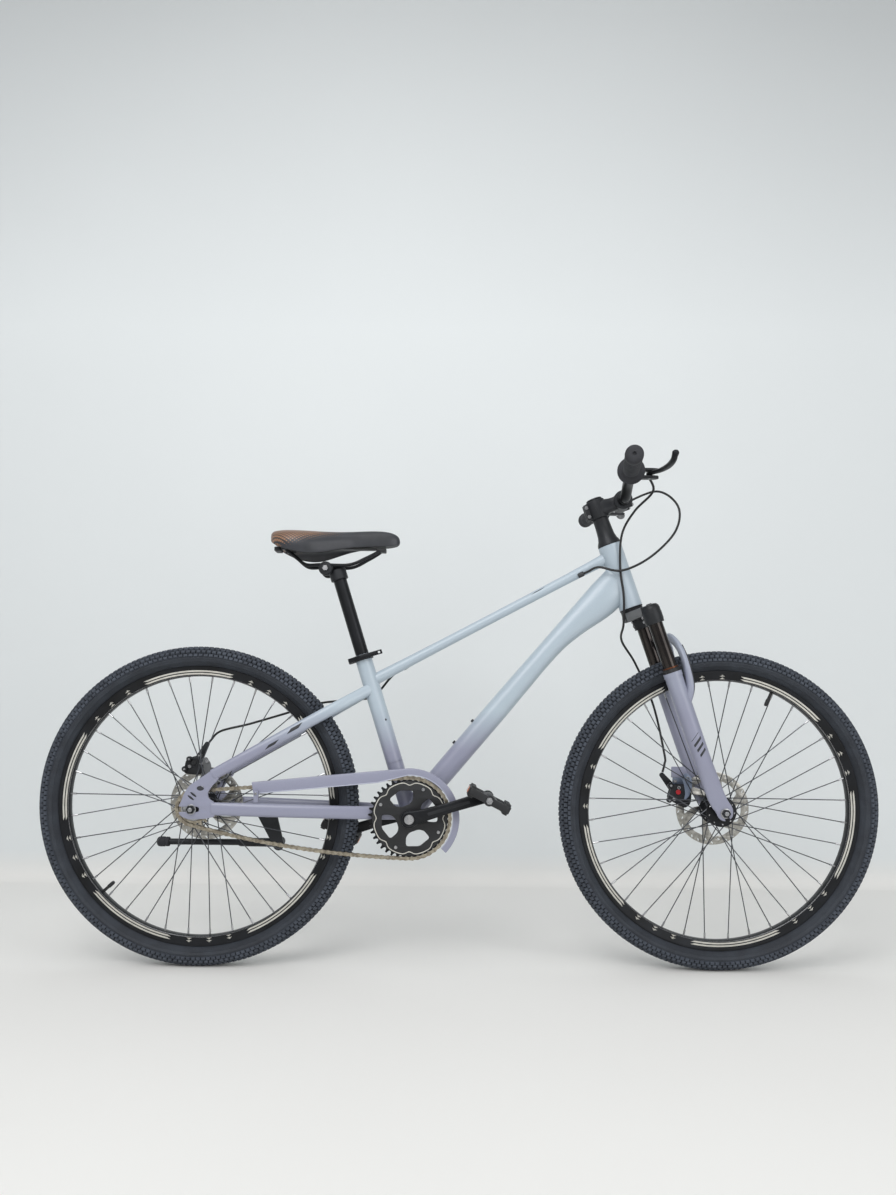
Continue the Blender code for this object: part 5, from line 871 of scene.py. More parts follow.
def down_tube(bm):
    along = (DOWN_TUBE_HEAD - BB).normalized()
    below = Vector((along.z, 0, -along.x))
    wide, deep = 0.021, 0.0235
    # share of the way up, drop below the straight line, half width and half depth
    shape = [(0.020, -0.006, wide, deep), (0.184, -0.008, wide, deep), (0.436, -0.0105, wide, deep),
             (0.674, -0.0125, wide, deep - 0.0015), (0.786, -0.008, wide, deep + 0.0035),
             (0.917, 0.0024, wide + 0.0025, deep + 0.0143), (0.997, -0.0036, wide - 0.0020, deep + 0.0065)]
    stations = [(BB.lerp(DOWN_TUBE_HEAD, t) + below * drop, w, d) for t, drop, w, d in shape]
    member(bm, stations, sides=36, square=2.3, steps=8)


def stays(bm):
    """Chainstays and seatstays on both sides."""
    # share of the way to the end plate, distance from the middle, half width and half depth
    lower = [(0.00, 0.0240, 0.0090, 0.0120), (0.10, 0.0310, 0.0080, 0.0135), (0.225, 0.0385, 0.0058, 0.0140),
             (0.37, 0.0475, 0.0080, 0.0140), (0.59, 0.0565, 0.0085, 0.0140), (0.84, 0.0645, 0.0080, 0.0140),
             (1.00, 0.0695, 0.0050, 0.0135)]
    upper = [(0.00, 0.0100, 0.0070, 0.0120), (0.10, 0.0220, 0.0075, 0.0120), (0.20, 0.0350, 0.0075, 0.0120),
             (0.28, 0.0420, 0.0075, 0.0120), (0.50, 0.0520, 0.0075, 0.0120), (0.80, 0.0635, 0.0070, 0.0120),
             (1.00, 0.0695, 0.0050, 0.0115)]
    for side in (RIGHT, LEFT):
        for start, end, rows, square in ((CHAINSTAY_START, CHAINSTAY_END, lower, 2.6),
                                         (SEATSTAY_START, SEATSTAY_END, upper, 2.3)):
            stations = [(start.lerp(end, t) + ACROSS * side * y, w, d) for t, y, w, d in rows]
            member(bm, stations, sides=24, square=square, steps=6)


def dropouts(bm):
    """Rear end plates: an open axle slot, a round hole and a slanted pair of slots."""
    outline = [(-0.027, -0.0055), (-0.022, -0.014), (-0.008, -0.0205), (0.030, -0.0195), (0.050, -0.0145),
               (0.050, 0.0140), (0.036, 0.0230), (0.034, 0.034), (0.042, 0.048), (0.058, 0.064),
               (0.044, 0.083), (0.0156, 0.063), (-0.004, 0.050), (-0.0156, 0.032), (-0.022, 0.014),
               (-0.027, 0.0055), (0.0125, 0.0055), (0.0165, 0.0035), (0.0165, -0.0035), (0.0125, -0.0055)]
    smooth = rounded(outline, 0.006, 4)
    slots = [leaning_oval((0.0190, 0.0440), 0.0075, 0.0050, 0.0, 20)]
    lean = math.radians(-38)
    for shift in (-0.0042, 0.0042):
        centre = (0.002 - shift * math.sin(lean), 0.0275 + shift * math.cos(lean))
        slots.append(leaning_oval(centre, 0.0080, 0.0022, lean, 16))
    for side in (RIGHT, LEFT):
        low, high = sorted((side * DROPOUT_INNER_Y, side * DROPOUT_OUTER_Y))
        side_slab(bm, [smooth] + slots, low, high, 0, 0.0008, REAR_AXLE)
        # a black sheet inside each plate, seen only through its holes: painted shade in the holes
        low, high = sorted((side * 0.0688, side * 0.0712))
        dark = [(0.036, 0.037), (0.010, 0.056), (-0.012, 0.036), (-0.010, 0.018), (0.012, 0.017)]
        side_slab(bm, [rounded(dark, 0.005)], low, high, 1, 0.0003, REAR_AXLE)


def frame_skin():
    """The painted frame: tubes, shells, stays and end plates, with cable ports, marks and bottle bolts."""
    bm = bmesh.new()
    wall = HEAD_TUBE_RADIUS - 0.0036
    ring = HEAD_TUBE_RADIUS
    long = HEAD_TUBE_LENGTH
    head_tube = [(wall, 0), (ring - 0.0005, 0), (ring, 0.0006), (ring, 0.010), (ring - 0.0003, 0.0125),
                 (ring - 0.0003, long - 0.0125), (ring, long - 0.010), (ring, long - 0.0006),
                 (ring - 0.0005, long), (wall, long)]
    lathe(bm, head_tube, HEAD_BOTTOM, STEER_UP, 0, 48, closed=True)
    down_tube(bm)
    thick = TOP_TUBE_RADIUS
    top_tube = [(TOP_TUBE_REAR + TOP_ALONG * 0.004, thick + 0.0005, thick + 0.002),
                (TOP_TUBE_REAR.lerp(TOP_TUBE_FRONT, 0.3), thick, thick),
                (TOP_TUBE_REAR.lerp(TOP_TUBE_FRONT, 0.8), thick, thick),
                (TOP_TUBE_FRONT, thick + 0.001, thick + 0.003)]
    member(bm, top_tube, sides=32, square=2.0, steps=8)
    seat_length = (SEAT_TOP - BB).length
    seat_bore = POST_RADIUS + 0.0003
    seat_tube = [(seat_bore, 0.120), (SEAT_TUBE_RADIUS, 0.120), (SEAT_TUBE_RADIUS, seat_length - 0.0004),
                 (SEAT_TUBE_RADIUS - 0.0004, seat_length), (seat_bore, seat_length)]
    lathe(bm, seat_tube, BB, SEAT_UP, 0, 40, closed=True)
    rod(bm, BB, BB + SEAT_UP * 0.122, SEAT_TUBE_RADIUS, 0, 40)
    shell = mirrored([(0.0175, BB_SHELL_HALF), (BB_SHELL_RADIUS - 0.0005, BB_SHELL_HALF),
                      (BB_SHELL_RADIUS, BB_SHELL_HALF - 0.0005)])
    lathe(bm, shell, BB, ACROSS, 0, 48, closed=True)
    stays(bm)
    dropouts(bm)
    bridge = SEATSTAY_START.lerp(SEATSTAY_END, 0.13)
    rod(bm, bridge - ACROSS * 0.026, bridge + ACROSS * 0.026, 0.006)
    low_bridge = BB.lerp(REAR_AXLE, 0.145) + Vector((0, 0, 0.008))
    rod(bm, low_bridge - ACROSS * 0.033, low_bridge + ACROSS * 0.033, 0.006)
    bush = [(0.0028, -0.008), (0.0058, -0.008), (0.0054, 0.0030), (0.0044, 0.0046), (0.0028, 0.0046)]
    for place, outside in ((cable_port, -0.036), (cable_exit, 0.036)):
        way = place(outside, 0.0235, 0.0100) - place(0, 0.0095, 0.006)
        lathe(bm, bush, place(0.000, 0.0095, 0.0062), way, 1, 24, closed=True)
    marks(bm)
    bottle_bosses(bm)
    piece("painted_frame", bm, ["paint", "print"], "frame", "frame")


def printed(bm, corners, mat):
    """A thin printed bar laid on the mesh as it is seen from the right, between these (x, z) corners."""
    surface_tree = BVHTree.FromBMesh(bm)
    steps, rows = 8, 4
    first, second, third, fourth = [Vector(corner) for corner in corners]
    lift = 0.00016
    rings = []
    for k in range(steps + 1):
        start, stop = first.lerp(second, k / steps), fourth.lerp(third, k / steps)
        ring = []
        for j in range(rows + 1):
            spot = start.lerp(stop, j / rows)
            ring.append(surface_tree.ray_cast(Vector((spot.x, -0.4, spot.y)), ACROSS)[0])
        rings.append([p - ACROSS * lift for p in ring] + [p + ACROSS * lift for p in reversed(ring)])
    skin(bm, rings, mat)


def on_line(start, end, x, above):
    """The (x, z) place on a line at this x, and a little above it."""
    place = start.lerp(end, (x - start.x) / (end.x - start.x))
    return (place.x, place.z + above)


def marks(bm):
    """Small plain dashes printed on the top tube and the right seat stay."""
    for start, end, x, low, high, half in ((TOP_TUBE_REAR, TOP_TUBE_FRONT, 0.1660, 0.0060, 0.0078, 0.0110),
                                           (SEATSTAY_START, SEATSTAY_END, -0.3460, -0.0010, 0.0068, 0.0120),
                                           (SEATSTAY_START, SEATSTAY_END, -0.3925, -0.0080, -0.0020, 0.0105)):
        corners = ((x - half - 0.004, low), (x + half - 0.004, low), (x + half + 0.004, high),
                   (x - half + 0.004, high))
        printed(bm, [on_line(start, end, at, above) for at, above in corners], 1)


def bottle_bosses(bm):
    """Two bolts for a bottle holder on the down tube, and a small flat disc on the seat tube."""
    surface_tree = BVHTree.FromBMesh(bm)
    along = (DOWN_TUBE_HEAD - BB).normalized()
    above = Vector((-along.z, 0, along.x))
    for x, z in ((-0.0149, 0.4877), (0.0238, 0.5347)):
        start = Vector((x, 0, z)) + above * 0.030
        hit, *_ = surface_tree.ray_cast(start, -above)
        bolt(bm, hit, above, 0.0036, 0.0042, 1)
    seat_spot = BB + SEAT_UP * ((0.530 - BB.z) / SEAT_UP.z) + SEAT_AHEAD * 0.0090
    hit, *_ = surface_tree.ray_cast(seat_spot - ACROSS * 0.2, ACROSS)
    rod(bm, hit, hit - ACROSS * 0.0006, 0.0024, 1)


# Stage, light and camera

WALL_Y = 0.92
CORNER_RADIUS = 0.05
CAMERA_PLACE = (-0.0255, -2.0, 0.565)
CAMERA_TURN = math.radians(-0.52)
CAMERA_LENS = 27.93
CAMERA_SHIFT = 0.090


def stage():
    """Pale floor, rounded corner and wall behind, three soft lamps and a pale world."""
    bm = bmesh.new()
    start = WALL_Y - CORNER_RADIUS
    rows = [(-3.2, 0.0), (-0.5, 0.0), (start, 0.0)]
    for turn in (20, 40, 60, 80):
        a = math.radians(turn)
        rows.append((start + CORNER_RADIUS * math.sin(a), CORNER_RADIUS - CORNER_RADIUS * math.cos(a)))
    rows += [(WALL_Y, CORNER_RADIUS), (WALL_Y, 1.2), (WALL_Y, 3.2)]
    made = [[bm.verts.new((x, y, z)) for x in (-4.5, 4.5)] for y, z in rows]
    for low, high in zip(made, made[1:]):
        face = bm.faces.new((low[0], low[1], high[1], high[0]))
        face.smooth = True
    mesh = plain_mesh(bm, "studio")
    finish, tree, shader, where = surface("painted_studio_board")
    look = bpy.context.scene.bike_colours
    height = node(tree, "ShaderNodeSeparateXYZ", {0: where}).outputs["Z"]
    share = remap(tree, height, 0.0, 1.0, 0.02, 0.10)
    tone = blend_colours(tree, share, (*look.floor, 1.0), (*look.wall, 1.0))
    # the wall darker toward its top: painted shade, the light falling off with height
    painted_shade_toward_top = remap(tree, height, 1.0, 0.74, 1.75, 2.75)
    tone = blend_colours(tree, 1.0, tone, painted_shade_toward_top, "MULTIPLY")
    cloud = remap(tree, noise(tree, where, 700.0, 1.0), 0.985, 1.0)
    tree.links.new(blend_colours(tree, 1.0, tone, cloud, "MULTIPLY"), shader.inputs["Base Color"])
    shader.inputs["Roughness"].default_value = 0.9
    # the board is clear from behind, so that a view from the left still sees the bike
    seen_from_behind = tree.nodes.new("ShaderNodeNewGeometry").outputs["Backfacing"]
    clear = tree.nodes.new("ShaderNodeBsdfTransparent")
    mix = tree.nodes.new("ShaderNodeMixShader")
    tree.links.new(seen_from_behind, mix.inputs[0])
    tree.links.new(shader.outputs[0], mix.inputs[1])
    tree.links.new(clear.outputs[0], mix.inputs[2])
    output = next(n for n in tree.nodes if n.type == "OUTPUT_MATERIAL")
    tree.links.new(mix.outputs[0], output.inputs["Surface"])
    mesh.materials.append(finish)
    obj = bpy.data.objects.new("studio", mesh)
    bpy.context.scene.collection.objects.link(obj)
    lamp("key", (-1.0, -2.6, 2.6), (0.0, 0.0, 0.45), 2.2, 50)
    lamp("fill", (2.0, -2.5, 1.5), (0.0, 0.2, 0.4), 2.0, 24)
    lamp("top", (-0.2, -0.9, 2.9), (0.0, 0.0, 0.0), 2.0, 10)
    world = bpy.data.worlds.new("soft room")
    bpy.context.scene.world = world
    world.use_nodes = True
    back = world.node_tree.nodes["Background"]
    back.inputs["Color"].default_value = srgb("#EDEFF1")
    back.inputs["Strength"].default_value = 0.56


def lamp(name, place, target, size, power):
    light = bpy.data.lights.new(name, "AREA")
    light.shape = "DISK"
    light.size = size
    light.energy = power
    obj = bpy.data.objects.new(name, light)
    obj.location = place
    obj.rotation_euler = (Vector(target) - Vector(place)).to_track_quat("-Z", "Y").to_euler()
    bpy.context.scene.collection.objects.link(obj)


def camera():
    """Camera square to the drive side, its view shifted up and turned by half a degree."""
    view = bpy.data.cameras.new("camera")
    view.sensor_fit = "VERTICAL"
    view.sensor_height = 36.0
    view.lens = CAMERA_LENS
    view.shift_y = CAMERA_SHIFT
    obj = bpy.data.objects.new("camera", view)
    obj.location = CAMERA_PLACE
    obj.rotation_euler = (math.radians(90), CAMERA_TURN, 0)
    bpy.context.scene.collection.objects.link(obj)
    bpy.context.scene.camera = obj
    bpy.context.scene.view_settings.view_transform = "Standard"


def carve(bm, tools):
    """Cut closed shapes out of a mesh with an exact boolean."""
    for solid in (bm, tools):
        bmesh.ops.recalc_face_normals(solid, faces=solid.faces)
    base = bpy.data.objects.new("base", plain_mesh(bm))
    cutter = bpy.data.objects.new("cutter", plain_mesh(tools))
    for obj in (base, cutter):
        bpy.context.scene.collection.objects.link(obj)
    work = base.modifiers.new("cut", "BOOLEAN")
    work.object = cutter
    work.operation = "DIFFERENCE"
    work.solver = "EXACT"
    bpy.context.view_layer.update()
    mesh = bpy.data.meshes.new_from_object(base.evaluated_get(bpy.context.evaluated_depsgraph_get()))
    for obj in (base, cutter):
        bpy.data.objects.remove(obj, do_unlink=True)
    out = bmesh.new()
    out.from_mesh(mesh)
    bpy.data.meshes.remove(mesh)
    return out


# Fork

CROWN_TOP = 0.0036
SOCKET_RADIUS = 0.0195
SOCKET_BOTTOM = 0.050
STANCHION_END = 0.268


def fork_crown():
    """Forged crown with two capped sockets, grey side panels and pinch bolts."""
    bm = bmesh.new()
    outline = [(-0.0222, -0.012), (-0.0222, 0.012), (-0.014, 0.030), (0.004, 0.054), (0.025, 0.060),
               (0.041, 0.052), (0.037, 0.030), (0.026, 0.012)]
    outline += [(u, -y) for u, y in reversed(outline[2:])]
    plane = Matrix.Translation(HEAD_BOTTOM) @ STEER_MATRIX
    slab(bm, [rounded(outline, 0.010, 5)], 0.0195, plane @ Matrix.Translation((0, 0, -0.0178)), 0, 0.0022)
    bm.normal_update()
    for face in bm.faces:
        ahead = (face.calc_center_median() - HEAD_BOTTOM).dot(STEER_AHEAD)
        if ahead < 0.0080 and abs(face.normal.y) > 0.3:
            face.material_index = 1
    collar = [(0, CROWN_TOP), (0.0236, CROWN_TOP), (0.0240, 0.0042), (0.0240, 0.012), (0.0260, 0.020),
              (0, 0.020)]
    lathe(bm, collar, HEAD_BOTTOM, -STEER_UP, 0, 48)
    rod(bm, steer_point(0, CROWN_TOP + 0.01), steer_point(0, STEM_TOP + 0.003), 0.0142, 0, 32)
    for side in (RIGHT, LEFT):
        place = steer_point(LEG_OFFSET, 0, side * LEG_Y)
        lathe(bm, [(0, 0.0080), (0.0095, 0.0082), (0.0150, 0.0098), (0.0182, 0.0135), (SOCKET_RADIUS, 0.0190),
                   (SOCKET_RADIUS, SOCKET_BOTTOM - 0.0010), (0.0188, SOCKET_BOTTOM), (0.0153, SOCKET_BOTTOM),
                   (0.0153, 0.0245), (0, 0.0245)], place, -STEER_UP, 0, 48)
        lathe(bm, [(0.0188, 0.0255), (0.0199, 0.0262), (0.0201, 0.0275), (0.0201, 0.0430), (0.0199, 0.0443),
                   (0.0188, 0.0450)], place, -STEER_UP, 0, 48, closed=True)
        lathe(bm, [(0, 0.0062), (0.0052, 0.0064), (0.0060, 0.0075), (0.0062, 0.0090), (0, 0.0090)],
              place, -STEER_UP, 0, 24)
        for down in (0.030, 0.0395):
            place = steer_point(LEG_OFFSET - SOCKET_RADIUS, down, side * LEG_Y * 0.94)
            bolt(bm, place, -STEER_AHEAD, 0.0032, 0.0030, 2)
    piece("fork_crown_skin", bm, ["cast", "grey_cast", "steel"], "steering",
          "fork_crown")


def stanchions():
    top = LOWERS_TOP
    seal = [(0.0152, top - 0.0085), (0.0160, top - 0.0089), (0.0172, top - 0.0080), (0.0176, top - 0.0058),
            (0.0186, top - 0.0052), (0.0190, top - 0.0040), (0.0190, top - 0.0003), (0.0152, top - 0.0003)]
    bushing = [(0.0155, top - 0.0118), (0.0166, top - 0.0116), (0.0166, top - 0.0090), (0.0155, top - 0.0088)]
    for name, side in SIDES:
        bm = bmesh.new()
        y = side * LEG_Y
        foot = steer_point(LEG_OFFSET, STANCHION_END, y)
        rod(bm, steer_point(LEG_OFFSET, 0.0247, y), foot, STANCHION_RADIUS, 0, 48)
        piece("stanchion_tube_" + name, bm, ["stanchion"], "steering", "stanchion_" + name)
        bm = bmesh.new()
        for mat, profile in enumerate((seal, bushing)):
            lathe(bm, profile, steer_point(LEG_OFFSET, 0, y), -STEER_UP, mat, 48, closed=True)
        piece("wiper_seal_" + name, bm, ["plastic", "copper"], "fork_lowers",
              "dust_seal_" + name)


def lower_leg(bm, side):
    """Cast sleeve with its bore, flattening inward to the plate that holds the axle."""
    plate_half, plate_y = 0.0045, 0.0545
    # distance down, distance ahead, half length, half width, distance from the middle and squareness
    rows = spline([
        (LOWERS_TOP, LEG_OFFSET, 0.0195, 0.0195, LEG_Y, 2.0),
        (LOWERS_TOP + 0.010, LEG_OFFSET, 0.0195, 0.0195, LEG_Y, 2.0),
        (LOWERS_TOP + 0.018, LEG_OFFSET, 0.0186, 0.0186, LEG_Y, 2.0),
        (FORK_LENGTH - 0.174, LEG_OFFSET, 0.0185, 0.0185, LEG_Y, 2.0),
        (FORK_LENGTH - 0.124, LEG_OFFSET, 0.0182, 0.0172, LEG_Y, 2.1),
        (FORK_LENGTH - 0.086, LEG_OFFSET + 0.001, 0.0184, 0.0115, LEG_Y, 2.5),
        (FORK_LENGTH - 0.032, FORK_OFFSET - 0.006, 0.0186, plate_half + 0.0012, plate_y + 0.0012, 3.0),
        (FORK_LENGTH - 0.008, FORK_OFFSET, 0.0180, plate_half, plate_y, 3.2),
        (FORK_LENGTH + 0.004, FORK_OFFSET, 0.0162, plate_half, plate_y, 3.2),
        (FORK_LENGTH + 0.012, FORK_OFFSET, 0.0118, plate_half - 0.0003, plate_y, 2.8),
        (FORK_LENGTH + 0.016, FORK_OFFSET, 0.0050, plate_half - 0.0008, plate_y, 2.6)], 6)
    sides = 32
    bore = STANCHION_RADIUS + 0.0003
    rings = [[steer_point(LEG_OFFSET + a, down, side * (LEG_Y + b)) for a, b in oval(sides, bore, bore)]
             for down in (0.344, LOWERS_TOP)]
    for down, ahead, half_u, half_y, y, square in rows:
        section = oval(sides, half_u, half_y, square)
        rings.append([steer_point(ahead + a, down, side * (y + b)) for a, b in section])
    skin(bm, rings)


def fork_lowers():
    """Both cast legs, the arch bowed over the tyre, the brake mount and plain printed dashes."""
    bm = bmesh.new()
    for side in (RIGHT, LEFT):
        lower_leg(bm, side)
    low = steer_point(FORK_OFFSET, FORK_LENGTH)
    reach = Matrix.Translation(low) @ STEER_MATRIX
    slot = bmesh.new()
    brick(slot, (0, 0, -0.0135), (0.0106, 0.2, 0.027), 0, reach, 0.0002)
    bm = carve(bm, slot)
    slot_end = bmesh.new()
    rod(slot_end, low - ACROSS * 0.1, low + ACROSS * 0.1, 0.0053, 0, 32)
    bm = carve(bm, slot_end)
    # half of the arch: distance ahead, height above the axle, distance from the middle, two half sizes
    half = [(0.030, 0.242, LEG_Y, 0.0090, 0.012), (0.0500, 0.274, LEG_Y + 0.001, 0.0085, 0.013),
            (0.0585, 0.324, 0.0550, 0.0070, 0.012), (0.0600, 0.362, 0.0400, 0.0065, 0.011),
            (0.0560, 0.384, 0.0160, 0.0065, 0.010)]
    stations = [(steer_point(u, FORK_LENGTH - above, -y), a, b) for u, above, y, a, b in half]
    stations += [(steer_point(u, FORK_LENGTH - above, y), a, b) for u, above, y, a, b in reversed(half)]
    member(bm, stations, 0, 24, 2.6, STEER_AHEAD, 8)
    for side in (RIGHT, LEFT):
        inner = [(steer_point(u + 0.0052, FORK_LENGTH - above, side * (y + 0.0045)), a * 0.42, b * 0.50)
                 for u, above, y, a, b in half[:4]]
        member(bm, inner, 1, 16, 2.6, STEER_AHEAD, 6)
    brick(bm, FRONT_AXLE + Vector((-0.062, 0.0530, 0.078)), (0.052, 0.0060, 0.024), 0, None, 0.0012)
    # a thin line and three bars, by place ahead of the leg's middle, distance down it, length and thickness
    for ahead, down, long, thick in ((-0.0120, 0.306, 0.0190, 0.0013), (-0.0100, 0.3150, 0.0185, 0.0058),
                                     (-0.0075, 0.3265, 0.0170, 0.0058), (-0.0050, 0.3380, 0.0150, 0.0058)):
        far = down - long * 0.76
        corners = [(ahead, down), (ahead + long, far), (ahead + long, far + thick), (ahead, down + thick)]
        places = [steer_point(LEG_OFFSET + u, v) for u, v in corners]
        printed(bm, [(place.x, place.z) for place in places], 1)
    piece("fork_lowers_skin", bm, ["leg_paint", "print"], "fork_lowers", "fork_lowers",
          sharp=40)


def headset():
    bm = bmesh.new()
    lathe(bm, [(0.0150, 0.0003), (0.0250, 0.0003), (0.0252, 0.0008), (0.0246, CROWN_TOP - 0.0005),
               (0.0150, CROWN_TOP - 0.0005)], HEAD_BOTTOM, -STEER_UP, 0, 48, closed=True)
    piece("lower_race", bm, ["cast"], "frame", "headset_lower")
    bm = bmesh.new()
    top = -STEM_BOTTOM - 0.0003
    foot = HEAD_TUBE_LENGTH + 0.0005
    lathe(bm, [(0.0148, foot), (0.0245, foot), (0.0250, foot + 0.001), (0.0240, foot + 0.006),
               (0.0205, foot + 0.013), (0.0182, foot + 0.022), (0.0172, foot + 0.036), (0.0166, top - 0.008),
               (0.0168, top - 0.0075), (0.0168, top - 0.0005), (0.0163, top), (0.0148, top)],
          HEAD_BOTTOM, STEER_UP, 0, 48, closed=True)
    piece("headset_cone", bm, ["cast"], "steering", "headset_cover")


def fork():
    fork_crown()
    stanchions()
    fork_lowers()
    headset()


# Drivetrain

def around(centre, radius, angle):
    return Vector((centre.x + radius * math.cos(angle), 0, centre.z + radius * math.sin(angle)))


def sag_pins(start, end, count):
    """Pins of equal pitch hanging from start to end in a shallow arc below the straight line."""
    span = (end - start).length
    low, high = 1e-6, 0.3
    for _ in range(60):
        bend = (low + high) / 2
        if CHAIN_PITCH * math.sin(count * bend / 2) / math.sin(bend / 2) > span:
            low = bend
        else:
            high = bend
    heading = math.atan2(end.z - start.z, end.x - start.x) - (count - 1) * bend / 2
    pins = [start]
    for _ in range(count - 1):
        pins.append(pins[-1] + radial(1, heading) * CHAIN_PITCH)
        heading += bend
    return pins


def chain_pins():
    """All pins in order, and the angles at which the sprockets' pins start."""
    line = REAR_AXLE - BB
    span = line.length
    along = line / span
    normal = Vector((-along.z, 0, along.x))
    if normal.z < 0:
        normal = -normal
    share = (RING_RADIUS - COG_RADIUS) / span
    normal = along * share + normal * math.sqrt(1 - share * share)
    run = Vector((normal.z, 0, -normal.x))
    if run.x > 0:
        run = -run
    top_angle = math.atan2(normal.z, normal.x)
    ring_step = math.tau / RING_TEETH
    cog_step = math.tau / COG_TEETH
    ring = [around(BB, RING_RADIUS, top_angle - k * ring_step) for k in range(round(math.pi / ring_step) + 2)]
    straight = int(math.sqrt(span ** 2 - (RING_RADIUS - COG_RADIUS) ** 2) / CHAIN_PITCH)
    top = [BB + normal * RING_RADIUS + run * CHAIN_PITCH * k for k in range(1, straight + 1)]
    landing = top_angle
    while (around(REAR_AXLE, COG_RADIUS, landing) - top[-1]).length < CHAIN_PITCH:
        landing += 0.0002
    cog = [around(REAR_AXLE, COG_RADIUS, landing + k * cog_step) for k in range(round(math.pi / cog_step))]
    count = int((ring[-1] - cog[-1]).length / CHAIN_PITCH) + 1
    if (len(ring) + len(top) + len(cog) + count) % 2 == 0:
        count += 1
    bottom = sag_pins(cog[-1], ring[-1], count)[1:]
    return ring[::-1] + top + cog + bottom, top_angle, landing


PINS, RING_PIN_ANGLE, COG_PIN_ANGLE = chain_pins()


def link_plate(bm, y_low, y_high):
    """A waisted side plate with a round end at each pin."""
    outline = []
    for end, turns in ((0.0, (80, 125, 180, 235, 280)), (CHAIN_PITCH, (-100, -55, 0, 55, 100))):
        for turn in turns:
            a = math.radians(turn)
            outline.append((end + 0.0043 * math.cos(a), 0.0043 * math.sin(a)))
    outline.insert(5, (CHAIN_PITCH / 2, -0.0030))
    outline.append((CHAIN_PITCH / 2, 0.0030))
    for y in (y_low, y_high):
        bm.faces.new([bm.verts.new((x, y, z)) for x, z in outline])
    bm.verts.ensure_lookup_table()
    count = len(outline)
    low, high = bm.verts[-2 * count:-count], bm.verts[-count:]
    for i in range(count):
        j = (i + 1) % count
        bm.faces.new((low[i], low[j], high[j], high[i]))


def chain():
    """Roller chain: waisted outer and inner links by turns, with rollers and pins that stand out."""
    bm = bmesh.new()
    for outer in (0, 1):
        link = bmesh.new()
        offset = 0.0034 if outer else 0.0022
        for side in (RIGHT, LEFT):
            link_plate(link, side * offset - 0.00045, side * offset + 0.00045)
        for end in (0.0, CHAIN_PITCH):
            reach, radius = (0.0043, 0.0017) if outer else (0.0019, 0.0037)
            lathe(link, mirrored([(0, reach), (radius, reach)]), (end, 0, 0), ACROSS, 0, 8)
        bmesh.ops.remove_doubles(link, verts=link.verts, dist=1e-6)
        carrier = bpy.data.objects.new("link", plain_mesh(link))
        bpy.context.scene.collection.objects.link(carrier)
        points = bpy.data.meshes.new("pins")
        places = []
        turns = []
        for i in range(outer, len(PINS), 2):
            here, following = PINS[i], PINS[(i + 1) % len(PINS)]
            places.append(here - ACROSS * CHAINLINE)
            turns.append(-math.atan2(following.z - here.z, following.x - here.x))
        points.from_pydata(places, [], [])
        points.attributes.new("turn", "FLOAT", "POINT").data.foreach_set("value", turns)
        add_mesh(bm, grow(LINKS, points, {"Link": carrier, "Finish": FINISH["chain"]}))
        bpy.data.objects.remove(carrier, do_unlink=True)
    piece("roller_chain", bm, ["chain"], "frame", "chain", sharp=30)


def teeth(pitch_radius, count, pin_angle):
    """Each tooth stands midway between two chain pins, with a faceted hollow where each roller sits."""
    step = math.tau / count
    outline = []
    for k in range(count):
        middle = pin_angle + step * (k + 0.5)
        for radius, half in ((-0.0050, -0.0044), (-0.0020, -0.0028), (0.0018, -0.0021), (0.0028, -0.0012),
                             (0.0028, 0.0012), (0.0018, 0.0021), (-0.0020, 0.0028), (-0.0050, 0.0044)):
            size = pitch_radius + radius
            outline.append(polar(size, middle + half / size))
    return outline


DISC_LOW = 0.0494
DISC_HIGH = 0.0524
SPROCKET_HALF = 0.0011


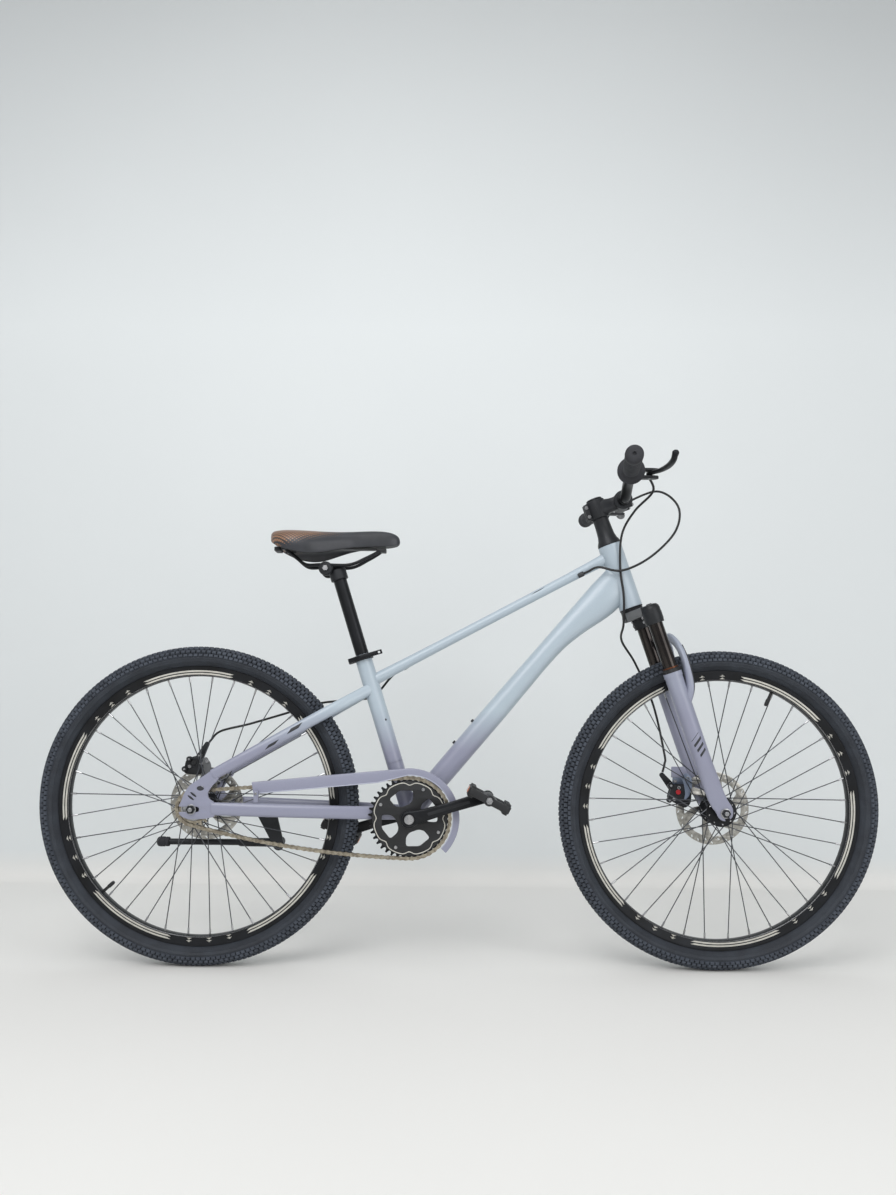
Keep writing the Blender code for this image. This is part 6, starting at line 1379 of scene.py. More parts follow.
def chainset():
    """Toothed ring, guard disc with four windows and a scalloped line, cranks, spindle and bearing cups."""
    bm = bmesh.new()
    side_slab(bm, [teeth(RING_RADIUS, RING_TEETH, RING_PIN_ANGLE), ring_points(0.0622, 96)],
              -CHAINLINE - SPROCKET_HALF, -CHAINLINE + SPROCKET_HALF, 0, 0.0003, BB)
    piece("toothed_ring", bm, ["anodised"], "crank", "chainring")
    bm = bmesh.new()
    loops = [ring_points(0.0785, 120)]
    for k in range(4):
        middle = math.radians(20 + 90 * k)
        corners = [(0.0300, -20), (0.0300, 20), (0.0400, 30), (0.0590, 27), (0.0620, 0), (0.0590, -27),
                   (0.0400, -30)]
        loops.append(rounded([polar(r, middle + math.radians(a)) for r, a in corners], 0.006, 5))
    side_slab(bm, loops, -DISC_HIGH, -DISC_LOW, 0, 0.0006, BB)
    lathe(bm, [(0.0084, DISC_LOW), (0.0190, DISC_LOW), (0.0186, 0.0575), (0.0172, 0.0630), (0.0166, 0.0636),
               (0.0084, 0.0636)], BB, -ACROSS, 0, 40, closed=True)
    line = []
    for half in (0.0010, -0.0010):
        loop = []
        for i in range(240):
            angle = math.tau * i / 240
            offset = (angle + math.pi / 8) % (math.pi / 4) - math.pi / 8
            radius = 0.0762 - 0.0062 * math.exp(-(offset / 0.12) ** 2) + half
            loop.append(polar(radius, angle))
        line.append(loop)
    side_slab(bm, line, -DISC_HIGH - 0.00015, -DISC_HIGH + 0.0005, 1, 0.00005, BB)
    screws = bmesh.new()
    bolt(screws, BB + Vector((0.0672, -DISC_HIGH + 0.0002, 0.0)), -ACROSS, 0.0036, 0.0020)
    repeat(bm, screws, 4, BB, "steel", 2, math.radians(-65))
    piece("guard_disc", bm, ["plastic", "decal", "steel"], "crank", "chainring_guard")
    for name, side, ahead in (("crank_right", RIGHT, CRANK_AHEAD), ("crank_left", LEFT, -CRANK_AHEAD)):
        crank_arm(name, side, ahead)
    bm = bmesh.new()
    face = 0.0740
    spindle = [(0, 0.0), (0.0078, 0.0), (0.0078, face + 0.0003), (0.0100, face + 0.0003),
               (0.0106, face + 0.0010), (0.0104, face + 0.0026), (0.0098, face + 0.0031),
               (0.0052, face + 0.0031), (0.0048, face + 0.0012), (0, face + 0.0012)]
    for side in (RIGHT, LEFT):
        lathe(bm, spindle, BB, ACROSS * side, 0, 36)
    piece("spindle_and_bolts", bm, ["steel"], "crank", "bb_spindle")
    for name, side in (("bb_cup_right", RIGHT), ("bb_cup_left", LEFT)):
        bm = bmesh.new()
        lathe(bm, [(0.0086, 0.0343), (0.0205, 0.0343), (0.0205, 0.0362), (0.0198, 0.0368), (0.0086, 0.0368)],
              BB, ACROSS * side, 0, 40, closed=True)
        piece(name + "_ring", bm, ["cast"], "frame", name)


def crank_arm(name, side, ahead):
    """Tapered forged arm with eased edges, a bolt recess and a long dark strip just proud of its face."""
    bm = bmesh.new()
    across = Vector((-ahead.z, 0, ahead.x))

    def spot(shift, wide):
        place = ahead * shift + across * wide
        return (place.x, place.z)

    outline = [spot(*polar(0.0180, math.radians(a))) for a in range(60, 301, 12)]
    outline += [spot(0.034, -0.0128), spot(0.090, -0.0108)]
    outline += [spot(*polar(0.0125, math.radians(a), (CRANK_LENGTH, 0))) for a in range(-84, 85, 12)]
    outline += [spot(0.090, 0.0108), spot(0.034, 0.0128)]
    low, high = sorted((side * CRANK_INNER_Y, side * CRANK_OUTER_Y))
    eye = spot(CRANK_LENGTH, 0)
    side_slab(bm, [outline, ring_points(0.0112, 40), ring_points(0.0072, 32, eye)], low, high, 0, 0.0026, BB)
    boss = [(0.0084, 0.0643), (0.0118, 0.0643), (0.0118, 0.0738), (0.0084, 0.0738)]
    lathe(bm, boss, BB, ACROSS * side, 0, 40, closed=True)
    strip = [spot(0.040, -0.0034), spot(0.132, -0.0030), spot(0.132, 0.0030), spot(0.040, 0.0034)]
    low, high = sorted((side * 0.0765, side * 0.07815))
    side_slab(bm, [rounded(strip, 0.003)], low, high, 1, 0.0003, BB)
    piece(name + "_arm", bm, ["anodised", "cast"], "crank", name, sharp=50)


def pedals():
    """Moulded platforms with ribs and amber reflectors, on their axles."""
    for word, side, ahead in (("right", RIGHT, CRANK_AHEAD), ("left", LEFT, -CRANK_AHEAD)):
        eye = BB + ahead * CRANK_LENGTH
        out = ACROSS * side
        bm = bmesh.new()
        rod(bm, eye + out * 0.0650, eye + out * 0.0800, 0.0066, 0)
        shoulder = [(0, 0.0783), (0.0088, 0.0783), (0.0092, 0.0790), (0.0092, 0.0826), (0.0086, 0.0832),
                    (0, 0.0832)]
        lathe(bm, shoulder, eye, out, 0, 32)
        rod(bm, eye + out * 0.0815, eye + out * 0.1680, 0.0049, 0)
        hexagon_nut(bm, eye + out * 0.1658, out, 0.0072, 0.0042, 0)
        piece("pedal_axle_shaft_" + word, bm, ["steel"], "crank", "pedal_axle_" + word)
        place = Matrix.Translation(eye + out * 0.1245) @ Matrix.Rotation(math.radians(27), 4, "Y")
        bm = bmesh.new()
        rim_line = rounded([(-0.046, -0.041), (0.046, -0.041), (0.046, 0.041), (-0.046, 0.041)], 0.008, 5)
        hole = ((0.0150, -0.0320), (0.0330, -0.0320), (0.0330, 0.0320), (0.0150, 0.0320))
        holes = [rounded([(a * x, y) for x, y in hole], 0.003, 3) for a in (1, -1)]
        slab(bm, [rim_line] + holes, 0.0150, place, 0, 0.0014)
        lathe(bm, [(0.0054, -0.0405), (0.0100, -0.0405), (0.0112, -0.0380), (0.0118, 0.0), (0.0112, 0.0380),
                   (0.0100, 0.0405), (0.0054, 0.0405)], place.translation, ACROSS, 0, 32, closed=True)
        for ahead_of in (RIGHT, LEFT):
            for k in range(6):
                middle = (ahead_of * 0.0385, -0.0325 + 0.013 * k, 0)
                brick(bm, middle, (0.0105, 0.0052, 0.0232), 0, place, 0.0008)
            for k in range(4):
                middle = (ahead_of * 0.0240, -0.0240 + 0.016 * k, 0)
                brick(bm, middle, (0.0180, 0.0022, 0.0130), 0, place, 0.0004)
            brick(bm, (ahead_of * 0.0462, 0, 0), (0.0016, 0.0460, 0.0120), 1, place, 0.0005)
        piece("pedal_platform_" + word, bm, ["plastic", "amber"], "pedal_" + word,
              "pedal_" + word)


def freewheel():
    bm = bmesh.new()
    side_slab(bm, [teeth(COG_RADIUS, COG_TEETH, COG_PIN_ANGLE), ring_points(0.0262, 64)],
              -CHAINLINE - SPROCKET_HALF, -CHAINLINE + SPROCKET_HALF, 0, 0.0003, REAR_AXLE)
    lathe(bm, [(0.0121, 0.0400), (0.0256, 0.0400), (0.0264, 0.0408), (0.0264, 0.0540), (0.0254, 0.0555),
               (0.0225, 0.0560), (0.0215, 0.0552), (0.0160, 0.0552), (0.0155, 0.0568), (0.0121, 0.0568)],
          REAR_AXLE, -ACROSS, 1, 64, closed=True)
    piece("freewheel_cog", bm, ["chain", "steel"], "freewheel", "freewheel")


def chain_guard():
    """Painted side wall with an inward lip, over the top run and round the front of the ring."""
    wall_face = CHAINLINE + CHAIN_WIDTH / 2 + 0.0013
    wall = 0.0015
    rows = [((-0.436, 0.39901), (0.004, -0.0245)), ((-0.350, 0.40763), (0.0055, -0.0245)),
            ((-0.257, 0.4170), (0.007, -0.0245)), ((-0.178, 0.4245), (0.007, -0.0240))]
    pairs = [(edge, (edge[0] + step[0], edge[1] + step[1])) for edge, step in rows]
    for turn in range(92, -44, -3):
        c, s = math.cos(math.radians(turn)), math.sin(math.radians(turn))
        outer, inner = RING_RADIUS + 0.0200, RING_RADIUS + 0.0056
        pairs.append(((BB.x + outer * c, BB.z + outer * s), (BB.x + inner * c, BB.z + inner * s)))
    rings = []
    hems = []
    for (ox, oz), (ix, iz) in pairs:
        edge = Vector((ox, 0, oz))
        hem = Vector((ix, 0, iz))
        down = (hem - edge).normalized()
        under = edge + down * wall
        face = -wall_face - wall
        rings.append([hem + ACROSS * (face + 0.0004), hem - ACROSS * wall_face, under - ACROSS * wall_face,
                      under - ACROSS * (CHAINLINE - 0.0055), edge - ACROSS * (CHAINLINE - 0.0055),
                      edge + ACROSS * (face + 0.0016), edge + down * 0.0005 + ACROSS * (face + 0.0005),
                      edge + down * 0.0016 + ACROSS * face, hem - down * 0.0004 + ACROSS * face])
        hems.append(hem - down * 0.0008 - ACROSS * (wall_face + 0.0009))
    bm = bmesh.new()
    skin(bm, rings)
    # the hem wire takes the lighter finish, a painted highlight along the guard's edge
    tube(bm, hems, 0.0011, 1, 12)
    tab_x = -0.4255
    brick(bm, (tab_x, -wall_face - 0.0060, 0.3700), (0.0090, 0.0105, 0.0240), 0)
    bolt(bm, Vector((tab_x, -wall_face - 0.0115, 0.3760)), -ACROSS, 0.0030, 0.0020, 2)
    piece("chain_guard_skin", bm, ["paint", "lip", "steel"], "frame", "chain_guard",
          sharp=30)


def drivetrain():
    chain()
    chainset()
    pedals()
    freewheel()
    chain_guard()


# Cockpit

# distance from the middle, distance back and rise
BAR_STATIONS = [(0.0, 0.0, 0.0), (0.034, 0.0, 0.0), (0.040, 0.0, 0.0), (0.052, 0.0005, 0.001),
                (0.100, 0.0050, 0.0160), (GRIP_START - 0.030, 0.0120, 0.0185)]
CLAMP_Y = GRIP_START - 0.016


def bar_line(y):
    """Centre of the bar's straight outer part at a distance y from the middle."""
    y0, back0, up0 = BAR_STATIONS[-1]
    share = (y - y0) / (BAR_HALF - y0)
    return BAR_CENTRE + Vector((-(back0 + (0.034 - back0) * share), 0, up0 + (0.020 - up0) * share))


def bar_point(side, y):
    return bar_line(y) + ACROSS * side * y


def stem():
    """Forged stem: steerer clamp with two ears at the rear, short body and a bolted bar clamp."""
    bm = bmesh.new()
    middle = Matrix.Translation(steer_point(0, STEM_MIDDLE)) @ STEER_MATRIX
    low, high = -STEM_BOTTOM, -STEM_TOP
    collar = [(0.0147, low), (0.0192, low), (0.0203, low + 0.0012), (0.0205, low + 0.004),
              (0.0205, high - 0.004), (0.0203, high - 0.0012), (0.0192, high), (0.0147, high)]
    lathe(bm, collar, HEAD_BOTTOM, STEER_UP, 0, 48, closed=True)
    # distance ahead of the steering axis, half width and half depth of the short body
    shape = ((-0.006, 0.0200, 0.0192), (0.012, 0.0196, 0.0180), (0.030, 0.0165, 0.0150),
             (0.046, 0.0180, 0.0152))
    member(bm, [(steer_point(u, STEM_MIDDLE), w, d) for u, w, d in shape], 0, 32, 3.4, ACROSS, 5)
    clamp = mirrored([(0.0130, 0.0230), (0.0188, 0.0230), (0.0200, 0.0218)])
    lathe(bm, clamp, BAR_CENTRE, ACROSS, 0, 48, closed=True)
    for across in (0.0060, -0.0060):
        brick(bm, (-0.0222, across, 0), (0.0110, 0.0075, 0.0350), 0, middle, 0.0014)
    for up in (-0.0100, 0.0100):
        bolt(bm, middle @ Vector((-0.0230, -0.0096, up)), -ACROSS, 0.0038, 0.0034, 1)
        rod(bm, middle @ Vector((-0.0230, -0.0096, up)), middle @ Vector((-0.0230, 0.0100, up)), 0.0022, 1)
    for across in (-0.0165, 0.0165):
        for up in (-0.0150, 0.0150):
            place = BAR_CENTRE + STEER_AHEAD * 0.0152 + STEER_UP * up + ACROSS * across
            lathe(bm, [(0, -0.010), (0.0046, -0.010), (0.0046, 0), (0, 0)], place, STEER_AHEAD, 0, 24)
            bolt(bm, place, STEER_AHEAD, 0.0034, 0.0030, 1)
    piece("stem_body", bm, ["cast", "steel"], "steering", "stem")
    bm = bmesh.new()
    top = -STEM_TOP
    lathe(bm, [(0, top + 0.0003), (0.0172, top + 0.0003), (0.0175, top + 0.0010), (0.0168, top + 0.0036),
               (0.0150, top + 0.0046), (0.0072, top + 0.0048), (0.0062, top + 0.0034), (0, top + 0.0034)],
          HEAD_BOTTOM, STEER_UP, 0, 48)
    bolt(bm, steer_point(0, STEM_TOP - 0.0034), STEER_UP, 0.0042, 0.0026, 1)
    piece("steerer_cap", bm, ["anodised", "steel"], "steering", "top_cap")


def handlebar():
    """Riser bar, thicker where it is clamped, swept back inside the grips."""
    rows = [(*(BAR_CENTRE + Vector((-back, y, up))), 0.0127 if y <= 0.034 else BAR_RADIUS)
            for y, back, up in BAR_STATIONS]
    rows.append((*bar_point(LEFT, BAR_HALF - 0.006), BAR_RADIUS))
    rows = [(x, -y, z, r) for x, y, z, r in reversed(rows[1:])] + rows
    smooth = spline(rows, 8)
    bm = bmesh.new()
    tube(bm, [Vector(row[:3]) for row in smooth], 1.0, 0, 32, [row[3] for row in smooth])
    piece("riser_bar", bm, ["anodised"], "steering", "handlebar")


def grips():
    """Ribbed rubber grips with a broad inner flange and a domed end with a small dimple."""
    count = bpy.context.scene.bike_trim.grip_ribs
    for word, side in SIDES:
        start = bar_point(side, GRIP_START)
        along = bar_point(side, BAR_HALF) - start
        long = along.length
        profile = [(0.0117, 0), (0.0255, 0), (0.0268, 0.0009), (0.0270, 0.0024), (0.0262, 0.0040),
                   (0.0225, 0.0052), (0.0186, 0.0080), (0.0166, 0.0130)]
        for k in range(count):
            foot = 0.018 + (long - 0.044) * k / count
            rib = (long - 0.044) / count
            swell = 0.0009 * math.sin(math.pi * k / count)
            profile += [(0.0157 + swell, foot), (0.0163 + swell, foot + rib * 0.14),
                        (0.0163 + swell, foot + rib * 0.72), (0.0157 + swell, foot + rib * 0.86)]
        profile += [(0.0160, long - 0.0230), (0.0172, long - 0.0190), (0.0176, long - 0.0100),
                    (0.0172, long - 0.0040), (0.0150, long - 0.0012), (0.0100, long), (0.0040, long),
                    (0.0034, long - 0.0010), (0.0034, long - 0.0034), (0, long - 0.0036)]
        inner = [(0, long - 0.0044), (0.0117, long - 0.0044)]
        bm = bmesh.new()
        lathe(bm, inner + profile, start, along, 0, 48)
        piece("ribbed_grip_" + word, bm, ["grip"], "steering", "grip_" + word, sharp=40)


def lever_pivot(side):
    return bar_line(CLAMP_Y) + Vector((0.036, side * (GRIP_START - 0.013), -0.002))


def cable_way(side):
    """The line on which the cable leaves the lever's barrel, as long as the barrel."""
    return Vector((0.002, -side * 0.022, 0))


def brake_levers():
    """Clamp band and bracket with its barrel adjuster, and the curved blade with an upturned tip."""
    for word, side in SIDES:
        place = bar_point(side, CLAMP_Y)
        along = (bar_point(side, BAR_HALF) - place).normalized()
        hinge = lever_pivot(side)
        bm = bmesh.new()
        band = mirrored([(0.0120, 0.0085), (0.0155, 0.0085), (0.0163, 0.0078)])
        lathe(bm, band, place, along, 0, 40, closed=True)
        brick(bm, place + Vector((-0.0005, 0, 0.0165)), (0.0120, 0.0120, 0.0050), 0, None, 0.0012)
        bolt(bm, place + Vector((-0.0005, 0, 0.0180)), (0, 0, 1), 0.0030, 0.0026, 1)
        for up in (-0.0072, 0.0072):
            outline = rounded([(-0.0225, -0.0090), (0.0060, -0.0090), (0.0170, -0.0060), (0.0190, 0.0020),
                               (0.0120, 0.0085), (-0.0225, 0.0090)], 0.004, 4)
            slab(bm, [outline], 0.0056, Matrix.Translation(hinge + Vector((0, 0, up))), 0, 0.0012)
        brick(bm, hinge + Vector((-0.0190, 0, 0)), (0.0085, 0.0160, 0.0110), 0, None, 0.0014)
        rod(bm, hinge - Vector((0, 0, 0.0102)), hinge + Vector((0, 0, 0.0102)), 0.0030, 1)
        barrel = hinge + Vector((0.004, -side * 0.008, 0.0068))
        lathe(bm, [(0, 0), (0.0040, 0), (0.0040, 0.006), (0.0052, 0.0066), (0.0054, 0.0072), (0.0054, 0.0128),
                   (0.0050, 0.0136), (0.0036, 0.0140), (0.0034, 0.0205), (0.0028, 0.0219), (0, 0.0221)],
              barrel, cable_way(side), 0, 20)
        piece("lever_clamp_" + word, bm, ["cast", "steel"], "steering", "lever_bracket_" + word)
        # from the hinge: distance ahead, outward and up, then two half sizes
        shape = [(0.000, -0.004, 0.000, 0.0060, 0.0035), (0.004, 0.010, 0.0, 0.0058, 0.0036),
                 (0.016, 0.030, 0.0, 0.0058, 0.0042), (0.024, 0.060, 0.001, 0.0060, 0.0050),
                 (0.026, 0.088, 0.004, 0.0058, 0.0054), (0.025, 0.104, 0.009, 0.0058, 0.0054),
                 (0.025, 0.110, 0.0130, 0.0064, 0.0056), (0.025, 0.1125, 0.0156, 0.0040, 0.0034)]
        bm = bmesh.new()
        member(bm, [(hinge + Vector((a, side * y, up)), w, d) for a, y, up, w, d in shape], 0, 24, 2.4,
               Vector((1, 0, 0)), 6)
        piece("lever_blade_" + word, bm, ["anodised"], "brake_lever_" + word, "brake_lever_" + word,
              sharp=50)


def cockpit():
    stem()
    handlebar()
    grips()
    brake_levers()


# Seat

CLAMP_CENTRE = seat_point(-0.0205, POST_TOP + 0.0052)
RAIL_Z = CLAMP_CENTRE.z + 0.0080
SADDLE_HALF_WIDTH = 0.075
PAN_BOSS_DROP = 0.0400
SADDLE_REAR = seat_point(0, POST_TOP).x - 0.1395
SADDLE_TOP = seat_point(0, POST_TOP).z + 0.081
SADDLE_SECTIONS = [
    # distance from the rear, share of the half width, drop of the crown, drop of the lower edge
    (0.0000, 0.290, 0.0080, 0.0220), (0.0080, 0.700, 0.0020, 0.0340), (0.0400, 1.000, 0.0000, 0.0500),
    (0.0900, 0.930, 0.0015, 0.0600), (0.1350, 0.600, 0.0025, 0.0480), (0.1800, 0.350, 0.0005, 0.0360),
    (0.2300, 0.270, -0.0030, 0.0330), (0.2650, 0.200, 0.0020, 0.0310), (0.2760, 0.090, 0.0140, 0.0260),
]


def saddle_vinyl():
    """Polyurethane-coated vinyl with a fine leather grain, and copper dots that fade toward the nose."""
    made, tree, shader, where = surface("saddle_vinyl", 0.0, coat=0.15)
    spacing = bpy.context.scene.bike_trim.dot_spacing
    place = node(tree, "ShaderNodeSeparateXYZ", {0: where})
    aside = math_node(tree, "ABSOLUTE", place.outputs["Y"])
    drop = math_node(tree, "SUBTRACT", SADDLE_TOP, place.outputs["Z"])
    girth = math_node(tree, "ADD", aside, drop)
    flat = node(tree, "ShaderNodeCombineXYZ", {0: place.outputs["X"], 1: girth}).outputs[0]
    turned = node(tree, "ShaderNodeMapping", {"Vector": flat, "Rotation": (0, 0, math.radians(45))})
    grid = {"Vector": turned.outputs[0], "Scale": 1 / spacing, "Randomness": 0.0}
    cells = node(tree, "ShaderNodeTexVoronoi", grid, voronoi_dimensions="2D")
    ahead = remap(tree, place.outputs["X"], 1.0, 0.0, SADDLE_REAR + 0.020, SADDLE_REAR + 0.165)
    lower = remap(tree, drop, 0.0, 1.0, 0.012, 0.050)
    size = math_node(tree, "SUBTRACT", ahead, lower, use_clamp=True)
    size = remap(tree, size, 0.0, 0.36, 0.0, 0.45)
    dot = math_node(tree, "LESS_THAN", cells.outputs["Distance"], size)
    tone = remap(tree, noise(tree, where, 40.0), 0.0, 1.0)
    plain = blend_colours(tree, tone, srgb("#26282D"), srgb("#303238"))
    tree.links.new(blend_colours(tree, dot, plain, srgb("#A87C5A")), shader.inputs["Base Color"])
    pebbles = {"Vector": where, "Scale": 900.0}
    grain = node(tree, "ShaderNodeTexVoronoi", pebbles, feature="SMOOTH_F1").outputs[0]
    tree.links.new(remap(tree, grain, 0.40, 0.50, 0.1, 0.6), shader.inputs["Roughness"])
    relief(tree, shader, grain, 0.06, 0.4)
    return made


def saddle_rings():
    """The cage's rings, from the rear to the nose."""
    rings = []
    for along, wide, crown, edge in SADDLE_SECTIONS:
        x = SADDLE_REAR + along
        w = SADDLE_HALF_WIDTH * wide
        top = SADDLE_TOP - crown
        low = SADDLE_TOP - edge
        deep = top - low
        base = max(low, SADDLE_TOP - 0.034)
        half = [(0.0, top), (w * 0.30, top - deep * 0.01), (w * 0.62, top - deep * 0.07),
                (w * 0.90, top - deep * 0.24), (w * 1.01, top - deep * 0.55), (w * 0.99, low + deep * 0.16),
                (w * 0.97, low), (w * 0.92, low - 0.001), (w * 0.82, base), (0.0, base)]
        rings.append([Vector((x, y, z)) for y, z in half + [(-y, z) for y, z in reversed(half[1:-1])]])
    return rings


def saddle():
    """Padded saddle with a crowned top and drawn-in sides, the pan below it and its wire rails."""
    bm = bmesh.new()
    skin(bm, saddle_rings())
    cage = piece("saddle_cushion", bm, ["saddle", "plastic"], "seatpost", "saddle_cover",
                 sharp=180)
    for face in cage.data.polygons:
        face.material_index = 1 if face.normal.z < -0.8 else 0
    soft = cage.modifiers.new("soft", "SUBSURF")
    soft.levels = 3
    soft.render_levels = 3
    bm = bmesh.new()
    rings = []
    top = SADDLE_TOP - 0.0362
    for along, wide in ((0.024, 0.30), (0.050, 0.42), (0.100, 0.36), (0.150, 0.20), (0.200, 0.14),
                        (0.246, 0.13)):
        x = SADDLE_REAR + along
        w = SADDLE_HALF_WIDTH * wide
        section = ((-w, top), (w, top), (w * 0.85, top - 0.003), (-w * 0.85, top - 0.003))
        rings.append([Vector((x, y, z)) for y, z in section])
    skin(bm, rings)
    # blocks that hold the rails and stiffen the rear: distance from the rear, across, and size
    for along, y, size in ((0.036, -0.026, (0.022, 0.011, 0.0080)), (0.036, 0.026, (0.022, 0.011, 0.0080)),
                           (0.236, 0, (0.020, 0.026, 0.0080)), (0.014, 0, (0.014, 0.034, 0.0090))):
        brick(bm, (SADDLE_REAR + along, y, SADDLE_TOP - PAN_BOSS_DROP), size, 0, None, 0.0016)
    piece("saddle_pan", bm, ["plastic"], "seatpost", "saddle_base")
    bm = bmesh.new()
    half = 0.022
    side_line = [(0.034, half + 0.004, SADDLE_TOP - 0.0430), (0.052, half + 0.003, SADDLE_TOP - 0.056),
                 (0.076, half, RAIL_Z), (0.110, half, RAIL_Z), (0.168, half, RAIL_Z),
                 (0.205, half * 0.75, RAIL_Z + 0.016), (0.232, half * 0.42, SADDLE_TOP - 0.0430)]
    line = [(SADDLE_REAR + x, y, z) for x, y, z in side_line]
    line += [(x, -y, z) for x, y, z in reversed(line)]
    tube(bm, spline(line, 8), 0.0035, 0, 20)
    piece("saddle_rail_wire", bm, ["anodised"], "seatpost", "saddle_rails")


def post_and_clamp():
    """Anodised post, and the two-sided rail clamp with its serrated cheeks and its nuts."""
    bm = bmesh.new()
    rod(bm, seat_point(0, -0.110), seat_point(0, POST_TOP), POST_RADIUS, 0, 48, 0.0006)
    piece("seat_post_tube", bm, ["anodised"], "seatpost", "seatpost")
    bm = bmesh.new()
    lathe(bm, [(0.0146, POST_TOP - 0.024), (0.0180, POST_TOP - 0.024), (0.0188, POST_TOP - 0.0228),
               (0.0188, POST_TOP - 0.003), (0.0178, POST_TOP - 0.0015), (0.0146, POST_TOP - 0.0015)],
          SEAT_TOP, SEAT_UP, 0, 48, closed=True)
    profile = [(0, 0.0), (0.0110, 0.0), (0.0110, 0.0176), (0.0140, 0.0178), (0.0146, 0.0186),
               (0.0146, 0.0256), (0.0132, 0.0276), (0.0060, 0.0296), (0, 0.0298)]
    for side in (RIGHT, LEFT):
        out = ACROSS * side
        lathe(bm, profile, CLAMP_CENTRE, out, 0, 40)
        hexagon_nut(bm, CLAMP_CENTRE + out * 0.0292, out, 0.0064, 0.0040, 1)
        cheek = bmesh.new()
        middle = CLAMP_CENTRE + Vector((0.0140, side * 0.0221, 0))
        brick(cheek, middle, (0.0016, 0.0062, 0.0022), 0, None, 0.0003)
        repeat(bm, cheek, 28, CLAMP_CENTRE, "cast", 0)
    piece("rail_clamp", bm, ["cast", "steel"], "seatpost", "saddle_clamp")


def seat_collar():
    """Split collar with two ears and a flat lever that folds forward on the right."""
    middle = -0.0065
    bm = bmesh.new()
    plane = Matrix.Translation(seat_point(0, middle)) @ SEAT_MATRIX
    ear = [(-0.0230, 0.0066), (-0.0325, 0.0064), (-0.0325, 0.0014), (-0.0182, 0.0014)]
    outline = [polar(0.0215, math.radians(a)) for a in range(-144, 145, 8)] + ear
    outline += [polar(0.0183, math.radians(a)) for a in range(152, -153, -8)]
    outline += [(x, -y) for x, y in reversed(ear)]
    slab(bm, [outline], 0.0120, plane, 0, 0.0007)
    pin_x, pin_y = -0.0270, -0.0144
    rod(bm, seat_point(pin_x, middle, -0.0098), seat_point(pin_x, middle, 0.0100), 0.0026, 1)
    hexagon_nut(bm, seat_point(pin_x, middle, 0.0064), ACROSS, 0.0048, 0.0046, 1)
    piece("seat_collar_ring", bm, ["cast", "steel"], "frame", "seat_clamp", sharp=40)
    bm = bmesh.new()
    inside, outside = 0.0235, 0.0269
    root = [polar(0.0046, math.radians(a), (pin_x, pin_y)) for a in range(250, 60, -15)]
    turns = [math.radians(a) for a in range(228, 277, 6)]
    path = [polar(inside, a) for a in turns] + [(0.020, -inside - 0.001), (0.044, -inside + 0.002)]
    back = [(0.044, -outside + 0.002), (0.020, -outside - 0.001)]
    back += [polar(outside, a) for a in reversed(turns)]
    slab(bm, [root + path + back], 0.0095, plane, 0, 0.0009)
    hole = bmesh.new()
    middle = plane @ Vector((0.0375, -inside - 0.0012, 0))
    lathe(hole, mirrored([(0, 0.02), (0.0026, 0.02)]), middle, ACROSS, 0, 24)
    bm = carve(bm, hole)
    piece("collar_lever_blade", bm, ["anodised"], "seat_clamp_lever", "seat_clamp_lever",
          sharp=40)


def seat():
    saddle()
    post_and_clamp()
    seat_collar()


# Brakes

FRONT_ARM_PIVOT = Vector((-0.078, 0, 0.036))
FRONT_ARM_TIP = Vector((-0.107, 0, 0.071))
REAR_ARM_PIVOT = Vector((-0.026, 0, 0.090))
REAR_ARM_TIP = Vector((-0.004, 0, 0.130))


def caliper(wheel_centre, rotor_y, low, high, outline, arm_pivot, arm_face):
    """Two-part cast housing round the disc, with its pad adjuster, the arm's boss and body bolts."""
    bm = bmesh.new()
    smooth = rounded(outline, 0.009, 5)
    side_slab(bm, [smooth], low, rotor_y - 0.0023, 0, 0.0018, wheel_centre)
    side_slab(bm, [smooth], rotor_y + 0.0023, high, 0, 0.0018, wheel_centre)
    middle = Vector((sum(a for a, _ in outline) / len(outline), 0, sum(b for _, b in outline) / len(outline)))
    outward = middle.normalized()
    across = Vector((-outward.z, 0, outward.x))
    bridge = Matrix((outward, ACROSS, across)).transposed().to_4x4()
    rim_place = Matrix.Translation(wheel_centre + outward * 0.0895 + ACROSS * (low + high) / 2) @ bridge
    brick(bm, (0, 0, 0), (0.0110, high - low - 0.0010, 0.034), 0, rim_place, 0.0016)
    pad = wheel_centre + Vector((arm_pivot.x, 0, arm_pivot.z))
    lathe(bm, [(0, -0.0004), (0.0106, -0.0004), (0.0110, 0.0004), (0.0104, 0.0012), (0.0074, 0.0014),
               (0.0068, 0.0004), (0, 0.0004)], pad + ACROSS * low, -ACROSS, 0, 36)
    lathe(bm, [(0, 0.0002), (0.0054, 0.0002), (0.0056, 0.0016), (0.0048, 0.0024), (0.0024, 0.0026),
               (0.0020, 0.0018), (0, 0.0018)], pad + ACROSS * low, -ACROSS, 1, 12)
    if arm_face > high + 0.001:
        boss = arm_face - high
        profile = [(0, 0), (0.0128, 0), (0.0130, boss - 0.0010), (0.0120, boss), (0, boss)]
        lathe(bm, profile, pad + ACROSS * high, ACROSS, 0, 36)
    for offset in (-0.0135, 0.0135):
        place = wheel_centre + outward * 0.0880 + across * offset + ACROSS * low
        bolt(bm, place + ACROSS * 0.0010, -ACROSS, 0.0038, 0.0030, 2)
    return bm


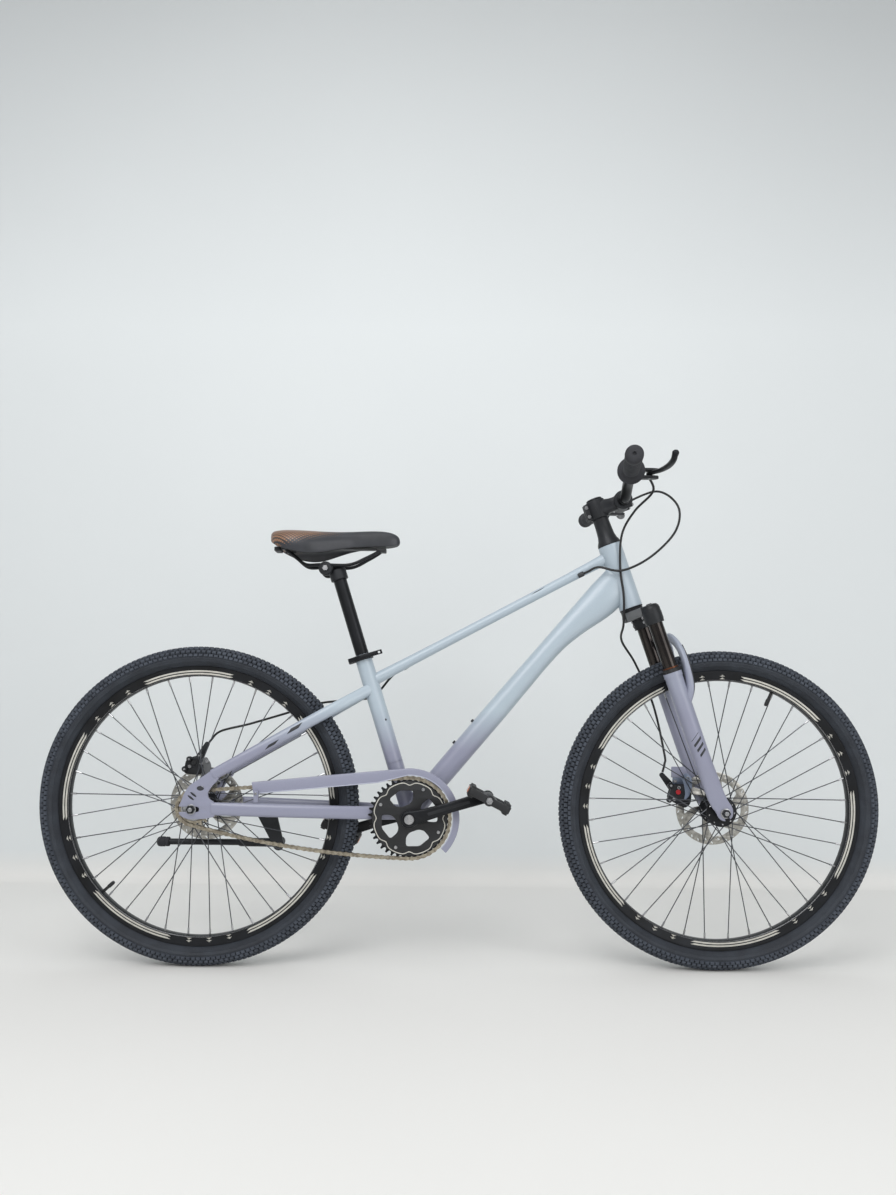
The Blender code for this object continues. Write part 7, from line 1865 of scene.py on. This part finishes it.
def details(bm, wheel_centre, plate_face, bolts, housing_face, barrels):
    """Adapter bolts on their plate, and small barrels on the housing with a bright pin in each."""
    for ahead, up in bolts:
        bolt(bm, wheel_centre + Vector((ahead, plate_face, up)), -ACROSS, 0.0042, 0.0034, 2)
    for ahead, up, radius in barrels:
        place = wheel_centre + Vector((ahead, housing_face + 0.004, up))
        barrel = [(0, 0), (radius, 0), (radius, 0.0084), (radius * 0.85, 0.0096), (0, 0.0096)]
        lathe(bm, barrel, place, -ACROSS, 0, 24)
        rod(bm, place - ACROSS * 0.0094, place - ACROSS * 0.0106, radius * 0.42, 2, 16)


def front_caliper():
    outline = [(-0.100, 0.020), (-0.062, 0.000), (-0.050, 0.010), (-0.048, 0.034), (-0.062, 0.054),
               (-0.092, 0.050)]
    bm = caliper(FRONT_AXLE, FRONT_ROTOR_Y, 0.0290, 0.0497, outline, FRONT_ARM_PIVOT, 0.0585)
    brick(bm, FRONT_AXLE + Vector((-0.070, 0.0520, 0.0578)), (0.030, 0.0080, 0.0158), 3, None, 0.0012)
    for ahead in (-0.081, -0.059):
        bolt(bm, FRONT_AXLE + Vector((ahead, 0.0478, 0.0585)), -ACROSS, 0.0040, 0.0036, 2)
    plate = [(-0.066, 0.016), (-0.055, 0.026), (-0.048, 0.046), (-0.049, 0.068), (-0.060, 0.079),
             (-0.073, 0.070), (-0.066, 0.052), (-0.063, 0.034)]
    side_slab(bm, [rounded(plate, 0.005, 4)], 0.0270, 0.0292, 3, 0.0007, FRONT_AXLE)
    details(bm, FRONT_AXLE, 0.0288, [(-0.058, 0.066)], 0.0324,
            [(-0.094, 0.050, 0.0064), (-0.097, 0.018, 0.0056)])
    piece("front_caliper_housing", bm, ["cast", "red", "steel", "blue_grey"],
          "fork_lowers", "front_caliper")


def rear_caliper():
    outline = [(-0.050, 0.066), (-0.014, 0.062), (-0.002, 0.074), (-0.004, 0.098), (-0.020, 0.106),
               (-0.044, 0.098)]
    bm = caliper(REAR_AXLE, REAR_ROTOR_Y, 0.0430, 0.0672, outline, REAR_ARM_PIVOT, 0.0672)
    plate = [(-0.018, 0.044), (0.004, 0.050), (0.014, 0.066), (0.012, 0.088), (0.002, 0.104), (-0.009, 0.098),
             (-0.004, 0.080), (-0.010, 0.062)]
    side_slab(bm, [rounded(plate, 0.005, 4)], 0.0402, 0.0428, 3, 0.0009, REAR_AXLE)
    details(bm, REAR_AXLE, 0.0402, [(0.003, 0.060), (0.004, 0.094)], 0.0430,
            [(-0.046, 0.076, 0.0062), (-0.036, 0.098, 0.0060), (-0.014, 0.106, 0.0054)])
    piece("rear_caliper_housing", bm, ["cast", "plastic", "steel", "grey_cast"], "frame",
          "rear_caliper")


def caliper_arm(end, wheel_centre, hinge, tip, inner):
    """Pressed arm with its pivot bolt and its cable anchor."""
    along = (tip - hinge).normalized()
    aside = Vector((-along.z, 0, along.x))
    outline = []
    outer = inner + 0.0028
    for centre, radius, turns in ((hinge, 0.0095, range(90, 271, 15)), (tip, 0.0055, range(-90, 91, 15))):
        for turn in turns:
            a = math.radians(turn)
            spot = centre + along * radius * math.cos(a) + aside * radius * math.sin(a)
            outline.append((spot.x, spot.z))
    bm = bmesh.new()
    side_slab(bm, [outline], inner, inner + 0.0030, 0, 0.0006, wheel_centre)
    bolt(bm, wheel_centre + hinge + ACROSS * outer, ACROSS, 0.0052, 0.0027, 1)
    hexagon_nut(bm, wheel_centre + tip + ACROSS * outer, ACROSS, 0.0044, 0.0027, 1)
    arm = end + "_caliper_arm"
    piece(end + "_actuating_arm", bm, ["cast", "steel"], arm, arm)


def along_route(route, count):
    """Points evenly along a smooth line through the route."""
    fine = spline(route, 16)
    reach = [0.0]
    for p, q in zip(fine, fine[1:]):
        reach.append(reach[-1] + (q - p).length)
    points = []
    j = 0
    for k in range(count):
        want = reach[-1] * k / (count - 1)
        while j < len(reach) - 2 and reach[j + 1] < want:
            j += 1
        points.append(fine[j].lerp(fine[j + 1], (want - reach[j]) / max(reach[j + 1] - reach[j], 1e-9)))
    return points


def cable_start(side):
    end = lever_pivot(side) + Vector((0.006, -side * 0.030, 0.0068))
    along = cable_way(side).normalized()
    return end + along * 0.0009, along


def cable_stop(wheel_centre, tip, y, along):
    return wheel_centre + Vector((tip.x, y, tip.z)) + along * (0.0055 + 0.0006)


def beside_stay(share, left, above):
    """This share of the way down the left seat stay, left of the middle and above its line."""
    return SEATSTAY_START.lerp(SEATSTAY_END, share) + Vector((0, left, above))


def front_cable():
    """From the right lever, down beside the head tube and the left leg to the front arm."""
    start, out = cable_start(RIGHT)
    upward = Vector((0.24, 0, 0.97)).normalized()
    stop = cable_stop(FRONT_AXLE, FRONT_ARM_TIP, 0.0615, upward)
    side = -(HEAD_TUBE_RADIUS + CABLE_RADIUS + 0.0015)
    route = [start, start + out * 0.014, BAR_CENTRE + Vector((0.0474, -0.095, 0.0011)),
             BAR_CENTRE + Vector((0.0174, -0.056, -0.0319)), HEAD_TOP + Vector((0.0202, -0.034, 0.0178)),
             HEAD_TOP + Vector((0.0182, side, -0.0522)), HEAD_BOTTOM + Vector((-0.0212, side, 0.0216)),
             steer_point(-0.030, 0.028, -0.018), steer_point(-0.036, 0.060, 0.030),
             steer_point(-0.014, 0.120, 0.078), steer_point(-0.006, 0.220, 0.0800),
             steer_point(-0.020, 0.330, 0.0700), stop + upward * 0.020, stop]
    cable("front_brake_hose", along_route(route, 110), "front_brake_cable")


def rear_cable():
    """From the left lever, through the top tube and along the left seat stay to the rear arm."""
    start, out = cable_start(LEFT)
    upward = Vector((0.70, 0.05, 0.71)).normalized()
    stop = cable_stop(REAR_AXLE, REAR_ARM_TIP, 0.0702, upward)
    route = [start, start + out * 0.016, BAR_CENTRE + Vector((0.0974, 0.095, 0.0451)),
             BAR_CENTRE + Vector((0.1294, 0.030, -0.0019)), HEAD_TOP + Vector((0.1362, -0.024, 0.0278)),
             HEAD_TOP + Vector((0.0802, -0.0400, -0.0302)), HEAD_TOP + Vector((0.0202, -0.0385, -0.0592)),
             cable_port(-0.036, 0.0235, 0.0100), cable_port(-0.012, 0.0140, 0.0075),
             cable_port(0.012, 0.0045, 0.0050), cable_port(0.045, 0, 0)]
    run = [cable_exit(-0.045, 0, 0), cable_exit(-0.012, 0.0045, 0.0050), cable_exit(0.012, 0.0140, 0.0075),
           cable_exit(0.036, 0.0235, 0.0100),
           beside_stay(0.0, 0.0340, -0.0170), beside_stay(0.157, 0.0500, 0.0031),
           beside_stay(0.372, 0.0610, 0.0350), beside_stay(0.618, 0.0715, 0.0566),
           beside_stay(0.8646, 0.0740, 0.0783), stop + upward * 0.034, stop]
    points = along_route(route, 80) + along_route(run, 80)
    cable("rear_brake_hose", points, "rear_brake_cable")


def cable(name, points, node_name):
    """A vinyl-sheathed brake cable along its points."""
    bm = bmesh.new()
    tube(bm, points, CABLE_RADIUS, 0, 14)
    obj = piece(name, bm, ["housing"], None, node_name, sharp=60)
    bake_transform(obj)


def brakes():
    front_caliper()
    rear_caliper()
    caliper_arm("front", FRONT_AXLE, FRONT_ARM_PIVOT, FRONT_ARM_TIP, 0.0588)
    caliper_arm("rear", REAR_AXLE, REAR_ARM_PIVOT, REAR_ARM_TIP, 0.0675)
    front_cable()
    rear_cable()


# Kickstand

STAND_PIVOT = pivot("kickstand_fold")
STAND_AXIS = Vector(JOINTS["kickstand_fold"]["axis"])
STAND_LENGTH = 0.262


def stand_point(behind):
    return STAND_PIVOT + Vector((-behind, 0, 0))


def kickstand():
    """Clamp plate and bracket on the left chainstay, round tapered leg and rubber foot, folded back."""
    bm = bmesh.new()
    x = STAND_PIVOT.x - 0.028
    share = (CHAINSTAY_START.x - x - 0.029) / (CHAINSTAY_START.x - CHAINSTAY_END.x)
    top = CHAINSTAY_START.lerp(CHAINSTAY_END, share).z - 0.0137
    brick(bm, (x, 0.0600, top - 0.0030), (0.058, 0.024, 0.0060), 0, None, 0.0012)
    for ahead in (-0.018, 0.018):
        bolt(bm, (x + ahead, 0.0600, top - 0.0058), (0, 0, -1), 0.0040, 0.0036, 1)
    cheek = [(x - 0.022, top - 0.004), (x + 0.024, top - 0.004)]
    for a, b in ((0.013, 0.0), (0.006, -0.012), (-0.010, -0.010), (-0.016, 0.006)):
        cheek.append((STAND_PIVOT.x + a, STAND_PIVOT.z + b))
    side_slab(bm, [rounded(cheek, 0.005)], 0.0555, 0.0625, 0, 0.0012)
    lathe(bm, [(0, 0), (0.0106, 0), (0.0110, 0.0006), (0.0110, 0.0075), (0, 0.0075)],
          STAND_PIVOT + STAND_AXIS * 0.0170, -STAND_AXIS, 0, 36)
    rod(bm, STAND_PIVOT + STAND_AXIS * 0.0170, STAND_PIVOT - STAND_AXIS * 0.0100, 0.0043, 1)
    piece("stand_bracket", bm, ["cast", "steel"], "frame", "kickstand_bracket")
    bm = bmesh.new()
    eye = mirrored([(0.0047, 0.0090), (0.0112, 0.0090), (0.0120, 0.0082)])
    lathe(bm, eye, STAND_PIVOT, STAND_AXIS, 0, 40, closed=True)
    lathe(bm, [(0.0080, 0.0070), (0.0098, 0.0110), (0.0098, 0.0300), (0.0094, 0.0860), (0.0084, 0.0900),
               (0.0070, 0.0915), (0.0068, STAND_LENGTH - 0.0070), (0, STAND_LENGTH - 0.0062)],
          STAND_PIVOT, (-1, 0, 0), 0, 36)
    piece("stand_leg", bm, ["cast"], "kickstand", "kickstand_leg")
    bm = bmesh.new()
    start = stand_point(STAND_LENGTH - 0.016)
    lathe(bm, [(0, 0.0105), (0.0083, 0.0105), (0.0083, 0), (0.0100, 0), (0.0106, 0.0008), (0.0108, 0.0060),
               (0.0100, 0.0075), (0.0100, 0.0088), (0.0112, 0.0100), (0.0114, 0.0180), (0.0104, 0.0240),
               (0.0070, 0.0268), (0, 0.0270)], start, (-1, 0, 0), 0, 36)
    piece("stand_foot", bm, ["grip"], "kickstand", "kickstand_foot")


# Settings that a user would change

class BikeWheelSettings(bpy.types.PropertyGroup):
    """Sizes and phases of the wheels."""
    knob_height: FloatProperty(name="Knob height", description="Height of a tread block above the carcass",
                               default=0.0034, unit="LENGTH")
    spoke_diameter: FloatProperty(name="Spoke diameter", description="Thickness of each spoke",
                                  default=0.0022, unit="LENGTH")
    front_phase: FloatProperty(name="Front print phase", description="Angle where the front rim's arcs start",
                               default=42.3)
    rear_phase: FloatProperty(name="Rear print phase", description="Angle where the rear rim's arcs start",
                              default=3.5)


class BikeColourSettings(bpy.types.PropertyGroup):
    """Colours of the paint and the studio."""
    paint_upper: FloatVectorProperty(name="Upper paint", description="Ice blue at the top of the frame",
                                     subtype="COLOR", size=3, default=srgb("#ABB8C2")[:3])
    paint_lower: FloatVectorProperty(name="Lower paint", description="Lavender at the foot of the frame",
                                     subtype="COLOR", size=3, default=srgb("#8C8EA1")[:3])
    floor: FloatVectorProperty(name="Floor", description="Colour of the studio floor",
                               subtype="COLOR", size=3, default=srgb("#ECEBE8")[:3])
    wall: FloatVectorProperty(name="Wall", description="Colour of the studio wall",
                              subtype="COLOR", size=3, default=srgb("#E3E7E8")[:3])


class BikeTrimSettings(bpy.types.PropertyGroup):
    """Ribs of the grips and dots of the saddle."""
    grip_ribs: IntProperty(name="Grip ribs", description="Ribs round each grip", default=9)
    dot_spacing: FloatProperty(name="Saddle dot spacing",
                               description="Distance between the saddle's printed dots",
                               default=0.0060, unit="LENGTH")


# Operators

class BIKE_OT_stage(bpy.types.Operator):
    """Set up the studio, the lamps, the camera and the finishes"""
    bl_idname = "bike.stage"
    bl_label = "Stage"

    def execute(self, context):
        make_finishes()
        stage()
        camera()
        return {"FINISHED"}


class BIKE_OT_wheels(bpy.types.Operator):
    """Build both wheels: tyres, rims, hubs, spokes, rotors, axles and valves"""
    bl_idname = "bike.wheels"
    bl_label = "Wheels"

    def execute(self, context):
        wheel("front")
        wheel("rear")
        return {"FINISHED"}


class BIKE_OT_frame(bpy.types.Operator):
    """Build the painted frame"""
    bl_idname = "bike.frame"
    bl_label = "Frame"

    def execute(self, context):
        frame_skin()
        return {"FINISHED"}


class BIKE_OT_fork(bpy.types.Operator):
    """Build the suspension fork and the headset"""
    bl_idname = "bike.fork"
    bl_label = "Fork"

    def execute(self, context):
        fork()
        return {"FINISHED"}


class BIKE_OT_drivetrain(bpy.types.Operator):
    """Build the chain, the sprockets, the cranks, the pedals and the chain guard"""
    bl_idname = "bike.drivetrain"
    bl_label = "Drivetrain"

    def execute(self, context):
        drivetrain()
        return {"FINISHED"}


class BIKE_OT_cockpit(bpy.types.Operator):
    """Build the stem, the handlebar, the grips and the brake levers"""
    bl_idname = "bike.cockpit"
    bl_label = "Cockpit"

    def execute(self, context):
        cockpit()
        return {"FINISHED"}


class BIKE_OT_seat(bpy.types.Operator):
    """Build the saddle, its rails and clamp, the seat post and its collar"""
    bl_idname = "bike.seat"
    bl_label = "Seat"

    def execute(self, context):
        seat()
        return {"FINISHED"}


class BIKE_OT_brakes(bpy.types.Operator):
    """Build the calipers, their arms and both brake cables"""
    bl_idname = "bike.brakes"
    bl_label = "Brakes"

    def execute(self, context):
        brakes()
        return {"FINISHED"}


class BIKE_OT_kickstand(bpy.types.Operator):
    """Build the folding kickstand and its bracket"""
    bl_idname = "bike.kickstand"
    bl_label = "Kickstand"

    def execute(self, context):
        kickstand()
        return {"FINISHED"}


class BIKE_PT_panel(bpy.types.Panel):
    """The steps in order, and the settings they use"""
    bl_idname = "BIKE_PT_panel"
    bl_label = "Hardtail mountain bike"
    bl_space_type = "VIEW_3D"
    bl_region_type = "UI"
    bl_category = "Bike"

    def draw(self, context):
        for operator in OPERATORS:
            self.layout.operator(operator.bl_idname)
        for name in SETTINGS:
            group = getattr(context.scene, name)
            for field in type(group).__annotations__:
                self.layout.prop(group, field)


SETTINGS = {
    "bike_wheels": BikeWheelSettings,
    "bike_colours": BikeColourSettings,
    "bike_trim": BikeTrimSettings,
}
OPERATORS = [BIKE_OT_stage, BIKE_OT_wheels, BIKE_OT_frame, BIKE_OT_fork, BIKE_OT_drivetrain, BIKE_OT_cockpit,
             BIKE_OT_seat, BIKE_OT_brakes, BIKE_OT_kickstand]


def register():
    for group in SETTINGS.values():
        bpy.utils.register_class(group)
    for name, group in SETTINGS.items():
        setattr(bpy.types.Scene, name, PointerProperty(type=group))
    for operator in OPERATORS:
        bpy.utils.register_class(operator)
    bpy.utils.register_class(BIKE_PT_panel)


def unregister():
    bpy.utils.unregister_class(BIKE_PT_panel)
    for operator in reversed(OPERATORS):
        bpy.utils.unregister_class(operator)
    for name, group in reversed(SETTINGS.items()):
        delattr(bpy.types.Scene, name)
        bpy.utils.unregister_class(group)


def main():
    register()
    steps = bpy.ops.bike
    for step in (steps.stage, steps.wheels, steps.frame, steps.fork, steps.drivetrain, steps.cockpit,
                 steps.seat, steps.brakes, steps.kickstand):
        if step() != {"FINISHED"}:
            raise RuntimeError("a step of the bike stopped early")


if __name__ == "__main__":
    main()
